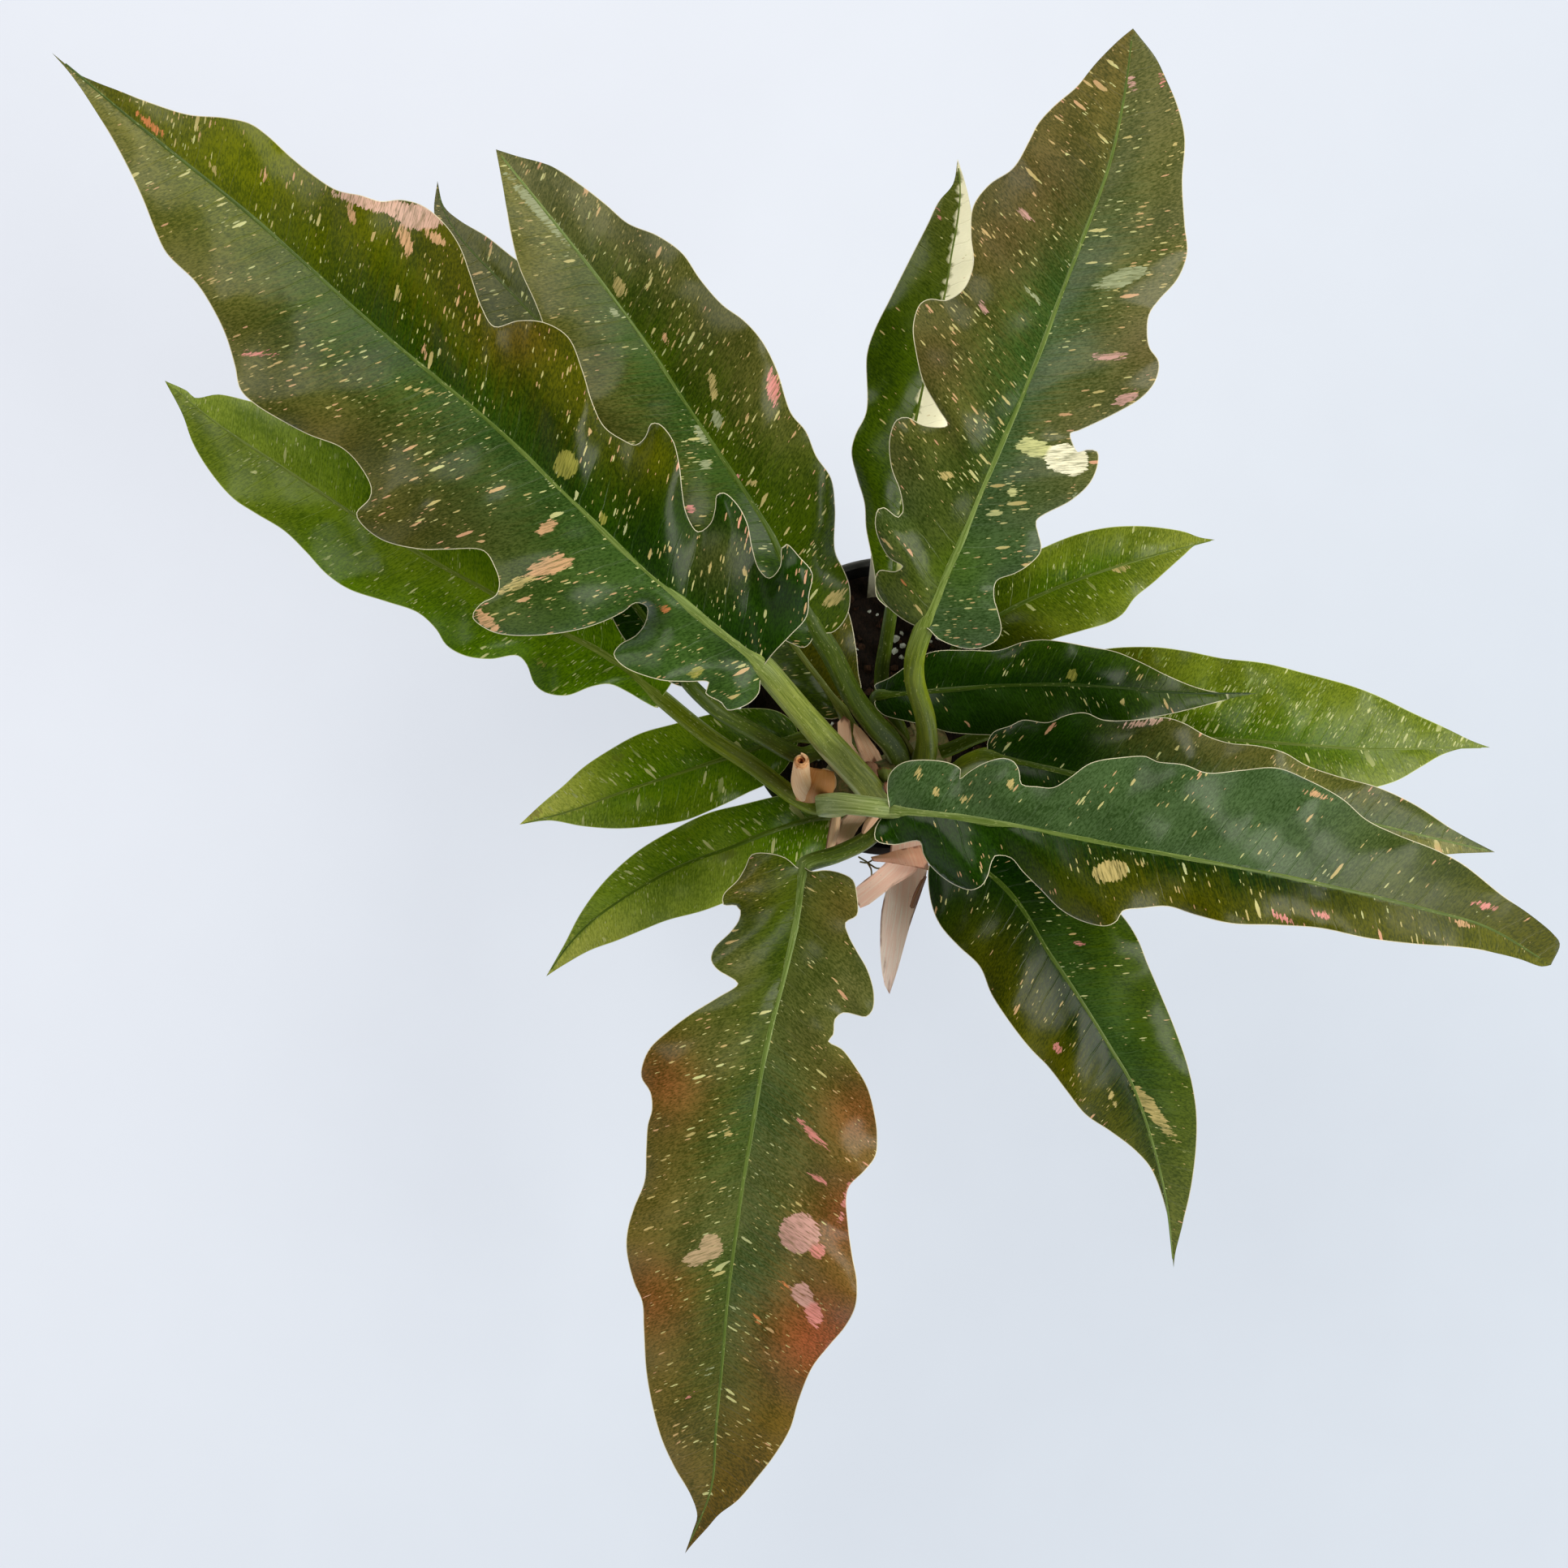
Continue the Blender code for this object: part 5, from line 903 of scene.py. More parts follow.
def through_three(heights, share):
    """A smooth height through the values at 0, one half and 1, straight below 0."""
    low, middle, high = heights
    t = np.maximum(share, 0.0)
    curve = low * (1 - t) * (1 - 2 * t) + 4 * middle * t * (1 - t) + high * t * (2 * t - 1)
    return curve + (4 * middle - 3 * low - high) * np.minimum(share, 0.0)


def outline(spec, grid):
    """The blade's midrib, and its closed margin with the number of its points up to the tip."""
    neck, tip = spec["midrib"][0], spec["midrib"][-1]
    left = smooth_line([neck, *spec["left"], tip], grid)
    right = smooth_line([neck, *spec["right"], tip], grid)
    return smooth_line(spec["midrib"], grid), np.vstack([left, right[-2:0:-1]]), len(left)


def even_field(loop, grid):
    """Points GRID apart, in offset rows, inside a closed outline."""
    low, high = loop.min(0), loop.max(0)
    pitch = grid * math.sqrt(0.75)
    rows = [(low[0] + (i % 2) * grid / 2 + j * grid, low[1] + i * pitch)
            for i in range(int((high[1] - low[1]) / pitch) + 1)
            for j in range(int((high[0] - low[0]) / grid) + 1)]
    field = np.array(rows)
    return field[in_blocks(field, lambda p: inside(p, loop))]


def in_blocks(points, work):
    """WORK done on the points a block at a time, which keeps its tables small."""
    return np.concatenate([work(points[i:i + BLOCK]) for i in range(0, len(points), BLOCK)])


def blurred(values, reach):
    """A row of values smoothed over REACH of them."""
    span = np.arange(-int(3 * reach), int(3 * reach) + 1)
    weight = np.exp(-0.5 * (span / reach) ** 2)
    return np.convolve(np.pad(values, len(span) // 2, "edge"), weight / weight.sum(), "valid")


def lobe_swell(along, out, left, midrib, loop):
    """How much wider than its surroundings the blade is at the end of the side vein through each point."""
    edge_along, edge_across = along_and_across(loop, midrib)
    swell = np.zeros(len(along))
    for way, here in ((1.0, left), (-1.0, ~left)):
        reach = np.maximum(edge_across * way, 0.0)
        rib = edge_along - RIB_LEAN * reach
        rib, reach = rib[reach > 0], reach[reach > 0]
        stops = np.arange(rib.min(), rib.max() + LOBE_STEP, LOBE_STEP)
        wide = np.array([reach[np.abs(rib - stop) < LOBE_STEP].max(initial=0.0) for stop in stops])
        wide = np.interp(stops, stops[wide > 0], wide[wide > 0])
        fine, broad = (blurred(wide, span / LOBE_STEP) for span in (LOBE_BLUR, LOBE_SPAN))
        lobe = np.clip((fine - broad) / (broad + 10.0), -LOBE_LIMIT, LOBE_LIMIT)
        swell = np.where(here, np.interp(along - RIB_LEAN * out, stops, lobe), swell)
    return swell


def blade_surface(spec, points, midrib, loop):
    """Each plan point's height, and its place on the blade: along, across and from the margin."""
    along, across = in_blocks(points, lambda p: np.stack(along_and_across(p, midrib), 1)).T
    rim = in_blocks(points, lambda p: edge_distance(p, loop))
    length = np.hypot(*np.diff(midrib, axis=0).T).sum()
    share = along / length
    metre = (VIEW_HEIGHT - spec["heights"][1]) / PLAN_FOCAL
    out = np.abs(across)
    half = out / np.maximum(out + rim, 1e-6)
    climb = np.where(across > 0, *spec["rise"]) * (1.0 - TIP_FLATTENING * np.clip(share, 0, 1))
    height = through_three(spec["heights"], share)
    height = height + out * metre * climb * (1.0 - spec["roll"] * ROLL_GAIN * half**2)
    tall, pitch, phase = spec["ripple"]
    rib = (along - RIB_LEAN * out) * metre
    side = np.where(across > 0, 0.0, RIPPLE_OFFSET)
    fade = np.clip(RIPPLE_FADE * (1.0 - share), 0.0, 1.0)
    height = height + tall * half**2 * np.sin(2 * math.pi * rib / pitch + phase + side) * fade
    for right, down, reach, lift in spec["lifts"]:
        away = ((points - (right, down)) ** 2).sum(1) / reach**2
        height = height + lift * half**2 * np.exp(-away)
    streak = (along - STREAK_LEAN * out) * metre
    return dict(height=height, share=share, half=half, along=along * metre, across=across * metre,
                rim=rim * metre, streak=streak, fade=fade, side=side,
                lobe=lobe_swell(along, out, across > 0, midrib, loop))


def relief(place):
    """The pleats between the side veins, slow swells, and the crimped margin that rolls down, in metres."""
    half = place["half"]
    pleat = np.abs(np.sin(math.pi * place["streak"] / PLEAT_PITCH + place["side"])) ** 0.7 - 0.6
    crimp = np.sin(2 * math.pi * place["along"] / CRIMP_PITCH + 2 * place["side"])
    swell = np.sin(2 * math.pi * place["along"] / SWELL_PITCH + 2 * math.pi * place["across"] / SWELL_PITCH)
    body = np.clip(3 * half, 0.0, 1.0)
    flat = PLEAT_HEIGHT * pleat * body * (1 - 0.5 * half) + SWELL_HEIGHT * swell * body
    edge = CRIMP_HEIGHT * crimp * half**4 - EDGE_ROLL * np.exp(-place["rim"] / EDGE_REACH) * body
    lobe = LOBE_HEIGHT * place["lobe"] * half**1.3 * (1.0 - 0.3 * half**3)
    return (flat + edge + lobe) * place["fade"]


def smooth(value, low, high):
    """Numbers eased from 0 below LOW to 1 above HIGH."""
    value = np.clip((value - low) / (high - low), 0.0, 1.0)
    return value * value * (3 - 2 * value)


def fold_rise(name, place):
    """How far each half of a folded blade rises from the midrib, in metres."""
    left, right = FOLDS.get(name, (0.0, 0.0))
    slope = np.where(place["across"] > 0, left, right)
    return slope * np.abs(place["across"]) * smooth(place["share"], *FOLD_BAND) * place["fade"]


def set_field(mesh, name, values):
    """Stores one value for each point of a mesh: a number, a place or a colour."""
    values = np.asarray(values, float)
    kind, key = {1: ("FLOAT", "value"), 2: ("FLOAT_VECTOR", "vector"), 3: ("FLOAT_COLOR", "color")}[
        1 if values.ndim == 1 else 3 if values.shape[1] == 4 else 2]
    mesh.attributes.new(name, kind, "POINT").data.foreach_set(key, values.ravel())


def new_piece(name, verts, faces, mat, fields=None, smooth_angle=50.0):
    """A piece of the plant or pot: a smooth-shaded mesh that goes with the whole object."""
    mesh = bpy.data.meshes.new(name)
    mesh.from_pydata(np.asarray(verts, float).tolist(), [], [tuple(map(int, f)) for f in faces])
    for key, values in (fields or {}).items():
        set_field(mesh, key, values)
    body = bmesh.new()
    body.from_mesh(mesh)
    bmesh.ops.recalc_face_normals(body, faces=body.faces)
    body.to_mesh(mesh)
    body.free()
    mesh.shade_smooth()
    mesh.set_sharp_from_angle(angle=math.radians(smooth_angle))
    mesh.materials.append(mat)
    piece = bpy.data.objects.new(name, mesh)
    bpy.context.scene.collection.objects.link(piece)
    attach(piece, "root")
    return piece


def laid_out(spec, grid):
    """A blade's plan as triangles, its midrib and its margin."""
    midrib, loop, tip_at = outline(spec, grid)
    field = even_field(loop, grid)
    field = field[in_blocks(field, lambda p: edge_distance(p, loop)) > MARGIN_CLEAR * grid]
    beside = in_blocks(field, lambda p: np.abs(along_and_across(p, midrib)[1]))
    field = field[beside > MIDRIB_CLEAR * grid]
    count, ribs = len(loop), len(midrib) - 2
    points = np.vstack([loop, midrib[1:-1], field])
    chain = [0, *range(count, count + ribs), tip_at - 1]
    edges = [(i, (i + 1) % count) for i in range(count)] + list(zip(chain, chain[1:]))
    flat, _, faces, *_ = delaunay_2d_cdt([Vector(p) for p in points], edges, [list(range(count))], 1, 1e-4)
    return np.array([tuple(p) for p in flat]), faces, midrib, loop


def both_faces(count, faces):
    """Faces of a thin closed body from those of its upper side: the same below, and a margin between."""
    used = {(i, j) for face in faces for i, j in zip(face, face[1:] + face[:1])}
    margin = sorted((i, j) for i, j in used if (j, i) not in used)
    solid = [tuple(f) for f in faces] + [tuple(i + count for i in reversed(f)) for f in faces]
    return solid + [t for i, j in margin for t in ((j, i, i + count), (j, i + count, j + count))]


def ground_colour(look, place, plan, drift=0.0):
    """The green or bronze under the blotches at each point of a blade, painted sheen and shade included.
    DRIFT moves the margin's colour in.
    """
    left = place["across"][:, None] > 0
    near, far, base, tip = (np.where(left, a, b) for a, b in zip(look["left"], look["right"]))
    colour = near + (far - near) * smooth(place["half"] + drift, *MARGIN_BAND)[:, None]
    colour = colour + (base - colour) * (1 - smooth(place["share"], *BASE_BAND))[:, None]
    colour = colour + (tip - colour) * smooth(place["share"], *TIP_BAND)[:, None]
    for right, down, reach, wash, strength in look["washes"]:
        away = ((plan - (right, down)) ** 2).sum(1) / reach**2
        colour = colour + (np.array(wash) - colour) * (strength * np.exp(-away))[:, None]
    return colour


def blotches(look, plan, metre):
    """How far each point lies inside its nearest blotch, in metres, and that blotch's colour."""
    depth = np.full(len(plan), -0.05)
    tint = np.tile(np.array(look["left"][1]), (len(plan), 1))
    for x0, y0, x1, y1, width, colour in look["patches"]:
        middle, run = np.array(((x0 + x1) / 2, (y0 + y1) / 2)), np.array((x1 - x0, y1 - y0), float)
        long = max(np.hypot(*run), 1.0)
        ahead = run / long
        off = plan - middle
        u, v = off @ ahead, off @ np.array((-ahead[1], ahead[0]))
        reach = (1.0 - np.hypot(u / (long / 2), v / (width / 2))) * min(long, width) / 2 * metre
        tint[reach > depth] = colour
        depth = np.maximum(depth, reach)
    return depth, tint


def with_alpha(colour):
    """Colours as a mesh stores them."""
    return np.column_stack([colour, np.ones(len(colour))])


def twice(values):
    """The values of a sheet's upper points, again for its lower ones."""
    return np.concatenate([values, values])


def make_blade(spec, number, mat):
    """The thin blade of one leaf, with what its finish needs to know at each point."""
    plan, faces, midrib, loop = laid_out(spec, BLADE_GRID)
    place = blade_surface(spec, plan, midrib, loop)
    height = place["height"] + relief(place) + fold_rise(spec["name"], place)
    height = height - HIGH_SOFT * np.log1p(np.exp((height - HIGHEST) / HIGH_SOFT))
    metre = (VIEW_HEIGHT - spec["heights"][1]) / PLAN_FOCAL
    look = COATS[spec["name"]]
    depth, tint = blotches(look, plan, metre)
    ground = ground_colour(look, place, plan)
    drifted = ground_colour(look, place, plan, GROUND_DRIFT)
    vein = np.column_stack([place["streak"] + LEAF_SHIFT * number, place["across"], place["half"]])
    rim = place["rim"] + TIP_PLAIN * np.clip((place["share"] - TIP_START) / (1 - TIP_START), 0.0, 1.0)
    fields = {"vein": twice(vein), "rim": twice(rim), "ground": twice(with_alpha(ground)),
              "ground_drifted": twice(with_alpha(drifted)), "crowd": np.full(2 * len(plan), look["flecks"]),
              "blotch": twice(depth), "blotch_colour": twice(with_alpha(tint)),
              "under": np.repeat((0.0, 1.0), len(plan))}
    verts = np.vstack([sight_point(*plan.T, height), sight_point(*plan.T, height - BLADE_THICKNESS)])
    solid = both_faces(len(plan), faces)
    blade = new_piece(spec["name"] + "_blade", verts, solid, mat, fields)
    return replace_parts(blade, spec["name"])


def turning_frame(line, up):
    """Direction, upright and sideways at each point of a line, without twist, from its end back."""
    ahead = np.gradient(line, axis=0)
    ahead /= np.linalg.norm(ahead, axis=1)[:, None]
    upright = np.zeros_like(line)
    now = np.array(up, float)
    for i in range(len(line) - 1, -1, -1):
        now = now - ahead[i] * (now @ ahead[i])
        now /= np.linalg.norm(now)
        upright[i] = now
    return ahead, upright, np.cross(ahead, upright)


def bar_faces(rows, sides):
    """Faces of a bar whose points run ring by ring, with its two ends closed."""
    faces = [tuple(range(sides)), tuple(range((rows - 1) * sides, rows * sides))]
    for i in range(rows - 1):
        for j in range(sides):
            k = (j + 1) % sides
            faces.append((i * sides + j, i * sides + k, (i + 1) * sides + k, (i + 1) * sides + j))
    return faces


def run_along(line):
    """How far along a line each of its points is."""
    return np.concatenate([[0.0], np.cumsum(np.linalg.norm(np.diff(line, axis=0), axis=1))])


def boxy(values, power):
    """A sine or cosine that makes a squarer ring as POWER falls below 1."""
    return np.sign(values) * np.abs(values) ** power


def make_bar(name, line, widths, depths, sides, mat, groove=0.0, up=(0.0, 0.0, 1.0), number=0,
             extra=None, square=None, wing=None):
    """A round or grooved bar along LINE, with its own grain along and around it. SQUARE is how boxy it is at
    each point of LINE: 1 is round. WING is 1 or -1 where its left or right edge gets a painted highlight,
    between for less."""
    _, upright, sideways = turning_frame(line, up)
    turn = 2 * math.pi * (np.arange(sides) + 0.5) / sides
    aside, above = np.cos(turn), np.sin(turn)
    dip = 1.0 - groove * np.exp(-((turn - math.pi / 2) / 0.5) ** 2)
    square = np.ones(len(line)) if square is None else square
    rings = [line[i] + np.outer(boxy(aside, square[i]), sideways[i]) * widths[i] / 2
             + np.outer(boxy(above, square[i]) * dip, upright[i]) * depths[i] / 2 for i in range(len(line))]
    across = np.outer(widths, aside) / 2
    around = np.outer(depths, above) / 2 + LEAF_SHIFT * number
    grain = np.stack([across, around, np.outer(run_along(line), np.ones(sides))], 2)
    fields = {"grain": grain.reshape(-1, 3), "facing": np.tile(above, len(line)), "across": across.ravel(),
              "share": np.repeat(np.linspace(0, 1, len(line)), sides)}
    # Where a painted highlight runs along the bar's edge
    if wing is not None:
        fields["wing"] = np.outer(wing, aside * (above > -0.2)).ravel()
    for key, values in (extra or {}).items():
        fields[key] = np.repeat(values, sides, axis=0)
    return new_piece(name, np.vstack(rings), bar_faces(len(line), sides), mat, fields)


def make_stalk(spec, number, mat):
    """The petiole and the midrib that goes on from it under and along the blade."""
    foot_width, neck_width = spec["widths"]
    route = sight_point(*np.array(spec["petiole"], float).T)
    route[-1, 2] -= neck_width * NECK_SINK
    midrib, loop, _ = outline(spec, BLADE_GRID)
    spine = smooth_line(spec["midrib"], BLADE_GRID)
    place = blade_surface(spec, spine, midrib, loop)
    inside_blade = place["share"] < MIDRIB_END
    spine, share = spine[inside_blade], place["share"][inside_blade]
    width = neck_width * np.interp(share, MIDRIB_SHARES, MIDRIB_WIDTHS)
    depth = width * (PETIOLE_DEPTH + DEPTH_GAIN * (1 - share))
    stand = np.interp(share, MIDRIB_SHARES, MIDRIB_STAND)
    top = place["height"][inside_blade] + relief(place)[inside_blade] + stand
    along_blade = sight_point(*spine.T, top - depth / 2)
    petiole = smooth_line(np.vstack([route[:-1], along_blade[:2]]), BAR_STEP)
    keep = len(petiole) - 1
    petiole_share = np.linspace(0.0, 1.0, keep)
    line = np.vstack([petiole[:-1], along_blade[1:]])
    widths = np.concatenate([foot_width + (neck_width - foot_width) * petiole_share, width[1:]])
    depths = np.concatenate([(foot_width + (neck_width - foot_width) * petiole_share)
                             * (PETIOLE_DEPTH + DEPTH_GAIN * petiole_share), depth[1:]])
    for values in (widths, depths):
        values[2:-2] = np.convolve(values, np.ones(5) / 5, "valid")
    reach = np.concatenate([petiole_share - 1.0, share[1:]])
    petiole_tint, low_tint, high_tint = (np.array(tint) for tint in COATS[spec["name"]]["stalk"])
    stops = np.array([petiole_tint * FOOT_SHADE, petiole_tint, petiole_tint, low_tint,
                      (low_tint + high_tint) / 2, high_tint])
    tint = np.column_stack([np.interp(reach, STALK_REACHES, stops[:, i]) for i in range(3)])
    foot = FEET.get(spec["name"], PLAIN_FOOT)
    near_foot = np.clip((foot["reach"] - reach) / FOOT_BLEND, 0.0, 1.0)
    widths = widths * (1 + (foot["flare"] - 1) * near_foot)
    square = 1 - (1 - foot["square"]) * near_foot
    stalk = make_bar(spec["name"] + "_stalk", line, widths, depths, BAR_SIDES, mat,
                     groove=PETIOLE_GROOVE, number=number, extra={"reach": reach, "tint": with_alpha(tint)},
                     square=square, wing=foot["highlight_edge"] * near_foot)
    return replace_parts(stalk, spec["name"])


class Value:
    """A value in a shader tree, with plain arithmetic."""

    def __init__(self, socket):
        self.socket = socket

    def __add__(self, more):
        return calc("ADD", self, more)

    def __sub__(self, less):
        return calc("SUBTRACT", self, less)

    def __mul__(self, factor):
        return calc("MULTIPLY", self, factor)

    def __truediv__(self, unit):
        return calc("DIVIDE", self, unit)

    def __abs__(self):
        return calc("ABSOLUTE", self)


def tree_of(*values):
    """The shader tree that these values belong to."""
    return next(value.socket.id_data for value in values if isinstance(value, Value))


def put(tree, kind, inputs=None, **settings):
    """A shader node with its settings, and with a value or a link for each input named."""
    node = tree.nodes.new("ShaderNode" + kind)
    for key, value in settings.items():
        setattr(node, key, value)
    for key, value in (inputs or {}).items():
        if isinstance(value, Value):
            tree.links.new(value.socket, node.inputs[key])
        else:
            node.inputs[key].default_value = value
    return node


def calc(operation, *values, clamp=False):
    """One step of arithmetic."""
    node = put(tree_of(*values), "Math", dict(enumerate(values)), operation=operation, use_clamp=clamp)
    return Value(node.outputs[0])


def ease(value, low, high):
    """A shader value eased from 0 under LOW to 1 over HIGH."""
    node = put(tree_of(value), "MapRange", {"Value": value, "From Min": low, "From Max": high},
               interpolation_type="SMOOTHSTEP")
    return Value(node.outputs["Result"])


def mixed(share, low, high, blend="MIX"):
    """Two colours mixed by SHARE."""
    low, high = (c if isinstance(c, Value) else (*c[:3], 1.0) for c in (low, high))
    node = put(tree_of(share, low, high), "Mix", {0: share, 6: low, 7: high}, data_type="RGBA",
               blend_type=blend)
    return Value(node.outputs[2])


def grade(value, *stops):
    """A colour ramp through (place, colour) stops."""
    node = put(tree_of(value), "ValToRGB", {"Fac": value})
    ramp = node.color_ramp
    while len(ramp.elements) < len(stops):
        ramp.elements.new(0.5)
    for element, (place, colour) in zip(ramp.elements, stops):
        element.position = place
        element.color = (*colour[:3], 1.0)
    return Value(node.outputs["Color"])


def field(tree, name, output="Fac"):
    """What the mesh stores at this point."""
    return Value(put(tree, "Attribute", attribute_name=name).outputs[output])


def spot(tree, output="Object"):
    """Where this point is."""
    return Value(put(tree, "TexCoord").outputs[output])


def parts(value, kind="XYZ"):
    """The three numbers of a place or a colour."""
    return [Value(out) for out in put(tree_of(value), "Separate" + kind, {0: value}).outputs]


def joined(*numbers):
    """A place made of up to three numbers."""
    return Value(put(tree_of(*numbers), "CombineXYZ", dict(enumerate(numbers))).outputs[0])


def noise(place, detail=2.0, roughness=0.5):
    """Soft noise, about one unit from light to light."""
    return Value(put(tree_of(place), "TexNoise", {"Vector": place, "Scale": 1.0, "Detail": detail,
                                                  "Roughness": roughness, "Distortion": 0.0}).outputs["Fac"])


def clouds_of(place, sizes, detail=2.0, roughness=0.5):
    """Soft noise of these SIZES, in metres."""
    scale = tuple(1 / size for size in sizes)
    return noise(Value(put(tree_of(place), "Mapping", {"Vector": place, "Scale": scale}).outputs[0]),
                 detail, roughness)


def new_group(name, inputs, recipe):
    """A shared shader effect: RECIPE makes its named outputs from its named inputs."""
    tree = bpy.data.node_groups.new(name, "ShaderNodeTree")
    for label, default in inputs.items():
        kind = "NodeSocketVector" if default is None else "NodeSocketFloat"
        socket = tree.interface.new_socket(name=label, in_out="INPUT", socket_type=kind)
        if default is not None:
            socket.default_value = default
    given = {socket.name: Value(socket) for socket in tree.nodes.new("NodeGroupInput").outputs}
    made = recipe(given)
    for label in made:
        tree.interface.new_socket(name=label, in_out="OUTPUT", socket_type="NodeSocketFloat")
    result = tree.nodes.new("NodeGroupOutput").inputs
    for label, value in made.items():
        tree.links.new(value.socket, result[label])
    return tree


def use(group, **inputs):
    """A shared effect placed in a material, with its own values."""
    node = put(tree_of(*inputs.values()), "Group", inputs, node_tree=group)
    return {socket.name: Value(socket) for socket in node.outputs}


def fleck_recipe(given):
    """Short ragged flecks that run along the veins: where they lie, and a random number for each."""
    x, y, _ = parts(given["Vein"])
    x = x / given["Width"] + given["Shift"]
    y = y / given["Length"] + given["Shift"]
    wander = noise(joined(x * 1.6, y * 3.2), detail=3.0, roughness=0.65)
    cells = put(tree_of(x), "TexVoronoi", {"Vector": joined(x, y), "Scale": 1.0, "Randomness": 0.95},
                voronoi_dimensions="2D").outputs
    chance, size, pick = parts(Value(cells["Color"]), "Color")
    there = calc("LESS_THAN", chance, given["Share"])
    edge = (wander - 0.5) * given["Ragged"] + Value(cells["Distance"])
    return {"Mask": there * ease(calc("POWER", size, 3.0) * 0.24 + 0.11 - edge, -0.01, 0.04), "Pick": pick}


def grain_recipe(given):
    """Fine lines along a grain, with slow light and dark clouds across them."""
    x, y, z = parts(given["Grain"])
    x, y = x / given["Line"], y / given["Length"]
    return {"Lines": noise(joined(x, y, z), detail=3.0, roughness=0.6),
            "Clouds": noise(joined(x * 0.03, y * 0.35, z))}


def fibre_recipe(given):
    """Long ragged fibres along a grain, or specks where LENGTH is short."""
    sizes = joined(given["Width"], given["Width"], given["Length"])
    unit = put(tree_of(sizes), "VectorMath", {0: given["Grain"], 1: sizes}, operation="DIVIDE")
    return {"Lines": noise(Value(unit.outputs[0]), given["Detail"], given["Roughness"])}


FLECKS = new_group("flecks along the veins", {"Vein": None, "Width": 0.002, "Length": 0.006, "Share": 0.2,
                                              "Ragged": 0.35, "Shift": 0.0}, fleck_recipe)
GRAIN = new_group("grain lines", {"Grain": None, "Line": 0.0003, "Length": 0.008}, grain_recipe)
FIBRES = new_group("fibres along the grain", {"Grain": None, "Width": 0.0006, "Length": 0.02,
                                              "Detail": 2.0, "Roughness": 0.5}, fibre_recipe)


def fibres(grain, width, length, detail=2.0, roughness=0.5):
    """The fibres effect placed in a material."""
    return use(FIBRES, Grain=grain, Width=width, Length=length, Detail=detail, Roughness=roughness)["Lines"]


def new_material(name, roughness, specular):
    """A material and its shader tree, with the values that are the same all over."""
    mat = bpy.data.materials.new(name)
    mat.use_nodes = True
    shader = mat.node_tree.nodes["Principled BSDF"]
    shader.inputs["Roughness"].default_value = roughness
    shader.inputs["Specular IOR Level"].default_value = specular
    return mat, mat.node_tree


def feed(mat, colour, roughness, height, distance, strength=0.5):
    """Feeds colour, roughness and relief to a material's shader."""
    tree = mat.node_tree
    bump = put(tree, "Bump", {"Strength": strength, "Distance": distance, "Height": height})
    for key, value in (("Base Color", colour), ("Roughness", roughness), ("Normal", Value(bump.outputs[0]))):
        tree.links.new(value.socket, tree.nodes["Principled BSDF"].inputs[key])
    return mat


def leaf_skin(name, fleck_stops, margin, tiny_share, small_share):
    """The upper and lower skin of a blade: ground colour with its painted sheen and shade, grain, flecks,
    blotches and a pale margin.
    """
    mat, tree = new_material(name, 0.34, 0.15)
    vein, under = field(tree, "vein", "Vector"), field(tree, "under")
    grain = use(GRAIN, Grain=vein, Line=LEAF_LINE, Length=LEAF_LINE_LONG)
    lines, clouds = grain["Lines"], grain["Clouds"]
    wisps = clouds_of(vein, LEAF_WISP, detail=4.0, roughness=0.65)
    ground = mixed(ease(wisps, 0.36, 0.72), field(tree, "ground", "Color"),
                   field(tree, "ground_drifted", "Color"))
    even = calc("SUBTRACT", 1.0, parts(ground, "Color")[1], clamp=True)
    darker = mixed(even, ground, LEAF_DARKER, "MULTIPLY")
    lighter = mixed(even, ground, LEAF_LIGHTER, "MULTIPLY")
    speckle = clouds_of(vein, LEAF_SPECKLE, detail=2.0, roughness=0.6)
    colour = mixed(ease(clouds * 0.45 + lines * 0.20 + speckle * 0.95, 0.57, 1.02), darker, lighter)

    along, across, half = parts(vein)
    beat = calc("FRACT", along / (PLEAT_PITCH / 3) + (clouds - 0.5) * 0.5)
    side_vein = ease(abs(beat - 0.5), 0.050, 0.015) * ease(abs(across), 0.026, 0.003)
    colour = mixed(side_vein * 0.40, colour, lighter)

    crowd = ease(clouds_of(vein, LEAF_PATCH), 0.36, 0.64) * field(tree, "crowd")
    shares = (tiny_share, small_share, small_share / 4)
    for (width, length), share, shift, strength in zip(FLECK_SIZES, shares, FLECK_SHIFTS, FLECK_STRENGTHS):
        flecks = use(FLECKS, Vein=vein, Width=width, Length=length, Shift=shift, Ragged=0.40,
                     Share=crowd * share)
        colour = mixed(flecks["Mask"] * strength, colour,
                       grade(flecks["Pick"] * 0.48 + half * 0.42, *fleck_stops))

    rag = clouds_of(vein, BLOTCH_RAG, detail=3.0, roughness=0.6)
    blotch = ease((rag - 0.52) * BLOTCH_REACH + field(tree, "blotch"), *BLOTCH_EDGE)
    streak = clouds_of(vein, BLOTCH_STREAK, detail=3.0, roughness=0.65)
    streaked = calc("MULTIPLY", blotch, streak * 3.2 - 0.80, clamp=True)
    colour = mixed(streaked, colour, field(tree, "blotch_colour", "Color"))

    colour = mixed(ease(field(tree, "rim"), *MARGIN_LINE) * 0.78, colour, margin)
    pale = mixed(0.35, mixed(1.0, colour, LEAF_UNDERSIDE, "MULTIPLY"), VEIN_GREEN)
    colour = mixed(under, colour, pale)
    return feed(mat, colour, lines * 0.06 + under * 0.2 + 0.24, lines * 0.10 - side_vein * 0.8, 0.0003, 0.6)


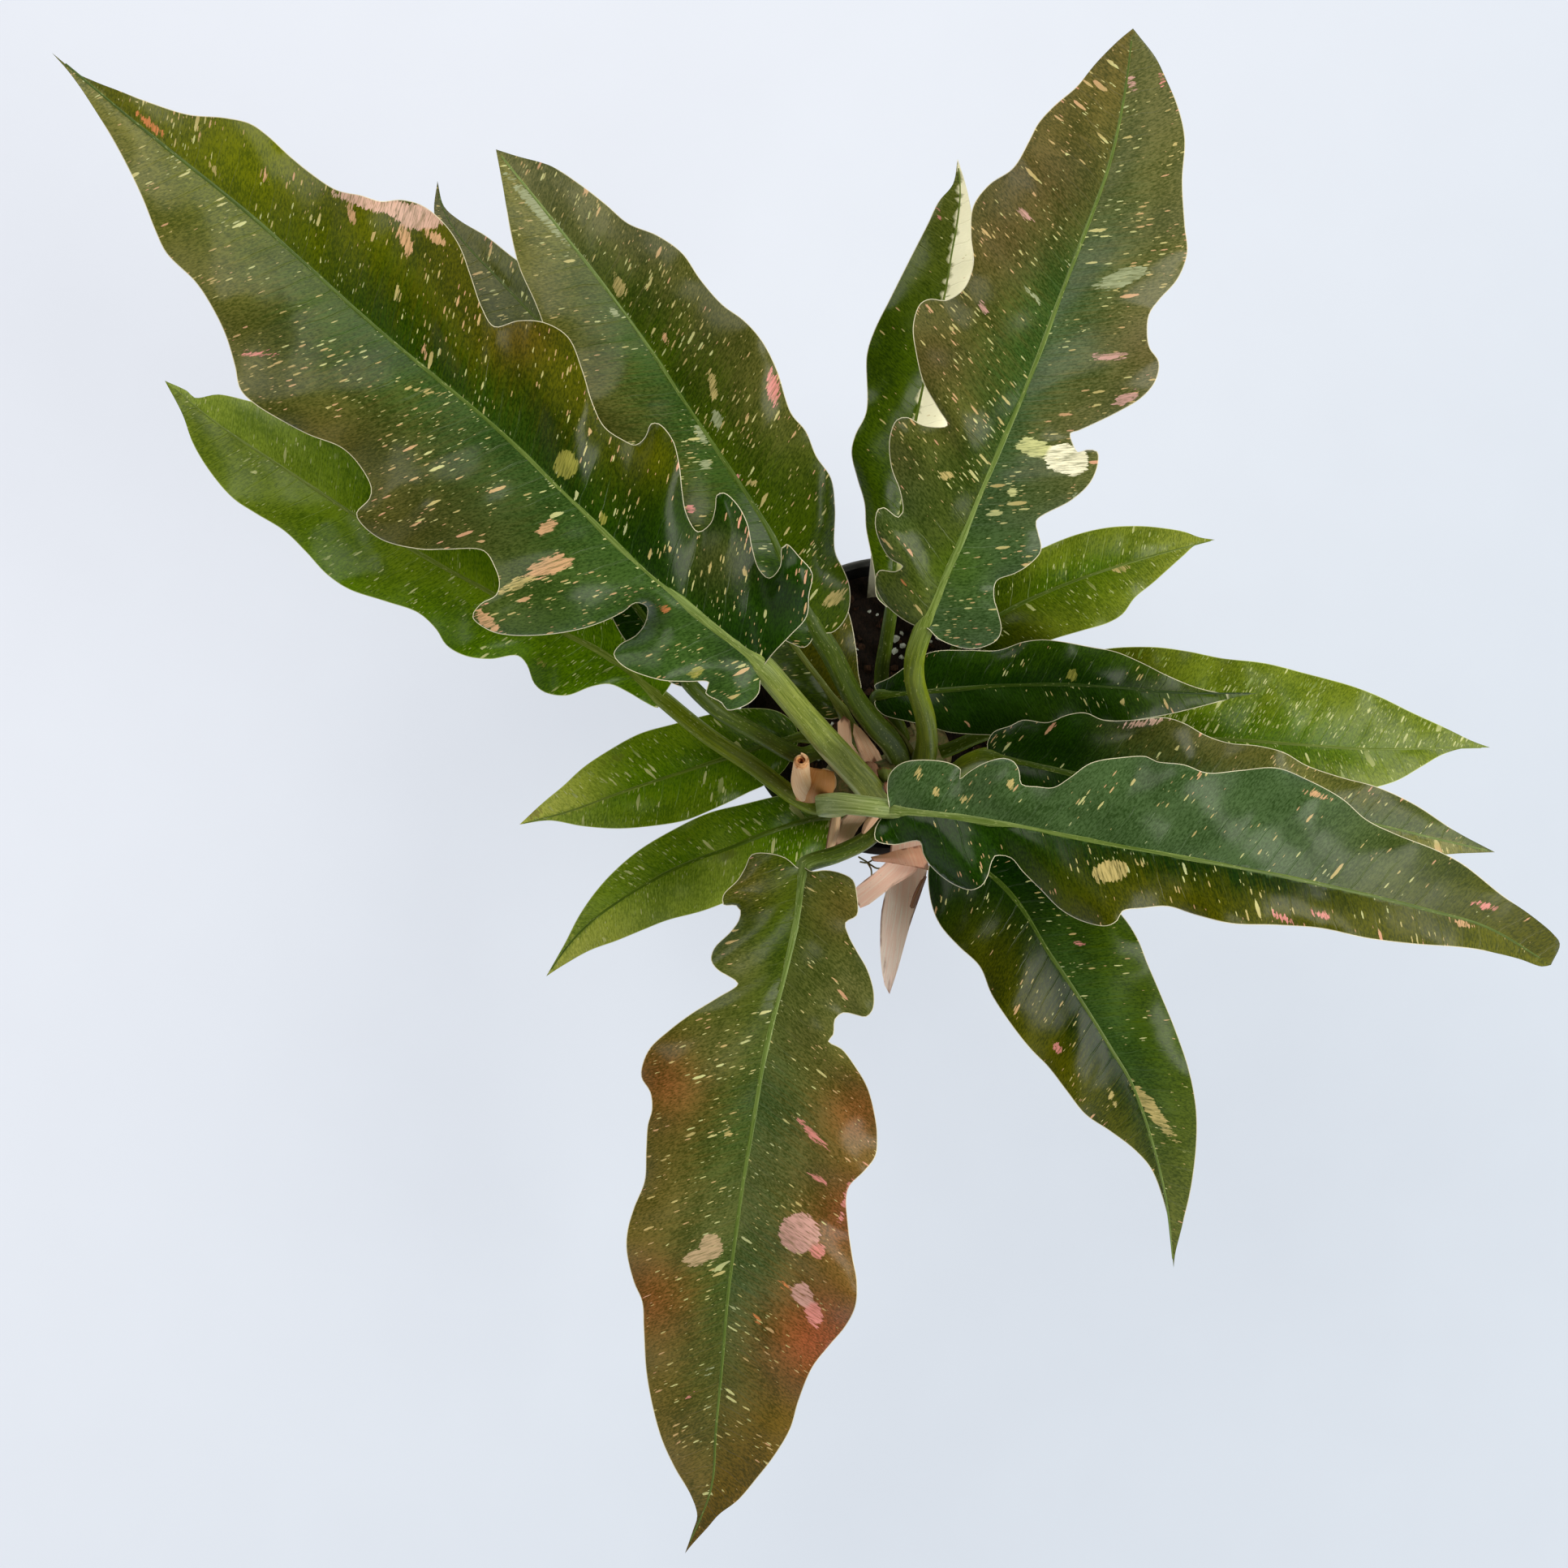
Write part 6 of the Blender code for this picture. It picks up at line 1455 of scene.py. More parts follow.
def stalk_skin(name):
    """Petiole and midrib: each leaf's own green with long fine lines, painted highlights along the edges, a
    painted highlight strip near the stem, and pale specks.
    """
    mat, tree = new_material(name, 0.36, 0.18)
    grain, tint = field(tree, "grain", "Vector"), field(tree, "tint", "Color")
    facing, reach = field(tree, "facing"), field(tree, "reach")
    lines = fibres(grain, STALK_FIBRE, STALK_FIBRE_LONG, detail=4.0, roughness=0.65)
    darker = mixed(1.0, tint, STALK_DARKER, "MULTIPLY")
    lighter = mixed(1.0, tint, STALK_LIGHTER, "MULTIPLY")
    colour = mixed(ease(lines, 0.36, 0.66), darker, lighter)
    groove = ease(abs(field(tree, "across")), 0.0012, 0.0003) * ease(facing, 0.2, 0.8)
    colour = mixed(groove * 0.35, colour, darker)
    # Painted highlights along the midrib's and the petiole's edges
    rib_edge_highlight = ease(facing, 0.86, 0.66) * ease(reach, -0.05, 0.03)
    petiole_edge_highlight = ease(facing, 0.30, 0.05) * ease(reach, 0.0, -0.05)
    colour = mixed((rib_edge_highlight + petiole_edge_highlight) * 0.75, colour, lighter)
    # A painted highlight strip along one edge of the petiole near the stem
    colour = mixed(ease(field(tree, "wing"), 0.64, 0.80) * 0.75, colour, WING_HIGHLIGHT)
    specks = ease(fibres(grain, STALK_FIBRE, STALK_SPECK_LONG), 0.63, 0.70)
    colour = mixed(specks * 0.30, colour, CREAM_GREEN)
    return feed(mat, colour, lines * 0.15 + 0.30, lines, 0.0002)


def sheath_skin(name, pale, deep, dry):
    """A papery sheath: long fine ribs, cloudy pinks, and a thin dry edge."""
    mat, tree = new_material(name, 0.62, 0.3)
    grain = field(tree, "grain", "Vector")
    lines = fibres(grain, STALK_FIBRE, STALK_FIBRE_LONG, detail=3.0, roughness=0.65)
    clouds = fibres(grain, SHEATH_CLOUD, STALK_FIBRE_LONG, detail=3.0)
    colour = mixed(ease(lines, 0.32, 0.68), deep, pale)
    colour = mixed(ease(clouds, 0.48, 0.70) * 0.6, colour, deep)
    colour = mixed(1.0, colour, field(tree, "tone", "Color"), "MULTIPLY")
    dry_edge = ease(field(tree, "rim"), 0.0012, 0.0003) * ease(clouds, 0.45, 0.60)
    colour = mixed(dry_edge * 0.85, colour, dry)
    colour = mixed(ease(fibres(grain, *SHEATH_SPECK), 0.68, 0.74) * 0.5, colour, dry)
    return feed(mat, colour, lines * 0.2 + 0.5, lines, 0.0003, 0.8)


def soil_skin(name, dark, brown, roughness=0.95):
    """Crumbly bark mix, or one of its chips."""
    mat, tree = new_material(name, roughness, 0.2)
    lumps = clouds_of(spot(tree), SOIL_LUMP, detail=5.0, roughness=0.7)
    shade = clouds_of(spot(tree), SOIL_FIBRE, detail=3.0, roughness=0.7) * 0.5 + lumps * 0.5
    colour = mixed(ease(shade, 0.38, 0.66), dark, brown)
    return feed(mat, colour, lumps * 0.2 + (roughness - 0.15), shade, 0.0015, 0.9)


def perlite_skin():
    """Chalky white grains, pitted and a little dusty."""
    mat, tree = new_material("perlite", 0.9, 0.3)
    place = spot(tree)
    pores = Value(put(tree, "TexVoronoi", {"Vector": place, "Scale": 1500.0}).outputs["Distance"])
    dust = clouds_of(place, PERLITE_DUST, detail=3.0)
    colour = mixed(ease(dust, 0.45, 0.75), PERLITE_WHITE, PERLITE_DUSTY)
    colour = mixed(ease(pores, 0.30, 0.08), colour, PERLITE_PIT)
    return feed(mat, colour, dust * 0.1 + 0.85, pores, 0.0004, 0.7)


def pot_skin():
    """Black moulded plastic: faint turning lines, satin patches and a little dust."""
    mat, tree = new_material("black_pot", 0.38, 0.5)
    place = spot(tree)
    rings = noise(joined(0.0, 0.0, parts(place)[2] / POT_TURNING))
    scuffs = clouds_of(place, POT_SCUFF, detail=5.0, roughness=0.7)
    dust = clouds_of(place, POT_DUST)
    colour = mixed(ease(scuffs, 0.40, 0.75), POT_BLACK, POT_WORN)
    colour = mixed(ease(dust, 0.68, 0.76) * 0.35, colour, POT_DUSTY)
    return feed(mat, colour, scuffs * 0.25 + 0.26, rings * 0.5 + dust, 0.0002, 0.4)


def label_skin():
    """White plastic greyed with painted shade, blank, with soil stains near its foot."""
    mat, tree = new_material("white_label", 0.42, 0.5)
    place = spot(tree)
    haze = clouds_of(place, LABEL_HAZE, detail=4.0)
    colour = mixed(ease(haze, 0.35, 0.75), LABEL_SHADED_WHITE, LABEL_DULL)
    stained = ease(parts(place)[2], SOIL_TOP + LABEL_STAIN, SOIL_TOP) * ease(haze, 0.40, 0.58)
    colour = mixed(stained * 0.7, colour, SOIL_STAIN)
    return feed(mat, colour, haze * 0.2 + 0.32, clouds_of(place, LABEL_GRAIN), 0.0001, 0.3)


def stem_skin():
    """The short stem: green and tan, ringed with leaf scars."""
    mat, tree = new_material("stem", 0.55, 0.4)
    bark = fibres(field(tree, "grain", "Vector"), *STEM_FIBRE, detail=4.0, roughness=0.65)
    colour = mixed(ease(bark, 0.35, 0.68), STEM_GREEN, STEM_TAN)
    scar = ease(abs(calc("FRACT", field(tree, "share") * STEM_RINGS) - 0.5), 0.08, 0.02)
    colour = mixed(scar * 0.8, colour, LEAF_SCAR)
    return feed(mat, colour, bark * 0.3 + 0.4, bark - scar, 0.0006, 0.7)


def make_sheath(spec, number, mat):
    """A dried sheath: a narrow papery strip with long ribs, its edges curled."""
    plan, faces, midrib, loop = laid_out(spec, SHEATH_GRID)
    place = blade_surface(spec, plan, midrib, loop)
    ribs = SHEATH_RIB * np.cos(2 * math.pi * place["across"] / SHEATH_RIB_PITCH)
    beat = np.sin(2 * math.pi * place["along"] / SHEATH_BUCKLE_PITCH + number)
    buckle = SHEATH_BUCKLE * beat * place["half"]
    height = place["height"] + ribs + buckle
    grain = np.column_stack([place["across"], np.full(len(plan), LEAF_SHIFT * number), place["along"]])
    # The sheath's tint, darkened as painted shade for the strips inside the crown
    tone = np.tile((*SHEATH_TINTS_AND_SHADE[number - 1], 1.0), (2 * len(plan), 1))
    fields = {"grain": twice(grain), "rim": twice(place["rim"]), "tone": tone}
    verts = np.vstack([sight_point(*plan.T, height), sight_point(*plan.T, height - SHEATH_THICKNESS)])
    solid = both_faces(len(plan), faces)
    sheath = new_piece(spec["name"] + "_paper", verts, solid, mat, fields)
    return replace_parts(sheath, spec["name"])


def eased_line(points, rows, rounds):
    """ROWS points on straight runs through POINTS, eased ROUNDS times, and how far along each one is."""
    share = np.linspace(0.0, 1.0, rows)
    knots = np.linspace(0.0, 1.0, len(points))
    line = np.stack([np.interp(share, knots, column) for column in np.array(points).T], 1)
    for _ in range(rounds):
        line[1:-1] = (line[:-2] + 2 * line[1:-1] + line[2:]) / 4
    return line, share


def make_stem(mat):
    """The leaning stem with its rings of leaf scars, rounded off at its tip."""
    line, share = eased_line(STEM_LINE, STEM_ROWS, STEM_SMOOTHING)
    rings = STEM_RING_DEPTH * np.cos(2 * math.pi * STEM_RINGS * share)
    radius = np.interp(share, np.linspace(0.0, 1.0, len(STEM_RADII)), STEM_RADII) + rings
    radius[-2:] *= STEM_TIP_ROUND
    stem = make_bar("stem_bark", line, 2 * radius, 2 * radius, STEM_ROUND, mat, up=(1.0, 0.0, 0.0))
    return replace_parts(stem, "stem")


def make_roots(mat):
    """Short dry aerial roots from the stem into the mix, and dry twigs beside the crown."""
    for number, points in enumerate(ROOTS, 1):
        line = smooth_line(points, ROOT_STEP)
        width = np.linspace(ROOT_WIDTH, ROOT_WIDTH * 0.5, len(line))
        make_bar(f"aerial_root_{number}", line, width, width, ROOT_SIDES, mat, number=number)
    for number, points in enumerate(TWIGS, 1):
        line = smooth_line([sight_point(*point) for point in points], ROOT_STEP)
        width = np.full(len(line), TWIG_WIDTH)
        make_bar(f"dry_twig_{number}", line, width, width, TWIG_SIDES, mat, number=number)


def turned(profile, sides):
    """Points and faces of a closed body turned about Z from a closed profile of (radius, height)."""
    around = 2 * math.pi * np.arange(sides) / sides
    verts, rows = [], []
    for radius, height in profile:
        if radius == 0.0:
            rows.append([len(verts)] * sides)
            verts.append((0.0, 0.0, height))
        else:
            rows.append(list(range(len(verts), len(verts) + sides)))
            verts.extend((radius * math.cos(a), radius * math.sin(a), height) for a in around)
    faces = []
    for upper, lower in zip(rows, rows[1:] + rows[:1]):
        for j in range(sides):
            k = (j + 1) % sides
            corners = list(dict.fromkeys((upper[j], upper[k], lower[k], lower[j])))
            if len(corners) > 2:
                faces.append(tuple(corners))
    return verts, faces


def pot_radius(height):
    """The pot's outer radius under its rim band."""
    top = POT_RIM_RADIUS - RIM_LIP
    return POT_BASE_RADIUS + (top - POT_BASE_RADIUS) * height / POT_HEIGHT


def make_pot(mat):
    """The tapered pot: rolled rim band, two shallow moulded steps, a foot ring and drain holes."""
    band = POT_HEIGHT - RIM_BAND_HEIGHT
    inner_top, inner_low = pot_radius(POT_HEIGHT) - POT_WALL, pot_radius(POT_FLOOR) - POT_WALL
    foot = [(radius, 0.0) for radius in (0.0, *FOOT_RINGS, POT_BASE_RADIUS - POT_FOOT_CHAMFER)]
    foot += [(pot_radius(POT_FOOT_CHAMFER), POT_FOOT_CHAMFER)]
    steps = []
    for level in POT_STEPS:
        wall = pot_radius(level)
        steps += [(wall, level - 2 * RIM_EDGE), (wall - STEP_DEPTH, level - RIM_EDGE),
                  (wall - STEP_DEPTH, level + RIM_EDGE), (wall, level + 2 * RIM_EDGE)]
    under = pot_radius(band)
    rim = [(under, band), (under + RIM_LIP * 0.7, band + RIM_EDGE * 0.3), (under + RIM_LIP, band + RIM_EDGE),
           (POT_RIM_RADIUS - RIM_DRAFT, POT_HEIGHT - RIM_EDGE * 2),
           (POT_RIM_RADIUS, POT_HEIGHT - RIM_EDGE),
           (POT_RIM_RADIUS - RIM_EDGE * 0.3, POT_HEIGHT - RIM_EDGE * 0.3),
           (POT_RIM_RADIUS - RIM_EDGE, POT_HEIGHT), (inner_top + RIM_EDGE, POT_HEIGHT),
           (inner_top + RIM_EDGE * 0.3, POT_HEIGHT - RIM_EDGE * 0.3), (inner_top, POT_HEIGHT - RIM_EDGE),
           (inner_low, POT_FLOOR + RIM_EDGE), (inner_low - RIM_EDGE, POT_FLOOR), (0.0, POT_FLOOR)]
    verts, faces = turned(foot + steps + rim, POT_SIDES)
    pot = new_piece("nursery_pot", verts, faces, mat, smooth_angle=40.0)
    drill_holes(pot)
    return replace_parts(pot, "pot")


def drill_holes(pot):
    """Cuts the round drain holes through the pot's floor."""
    low, high = -DRILL_CLEAR, POT_FLOOR + DRILL_CLEAR
    verts, faces = turned([(0.0, low), (DRAIN_RADIUS, low), (DRAIN_RADIUS, high), (0.0, high)], DRAIN_SIDES)
    body = bmesh.new()
    for i in range(DRAIN_HOLES):
        turn = 2 * math.pi * i / DRAIN_HOLES
        shift = Vector((DRAIN_RING_RADIUS * math.cos(turn), DRAIN_RING_RADIUS * math.sin(turn), 0.0))
        corners = [body.verts.new(Vector(point) + shift) for point in verts]
        for face in faces:
            body.faces.new([corners[k] for k in face])
    bmesh.ops.recalc_face_normals(body, faces=body.faces)
    mesh = bpy.data.meshes.new("drill")
    body.to_mesh(mesh)
    body.free()
    cutter = bpy.data.objects.new("drain_cutter", mesh)
    bpy.context.scene.collection.objects.link(cutter)
    cut = pot.modifiers.new("drain holes", "BOOLEAN")
    cut.operation = "DIFFERENCE"
    cut.object = cutter
    cut.solver = "EXACT"
    bpy.context.view_layer.update()
    made = bpy.data.meshes.new_from_object(pot.evaluated_get(bpy.context.evaluated_depsgraph_get()))
    pot.modifiers.remove(cut)
    pot.data = made
    bpy.data.objects.remove(cutter)


def soil_level(x, y):
    """The lumpy top of the mix."""
    broad = math.sin(310 * x + 1.0) * math.cos(270 * y) + 0.6 * math.sin(520 * y + 410 * x)
    small = math.sin(1900 * x + 700 * y) * math.sin(1500 * y - 900 * x + 2.0)
    return SOIL_TOP + SOIL_SWELL * broad + SOIL_LUMPS * small


def make_soil(mat):
    """The mix that fills the pot, lumpy on top."""
    low = POT_FLOOR + GAP
    edge_low, edge_top = (pot_radius(h) - POT_WALL - 1.5 * GAP for h in (low, SOIL_TOP))
    rings = [edge_top * i / SOIL_ROWS for i in range(SOIL_ROWS + 1)]
    verts, faces = turned([(r, SOIL_TOP) for r in rings] + [(edge_low, low), (0.0, low)], SOIL_ROUND)
    verts = np.array(verts)
    for i, (x, y, z) in enumerate(verts):
        if z > SOIL_TOP - GAP and math.hypot(x, y) < edge_top - GAP:
            verts[i, 2] = soil_level(x, y)
    soil = new_piece("potting_mix", verts, faces, mat)
    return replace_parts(soil, "soil")


def lump(draw, middle, sizes):
    """An irregular chunk: the hull of random points in a squashed ball, turned at random."""
    body = bmesh.new()
    spin = [draw.uniform(0, 2 * math.pi) for _ in range(3)]
    lean = Vector((math.sin(spin[0]) * LUMP_JAG, math.cos(spin[0]) * LUMP_JAG, 1.0))
    turn = Vector((0, 0, 1)).rotation_difference(lean)
    for _ in range(LUMP_POINTS):
        way = Vector([draw.gauss(0, 1) for _ in range(3)]).normalized() * draw.uniform(*LUMP_REACH)
        point = Vector([way[k] * sizes[k] / 2 for k in range(3)])
        point.rotate(turn)
        c, s = math.cos(spin[1]), math.sin(spin[1])
        point = Vector((point.x * c - point.y * s, point.x * s + point.y * c, point.z))
        body.verts.new(point + Vector(middle))
    hull = bmesh.ops.convex_hull(body, input=body.verts)
    bmesh.ops.delete(body, geom=[g for g in hull["geom_interior"] if isinstance(g, bmesh.types.BMVert)],
                     context="VERTS")
    body.verts.index_update()
    verts = [tuple(v.co) for v in body.verts]
    faces = [tuple(v.index for v in f.verts) for f in body.faces]
    body.free()
    return verts, faces


def scatter(name, mat, count, sizes, seed, sink):
    """COUNT chunks lying on the mix, clear of the stem and the label, all in one piece. SINK is how far
    each one's middle stands above the mix, over its height."""
    draw = random.Random(seed)
    verts, faces = [], []
    reach = pot_radius(SOIL_TOP) - POT_WALL - sizes[1]
    while count:
        x, y = (draw.uniform(-reach, reach) for _ in range(2))
        if math.hypot(x, y) > reach or math.hypot(x - STEM_LINE[1][0], y - STEM_LINE[1][1]) < STEM_BERTH:
            continue
        wide, deep = LABEL_BERTH
        if abs(x - LABEL_FOOT[0]) < wide and abs(y - LABEL_FOOT[1] - wide) < deep:
            continue
        long = draw.uniform(*sizes)
        shape = (long, long * draw.uniform(*CHUNK_WIDTHS), long * draw.uniform(*CHUNK_HEIGHTS))
        more, corners = lump(draw, (x, y, soil_level(x, y) + shape[2] * sink), shape)
        faces += [tuple(i + len(verts) for i in f) for f in corners]
        verts += more
        count -= 1
    return new_piece(name, verts, faces, mat, smooth_angle=CHUNK_ANGLE)


def make_label(mat):
    """The blank plant label, its edges eased and its top corners cut."""
    foot, top = np.array(LABEL_FOOT), np.array(LABEL_TOP)
    lean = (top - foot) / np.linalg.norm(top - foot)
    across = np.array((1.0, 0.0, 0.0))
    through = np.cross(across, lean)
    half, long = LABEL_WIDTH / 2, np.linalg.norm(top - foot)
    straight = long - 3 * LABEL_CORNER
    rows = [(0.0, LABEL_POINT), (2 * LABEL_CORNER, 1.0)]
    rows += [(2 * LABEL_CORNER + straight * i / LABEL_ROWS, 1.0) for i in range(1, LABEL_ROWS + 1)]
    rows += [(long, 1.0 - LABEL_CORNER / half)]
    ease_in = LABEL_THICKNESS * LABEL_EASE
    rounds = [(-1, -0.5), (-1 + ease_in / half, -1), (1 - ease_in / half, -1), (1, -0.5), (1, 0.5),
              (1 - ease_in / half, 1), (-1 + ease_in / half, 1), (-1, 0.5)]
    verts = []
    for along, wide in rows:
        bow = LABEL_BOW * math.sin(math.pi * along / long)
        middle = foot + lean * along
        verts += [middle + across * (x * half * wide) + through * (y * LABEL_THICKNESS / 2 + bow)
                  for x, y in rounds]
    faces = bar_faces(len(rows), len(rounds))
    label = new_piece("blank_label", verts, faces, mat, smooth_angle=60.0)
    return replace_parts(label, "plant_label")


def make_spear(mat):
    """The rolled new leaf: a sheet wound on itself, with the turns showing at its open top and its inner
    turns darkened as painted shade.
    """
    line, share = eased_line(SPEAR_LINE, SPEAR_ROWS, SPEAR_SMOOTHING)
    _, upright, sideways = turning_frame(line, (1.0, 0.0, 0.0))
    radius = np.interp(share, (0.0, 0.5, 1.0), SPEAR_RADII)
    angle = np.linspace(0.0, 2 * math.pi * ROLL_TURNS, ROLL_POINTS)
    even = np.ones(ROLL_POINTS)
    verts, grain, rim = [], [], []
    for i in range(SPEAR_ROWS):
        slope = ROLL_LIP * share[i] ** 6
        for wall in (0.0, SHEATH_THICKNESS):
            shrink = 1.0 - ROLL_GAP * angle / (2 * math.pi) - wall / radius[i]
            lift = np.outer(slope * np.sin(angle * 0.5), np.cross(sideways[i], upright[i]))
            verts.append(line[i] + np.outer(np.cos(angle) * radius[i] * shrink, sideways[i])
                         + np.outer(np.sin(angle) * radius[i] * shrink, upright[i]) + lift)
            grain.append(np.column_stack([angle * radius[i], SPEAR_SHIFT * even,
                                          share[i] * SPEAR_GRAIN * even]))
            rim.append((1 - share[i]) * SPEAR_RIM * even)
    faces = sheet_faces(SPEAR_ROWS, ROLL_POINTS)
    # The inner turns are darkened as painted shade inside the roll
    turns = (angle / (2 * math.pi) - ROLL_INNER[0]) / ROLL_INNER[1]
    inner = np.tile(np.clip(turns, 0.0, 1.0), 2 * SPEAR_ROWS)[:, None]
    tone = with_alpha(1.0 + inner * (np.array(ROLL_SHADE_TONE) - 1.0))
    spear = new_piece("rolled_new_leaf", np.vstack(verts), faces, mat,
                      {"grain": np.vstack(grain), "rim": np.concatenate(rim), "tone": tone})
    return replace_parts(spear, "new_leaf_spear")


def sheet_faces(rows, columns):
    """Faces of a thin closed sheet whose points run row by row, outer then inner wall in each row."""
    out = np.arange(rows)[:, None] * 2 * columns + np.arange(columns)
    inn = out + columns
    faces = []
    for i in range(rows - 1):
        for j in range(columns - 1):
            faces.append((out[i, j], out[i, j + 1], out[i + 1, j + 1], out[i + 1, j]))
            faces.append((inn[i + 1, j], inn[i + 1, j + 1], inn[i, j + 1], inn[i, j]))
        for j, flip in ((0, 1), (columns - 1, -1)):
            faces.append((out[i, j], out[i + 1, j], inn[i + 1, j], inn[i, j])[::flip])
    for i, flip in ((0, -1), (rows - 1, 1)):
        for j in range(columns - 1):
            faces.append((out[i, j], out[i, j + 1], inn[i, j + 1], inn[i, j])[::flip])
    return faces


def both_walls(values):
    """The values of a sheet's outer points, row by row, each row again for its inner ones."""
    return np.stack([values, values], 1).reshape(-1, *values.shape[2:])


def evenly(line, count):
    """COUNT evenly spaced points on a smooth curve through LINE."""
    line = smooth_line(line, 0.5)
    run = run_along(line)
    at = np.linspace(0.0, run[-1], count)
    return np.stack([np.interp(at, run, column) for column in line.T], 1)


def curved_grid(rows, fine_rows, fine_columns):
    """A smooth sheet of points through rows of control points, with height in plan units meanwhile."""
    scale = (1.0, 1.0, VIEW_SCALE)
    across = [evenly(np.array(row, float) * scale, fine_columns) for row in rows]
    down = [evenly([row[j] for row in across], fine_rows) for j in range(fine_columns)]
    return np.stack(down, 1) / scale


def make_flap(name, rows, tone, mat):
    """A curled piece of sheath through rows of (right, down, height)."""
    sheet = curved_grid(rows, FLAP_ROWS, FLAP_COLUMNS)
    top = sight_point(*sheet.reshape(-1, 3).T).reshape(sheet.shape)
    along = np.gradient(top, axis=0)
    across = np.gradient(top, axis=1)
    normal = np.cross(across, along)
    normal /= np.linalg.norm(normal, axis=2)[..., None]
    normal *= np.where(normal[..., 2:] < 0, -1.0, 1.0)
    u, v = np.meshgrid(np.linspace(0, 1, FLAP_COLUMNS), np.linspace(0, 1, FLAP_ROWS))
    spread = np.linalg.norm(np.diff(top, axis=1), axis=2).sum(1).mean()
    length = np.linalg.norm(np.diff(top, axis=0), axis=2).sum(0).mean()
    rib = FLAP_RIB * np.cos(2 * math.pi * u * spread / SHEATH_RIB_PITCH)
    outer = top + normal * rib[..., None]
    inner = outer - normal * FLAP_WALL
    verts = np.stack([outer, inner], 1).reshape(-1, 3)
    grain = np.stack([u * spread, np.full(u.shape, FLAP_SHIFT + rows[0][0][0]), v * length], 2)
    rim = np.minimum(np.minimum(u, 1 - u) * spread, np.minimum(v, 1 - v) * length)
    fields = {"grain": both_walls(grain), "rim": both_walls(rim),
              "tone": np.tile((*tone, 1.0), (2 * FLAP_ROWS * FLAP_COLUMNS, 1))}
    return new_piece(name, verts, sheet_faces(FLAP_ROWS, FLAP_COLUMNS), mat, fields)


def soft_light(name, place, size, power, colour):
    """A square soft box that faces the plant."""
    data = bpy.data.lights.new(name, "AREA")
    data.size = size
    data.energy = power
    data.color = colour
    lamp = bpy.data.objects.new(name, data)
    lamp.location = place
    lamp.rotation_euler = (Vector(LIGHTS_FACE) - Vector(place)).to_track_quat("-Z", "Y").to_euler()
    bpy.context.scene.collection.objects.link(lamp)


def make_floor():
    """The pale floor, with a slow slant of light over it."""
    mesh = bpy.data.meshes.new("floor")
    corners = [(x * FLOOR_REACH, y * FLOOR_REACH, 0.0) for x, y in ((-1, -1), (1, -1), (1, 1), (-1, 1))]
    mesh.from_pydata(corners, [], [(0, 1, 2, 3)])
    mat, tree = new_material("pale_floor", 0.85, 0.2)
    place = spot(tree)
    right, back, _ = parts(place)
    colour = mixed(ease(back - right, *FLOOR_SLANT), FLOOR_LOWER_RIGHT, FLOOR_UPPER_LEFT)
    colour = mixed(clouds_of(place, FLOOR_CLOUD, detail=3.0) * FLOOR_MOTTLING, colour, FLOOR_MOTTLE)
    shader = tree.nodes["Principled BSDF"]
    tree.links.new(mixed(1.0, colour, [FLOOR_DULL] * 3, "MULTIPLY").socket, shader.inputs["Base Color"])
    tree.links.new(colour.socket, shader.inputs["Emission Color"])
    shader.inputs["Emission Strength"].default_value = FLOOR_GLOW
    mesh.materials.append(mat)
    floor = bpy.data.objects.new("floor", mesh)
    bpy.context.scene.collection.objects.link(floor)


def make_lights():
    """An even sky and two soft boxes."""
    world = bpy.data.worlds.new("sky")
    world.use_nodes = True
    sky = world.node_tree
    up = parts(spot(sky, "Generated"))[2]
    colour = mixed(ease(up, *SKY_BAND), SKY_LOW, SKY_HIGH)
    sky.links.new(colour.socket, sky.nodes["Background"].inputs["Color"])
    sky.nodes["Background"].inputs["Strength"].default_value = SKY_STRENGTH
    bpy.context.scene.world = world
    for light in SOFT_BOXES:
        soft_light(**light)


def make_camera():
    """The camera, straight above the plant."""
    data = bpy.data.cameras.new("camera")
    data.sensor_fit = "HORIZONTAL"
    data.sensor_width = SENSOR
    data.lens = SENSOR * PLAN_FOCAL / (2 * PLAN_MIDDLE)
    camera = bpy.data.objects.new("camera", data)
    camera.location = (VIEW_X, VIEW_Y, VIEW_HEIGHT)
    bpy.context.scene.collection.objects.link(camera)
    bpy.context.scene.camera = camera
    bpy.context.scene.view_settings.view_transform = "Standard"
    bpy.context.scene.view_settings.look = "None"


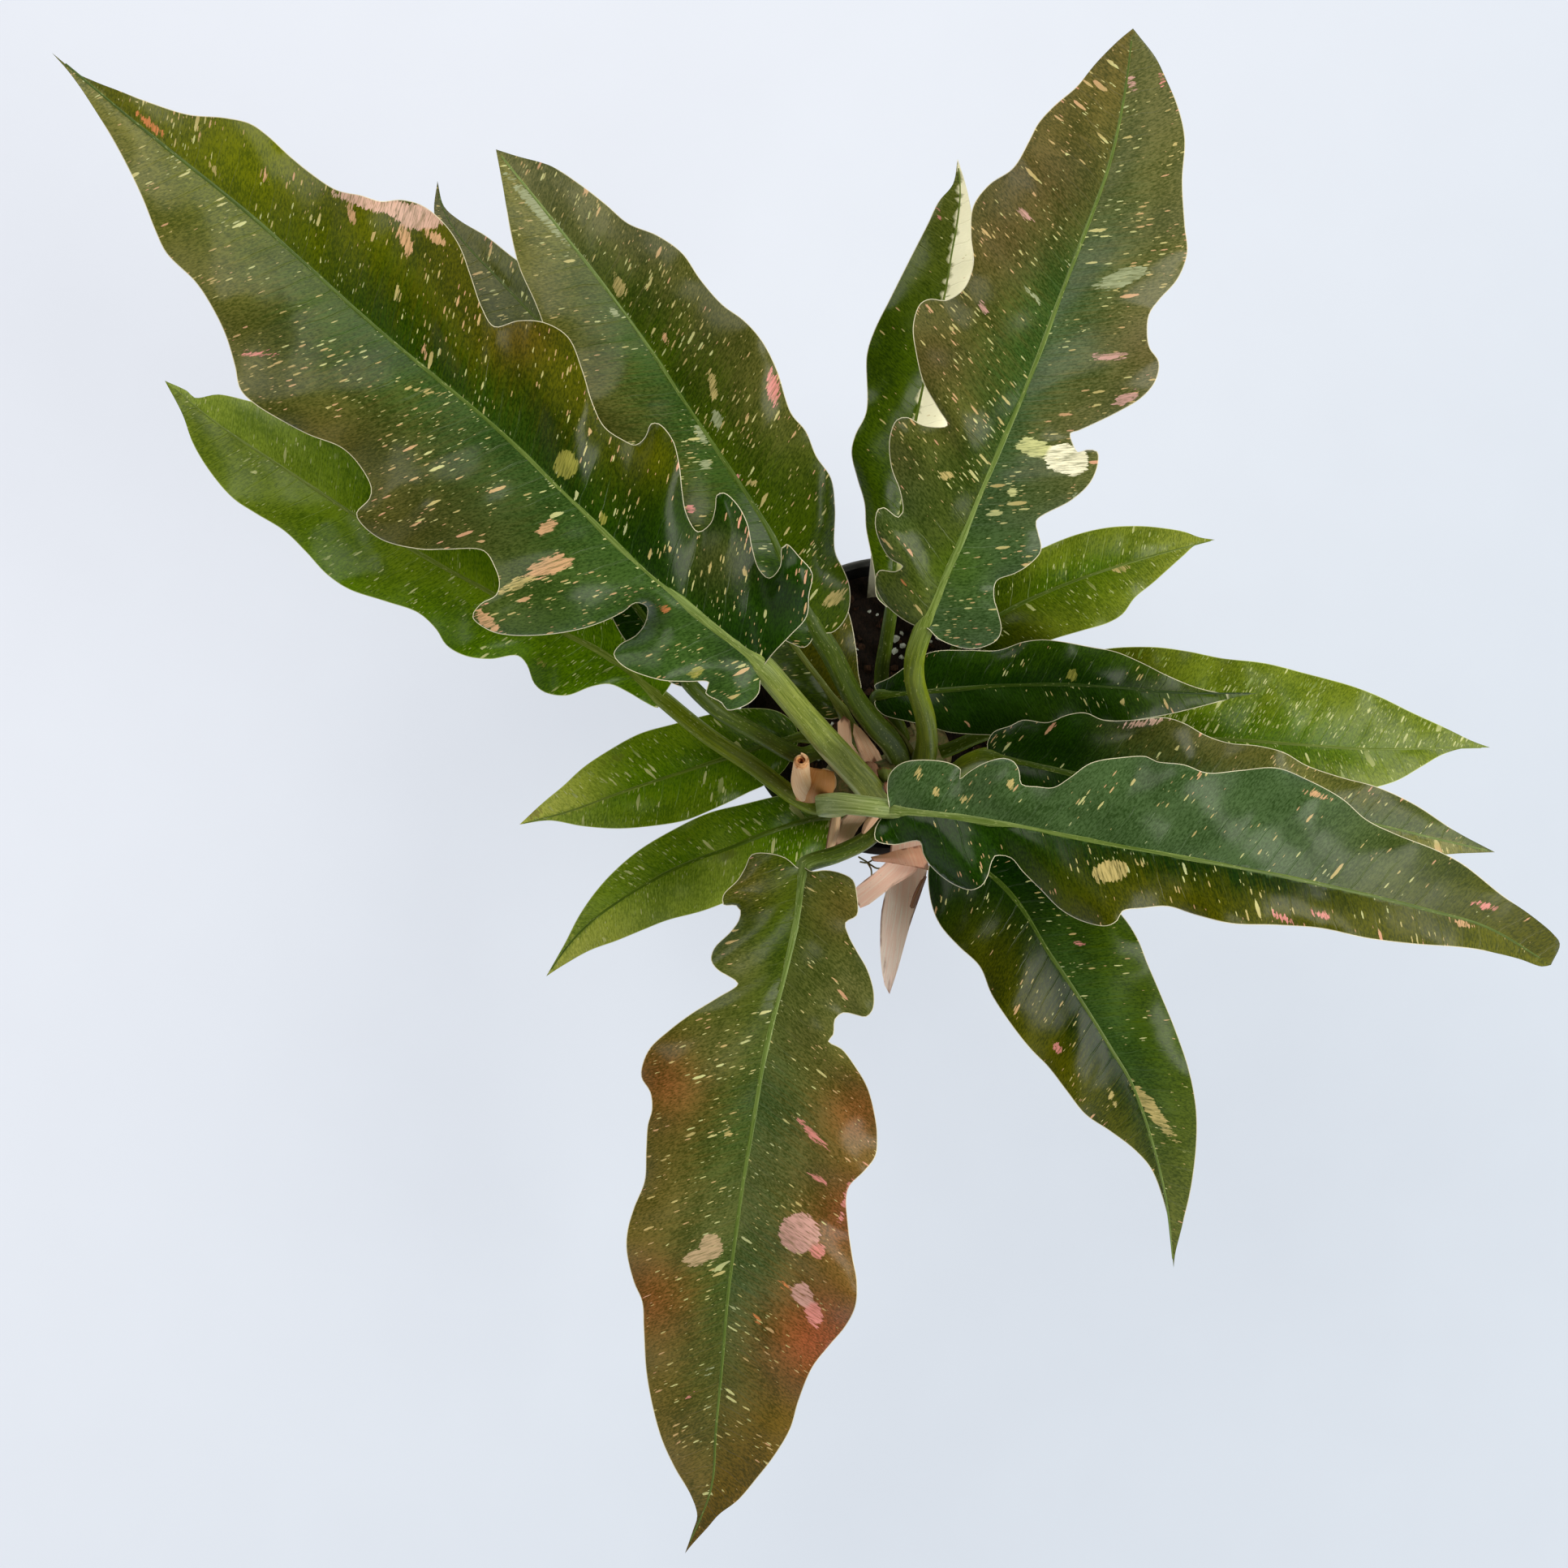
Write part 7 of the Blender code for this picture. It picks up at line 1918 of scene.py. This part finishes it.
def scatter_perlite(mat):
    """Pale grains all over the mix, and the larger lumps that show between the leaves."""
    scatter("perlite_grains", mat, PERLITE_COUNT, PERLITE_SIZES, seed=8, sink=0.30)
    draw = random.Random(21)
    for number, (right, down, size) in enumerate(PERLITE_CHUNKS, 1):
        x, y, _ = sight_point(float(right), float(down), SOIL_TOP)
        verts, faces = lump(draw, (x, y, soil_level(x, y) + size * 0.2), (size, size * 0.85, size * 0.6))
        new_piece(f"perlite_chunk_{number}", verts, faces, mat, smooth_angle=CHUNK_ANGLE)


def main():
    """The studio, then every piece, in the order of their random draws."""
    make_floor()
    make_lights()
    make_camera()
    dark = leaf_skin("dark_leaf_skin", DARK_FLECKS, DARK_MARGIN, tiny_share=0.40, small_share=0.25)
    fresh = leaf_skin("fresh_leaf_skin", FRESH_FLECKS, FRESH_MARGIN, tiny_share=0.40, small_share=0.18)
    skins = {"dark_leaf": dark, "fresh_leaf": fresh}
    stalk = stalk_skin("stalk_skin")
    for number, spec in enumerate(LEAVES, 1):
        make_blade(spec, number, skins[spec["colour"]])
        make_stalk(spec, number, stalk)
    papery = sheath_skin("dried_sheath_skin", PAPER_PALE, PAPER_DEEP, PAPER_DRY)
    peach = sheath_skin("peach_sheath_skin", PEACH_PALE, PEACH_DEEP, PEACH_DRY)
    for number, spec in enumerate(SHEATHS, 1):
        make_sheath(spec, number, papery)
    make_spear(peach)
    collar = make_flap("open_sheath", OPEN_SHEATH, OPEN_SHEATH_TONE, peach)
    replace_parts(collar, "peach_sheath_collar")
    for name, tone, rows in FLAPS:
        make_flap(name, rows, tone, papery)
    bark = stem_skin()
    make_stem(bark)
    make_roots(bark)
    make_pot(pot_skin())
    make_soil(soil_skin("potting_mix_skin", MIX_DARK, MIX_BROWN))
    chip = soil_skin("bark_chip_skin", CHIP_DARK, CHIP_BROWN, 0.85)
    scatter("bark_chips", chip, CHIP_COUNT, CHIP_SIZES, seed=5, sink=0.15)
    scatter_perlite(perlite_skin())
    make_label(label_skin())


main()
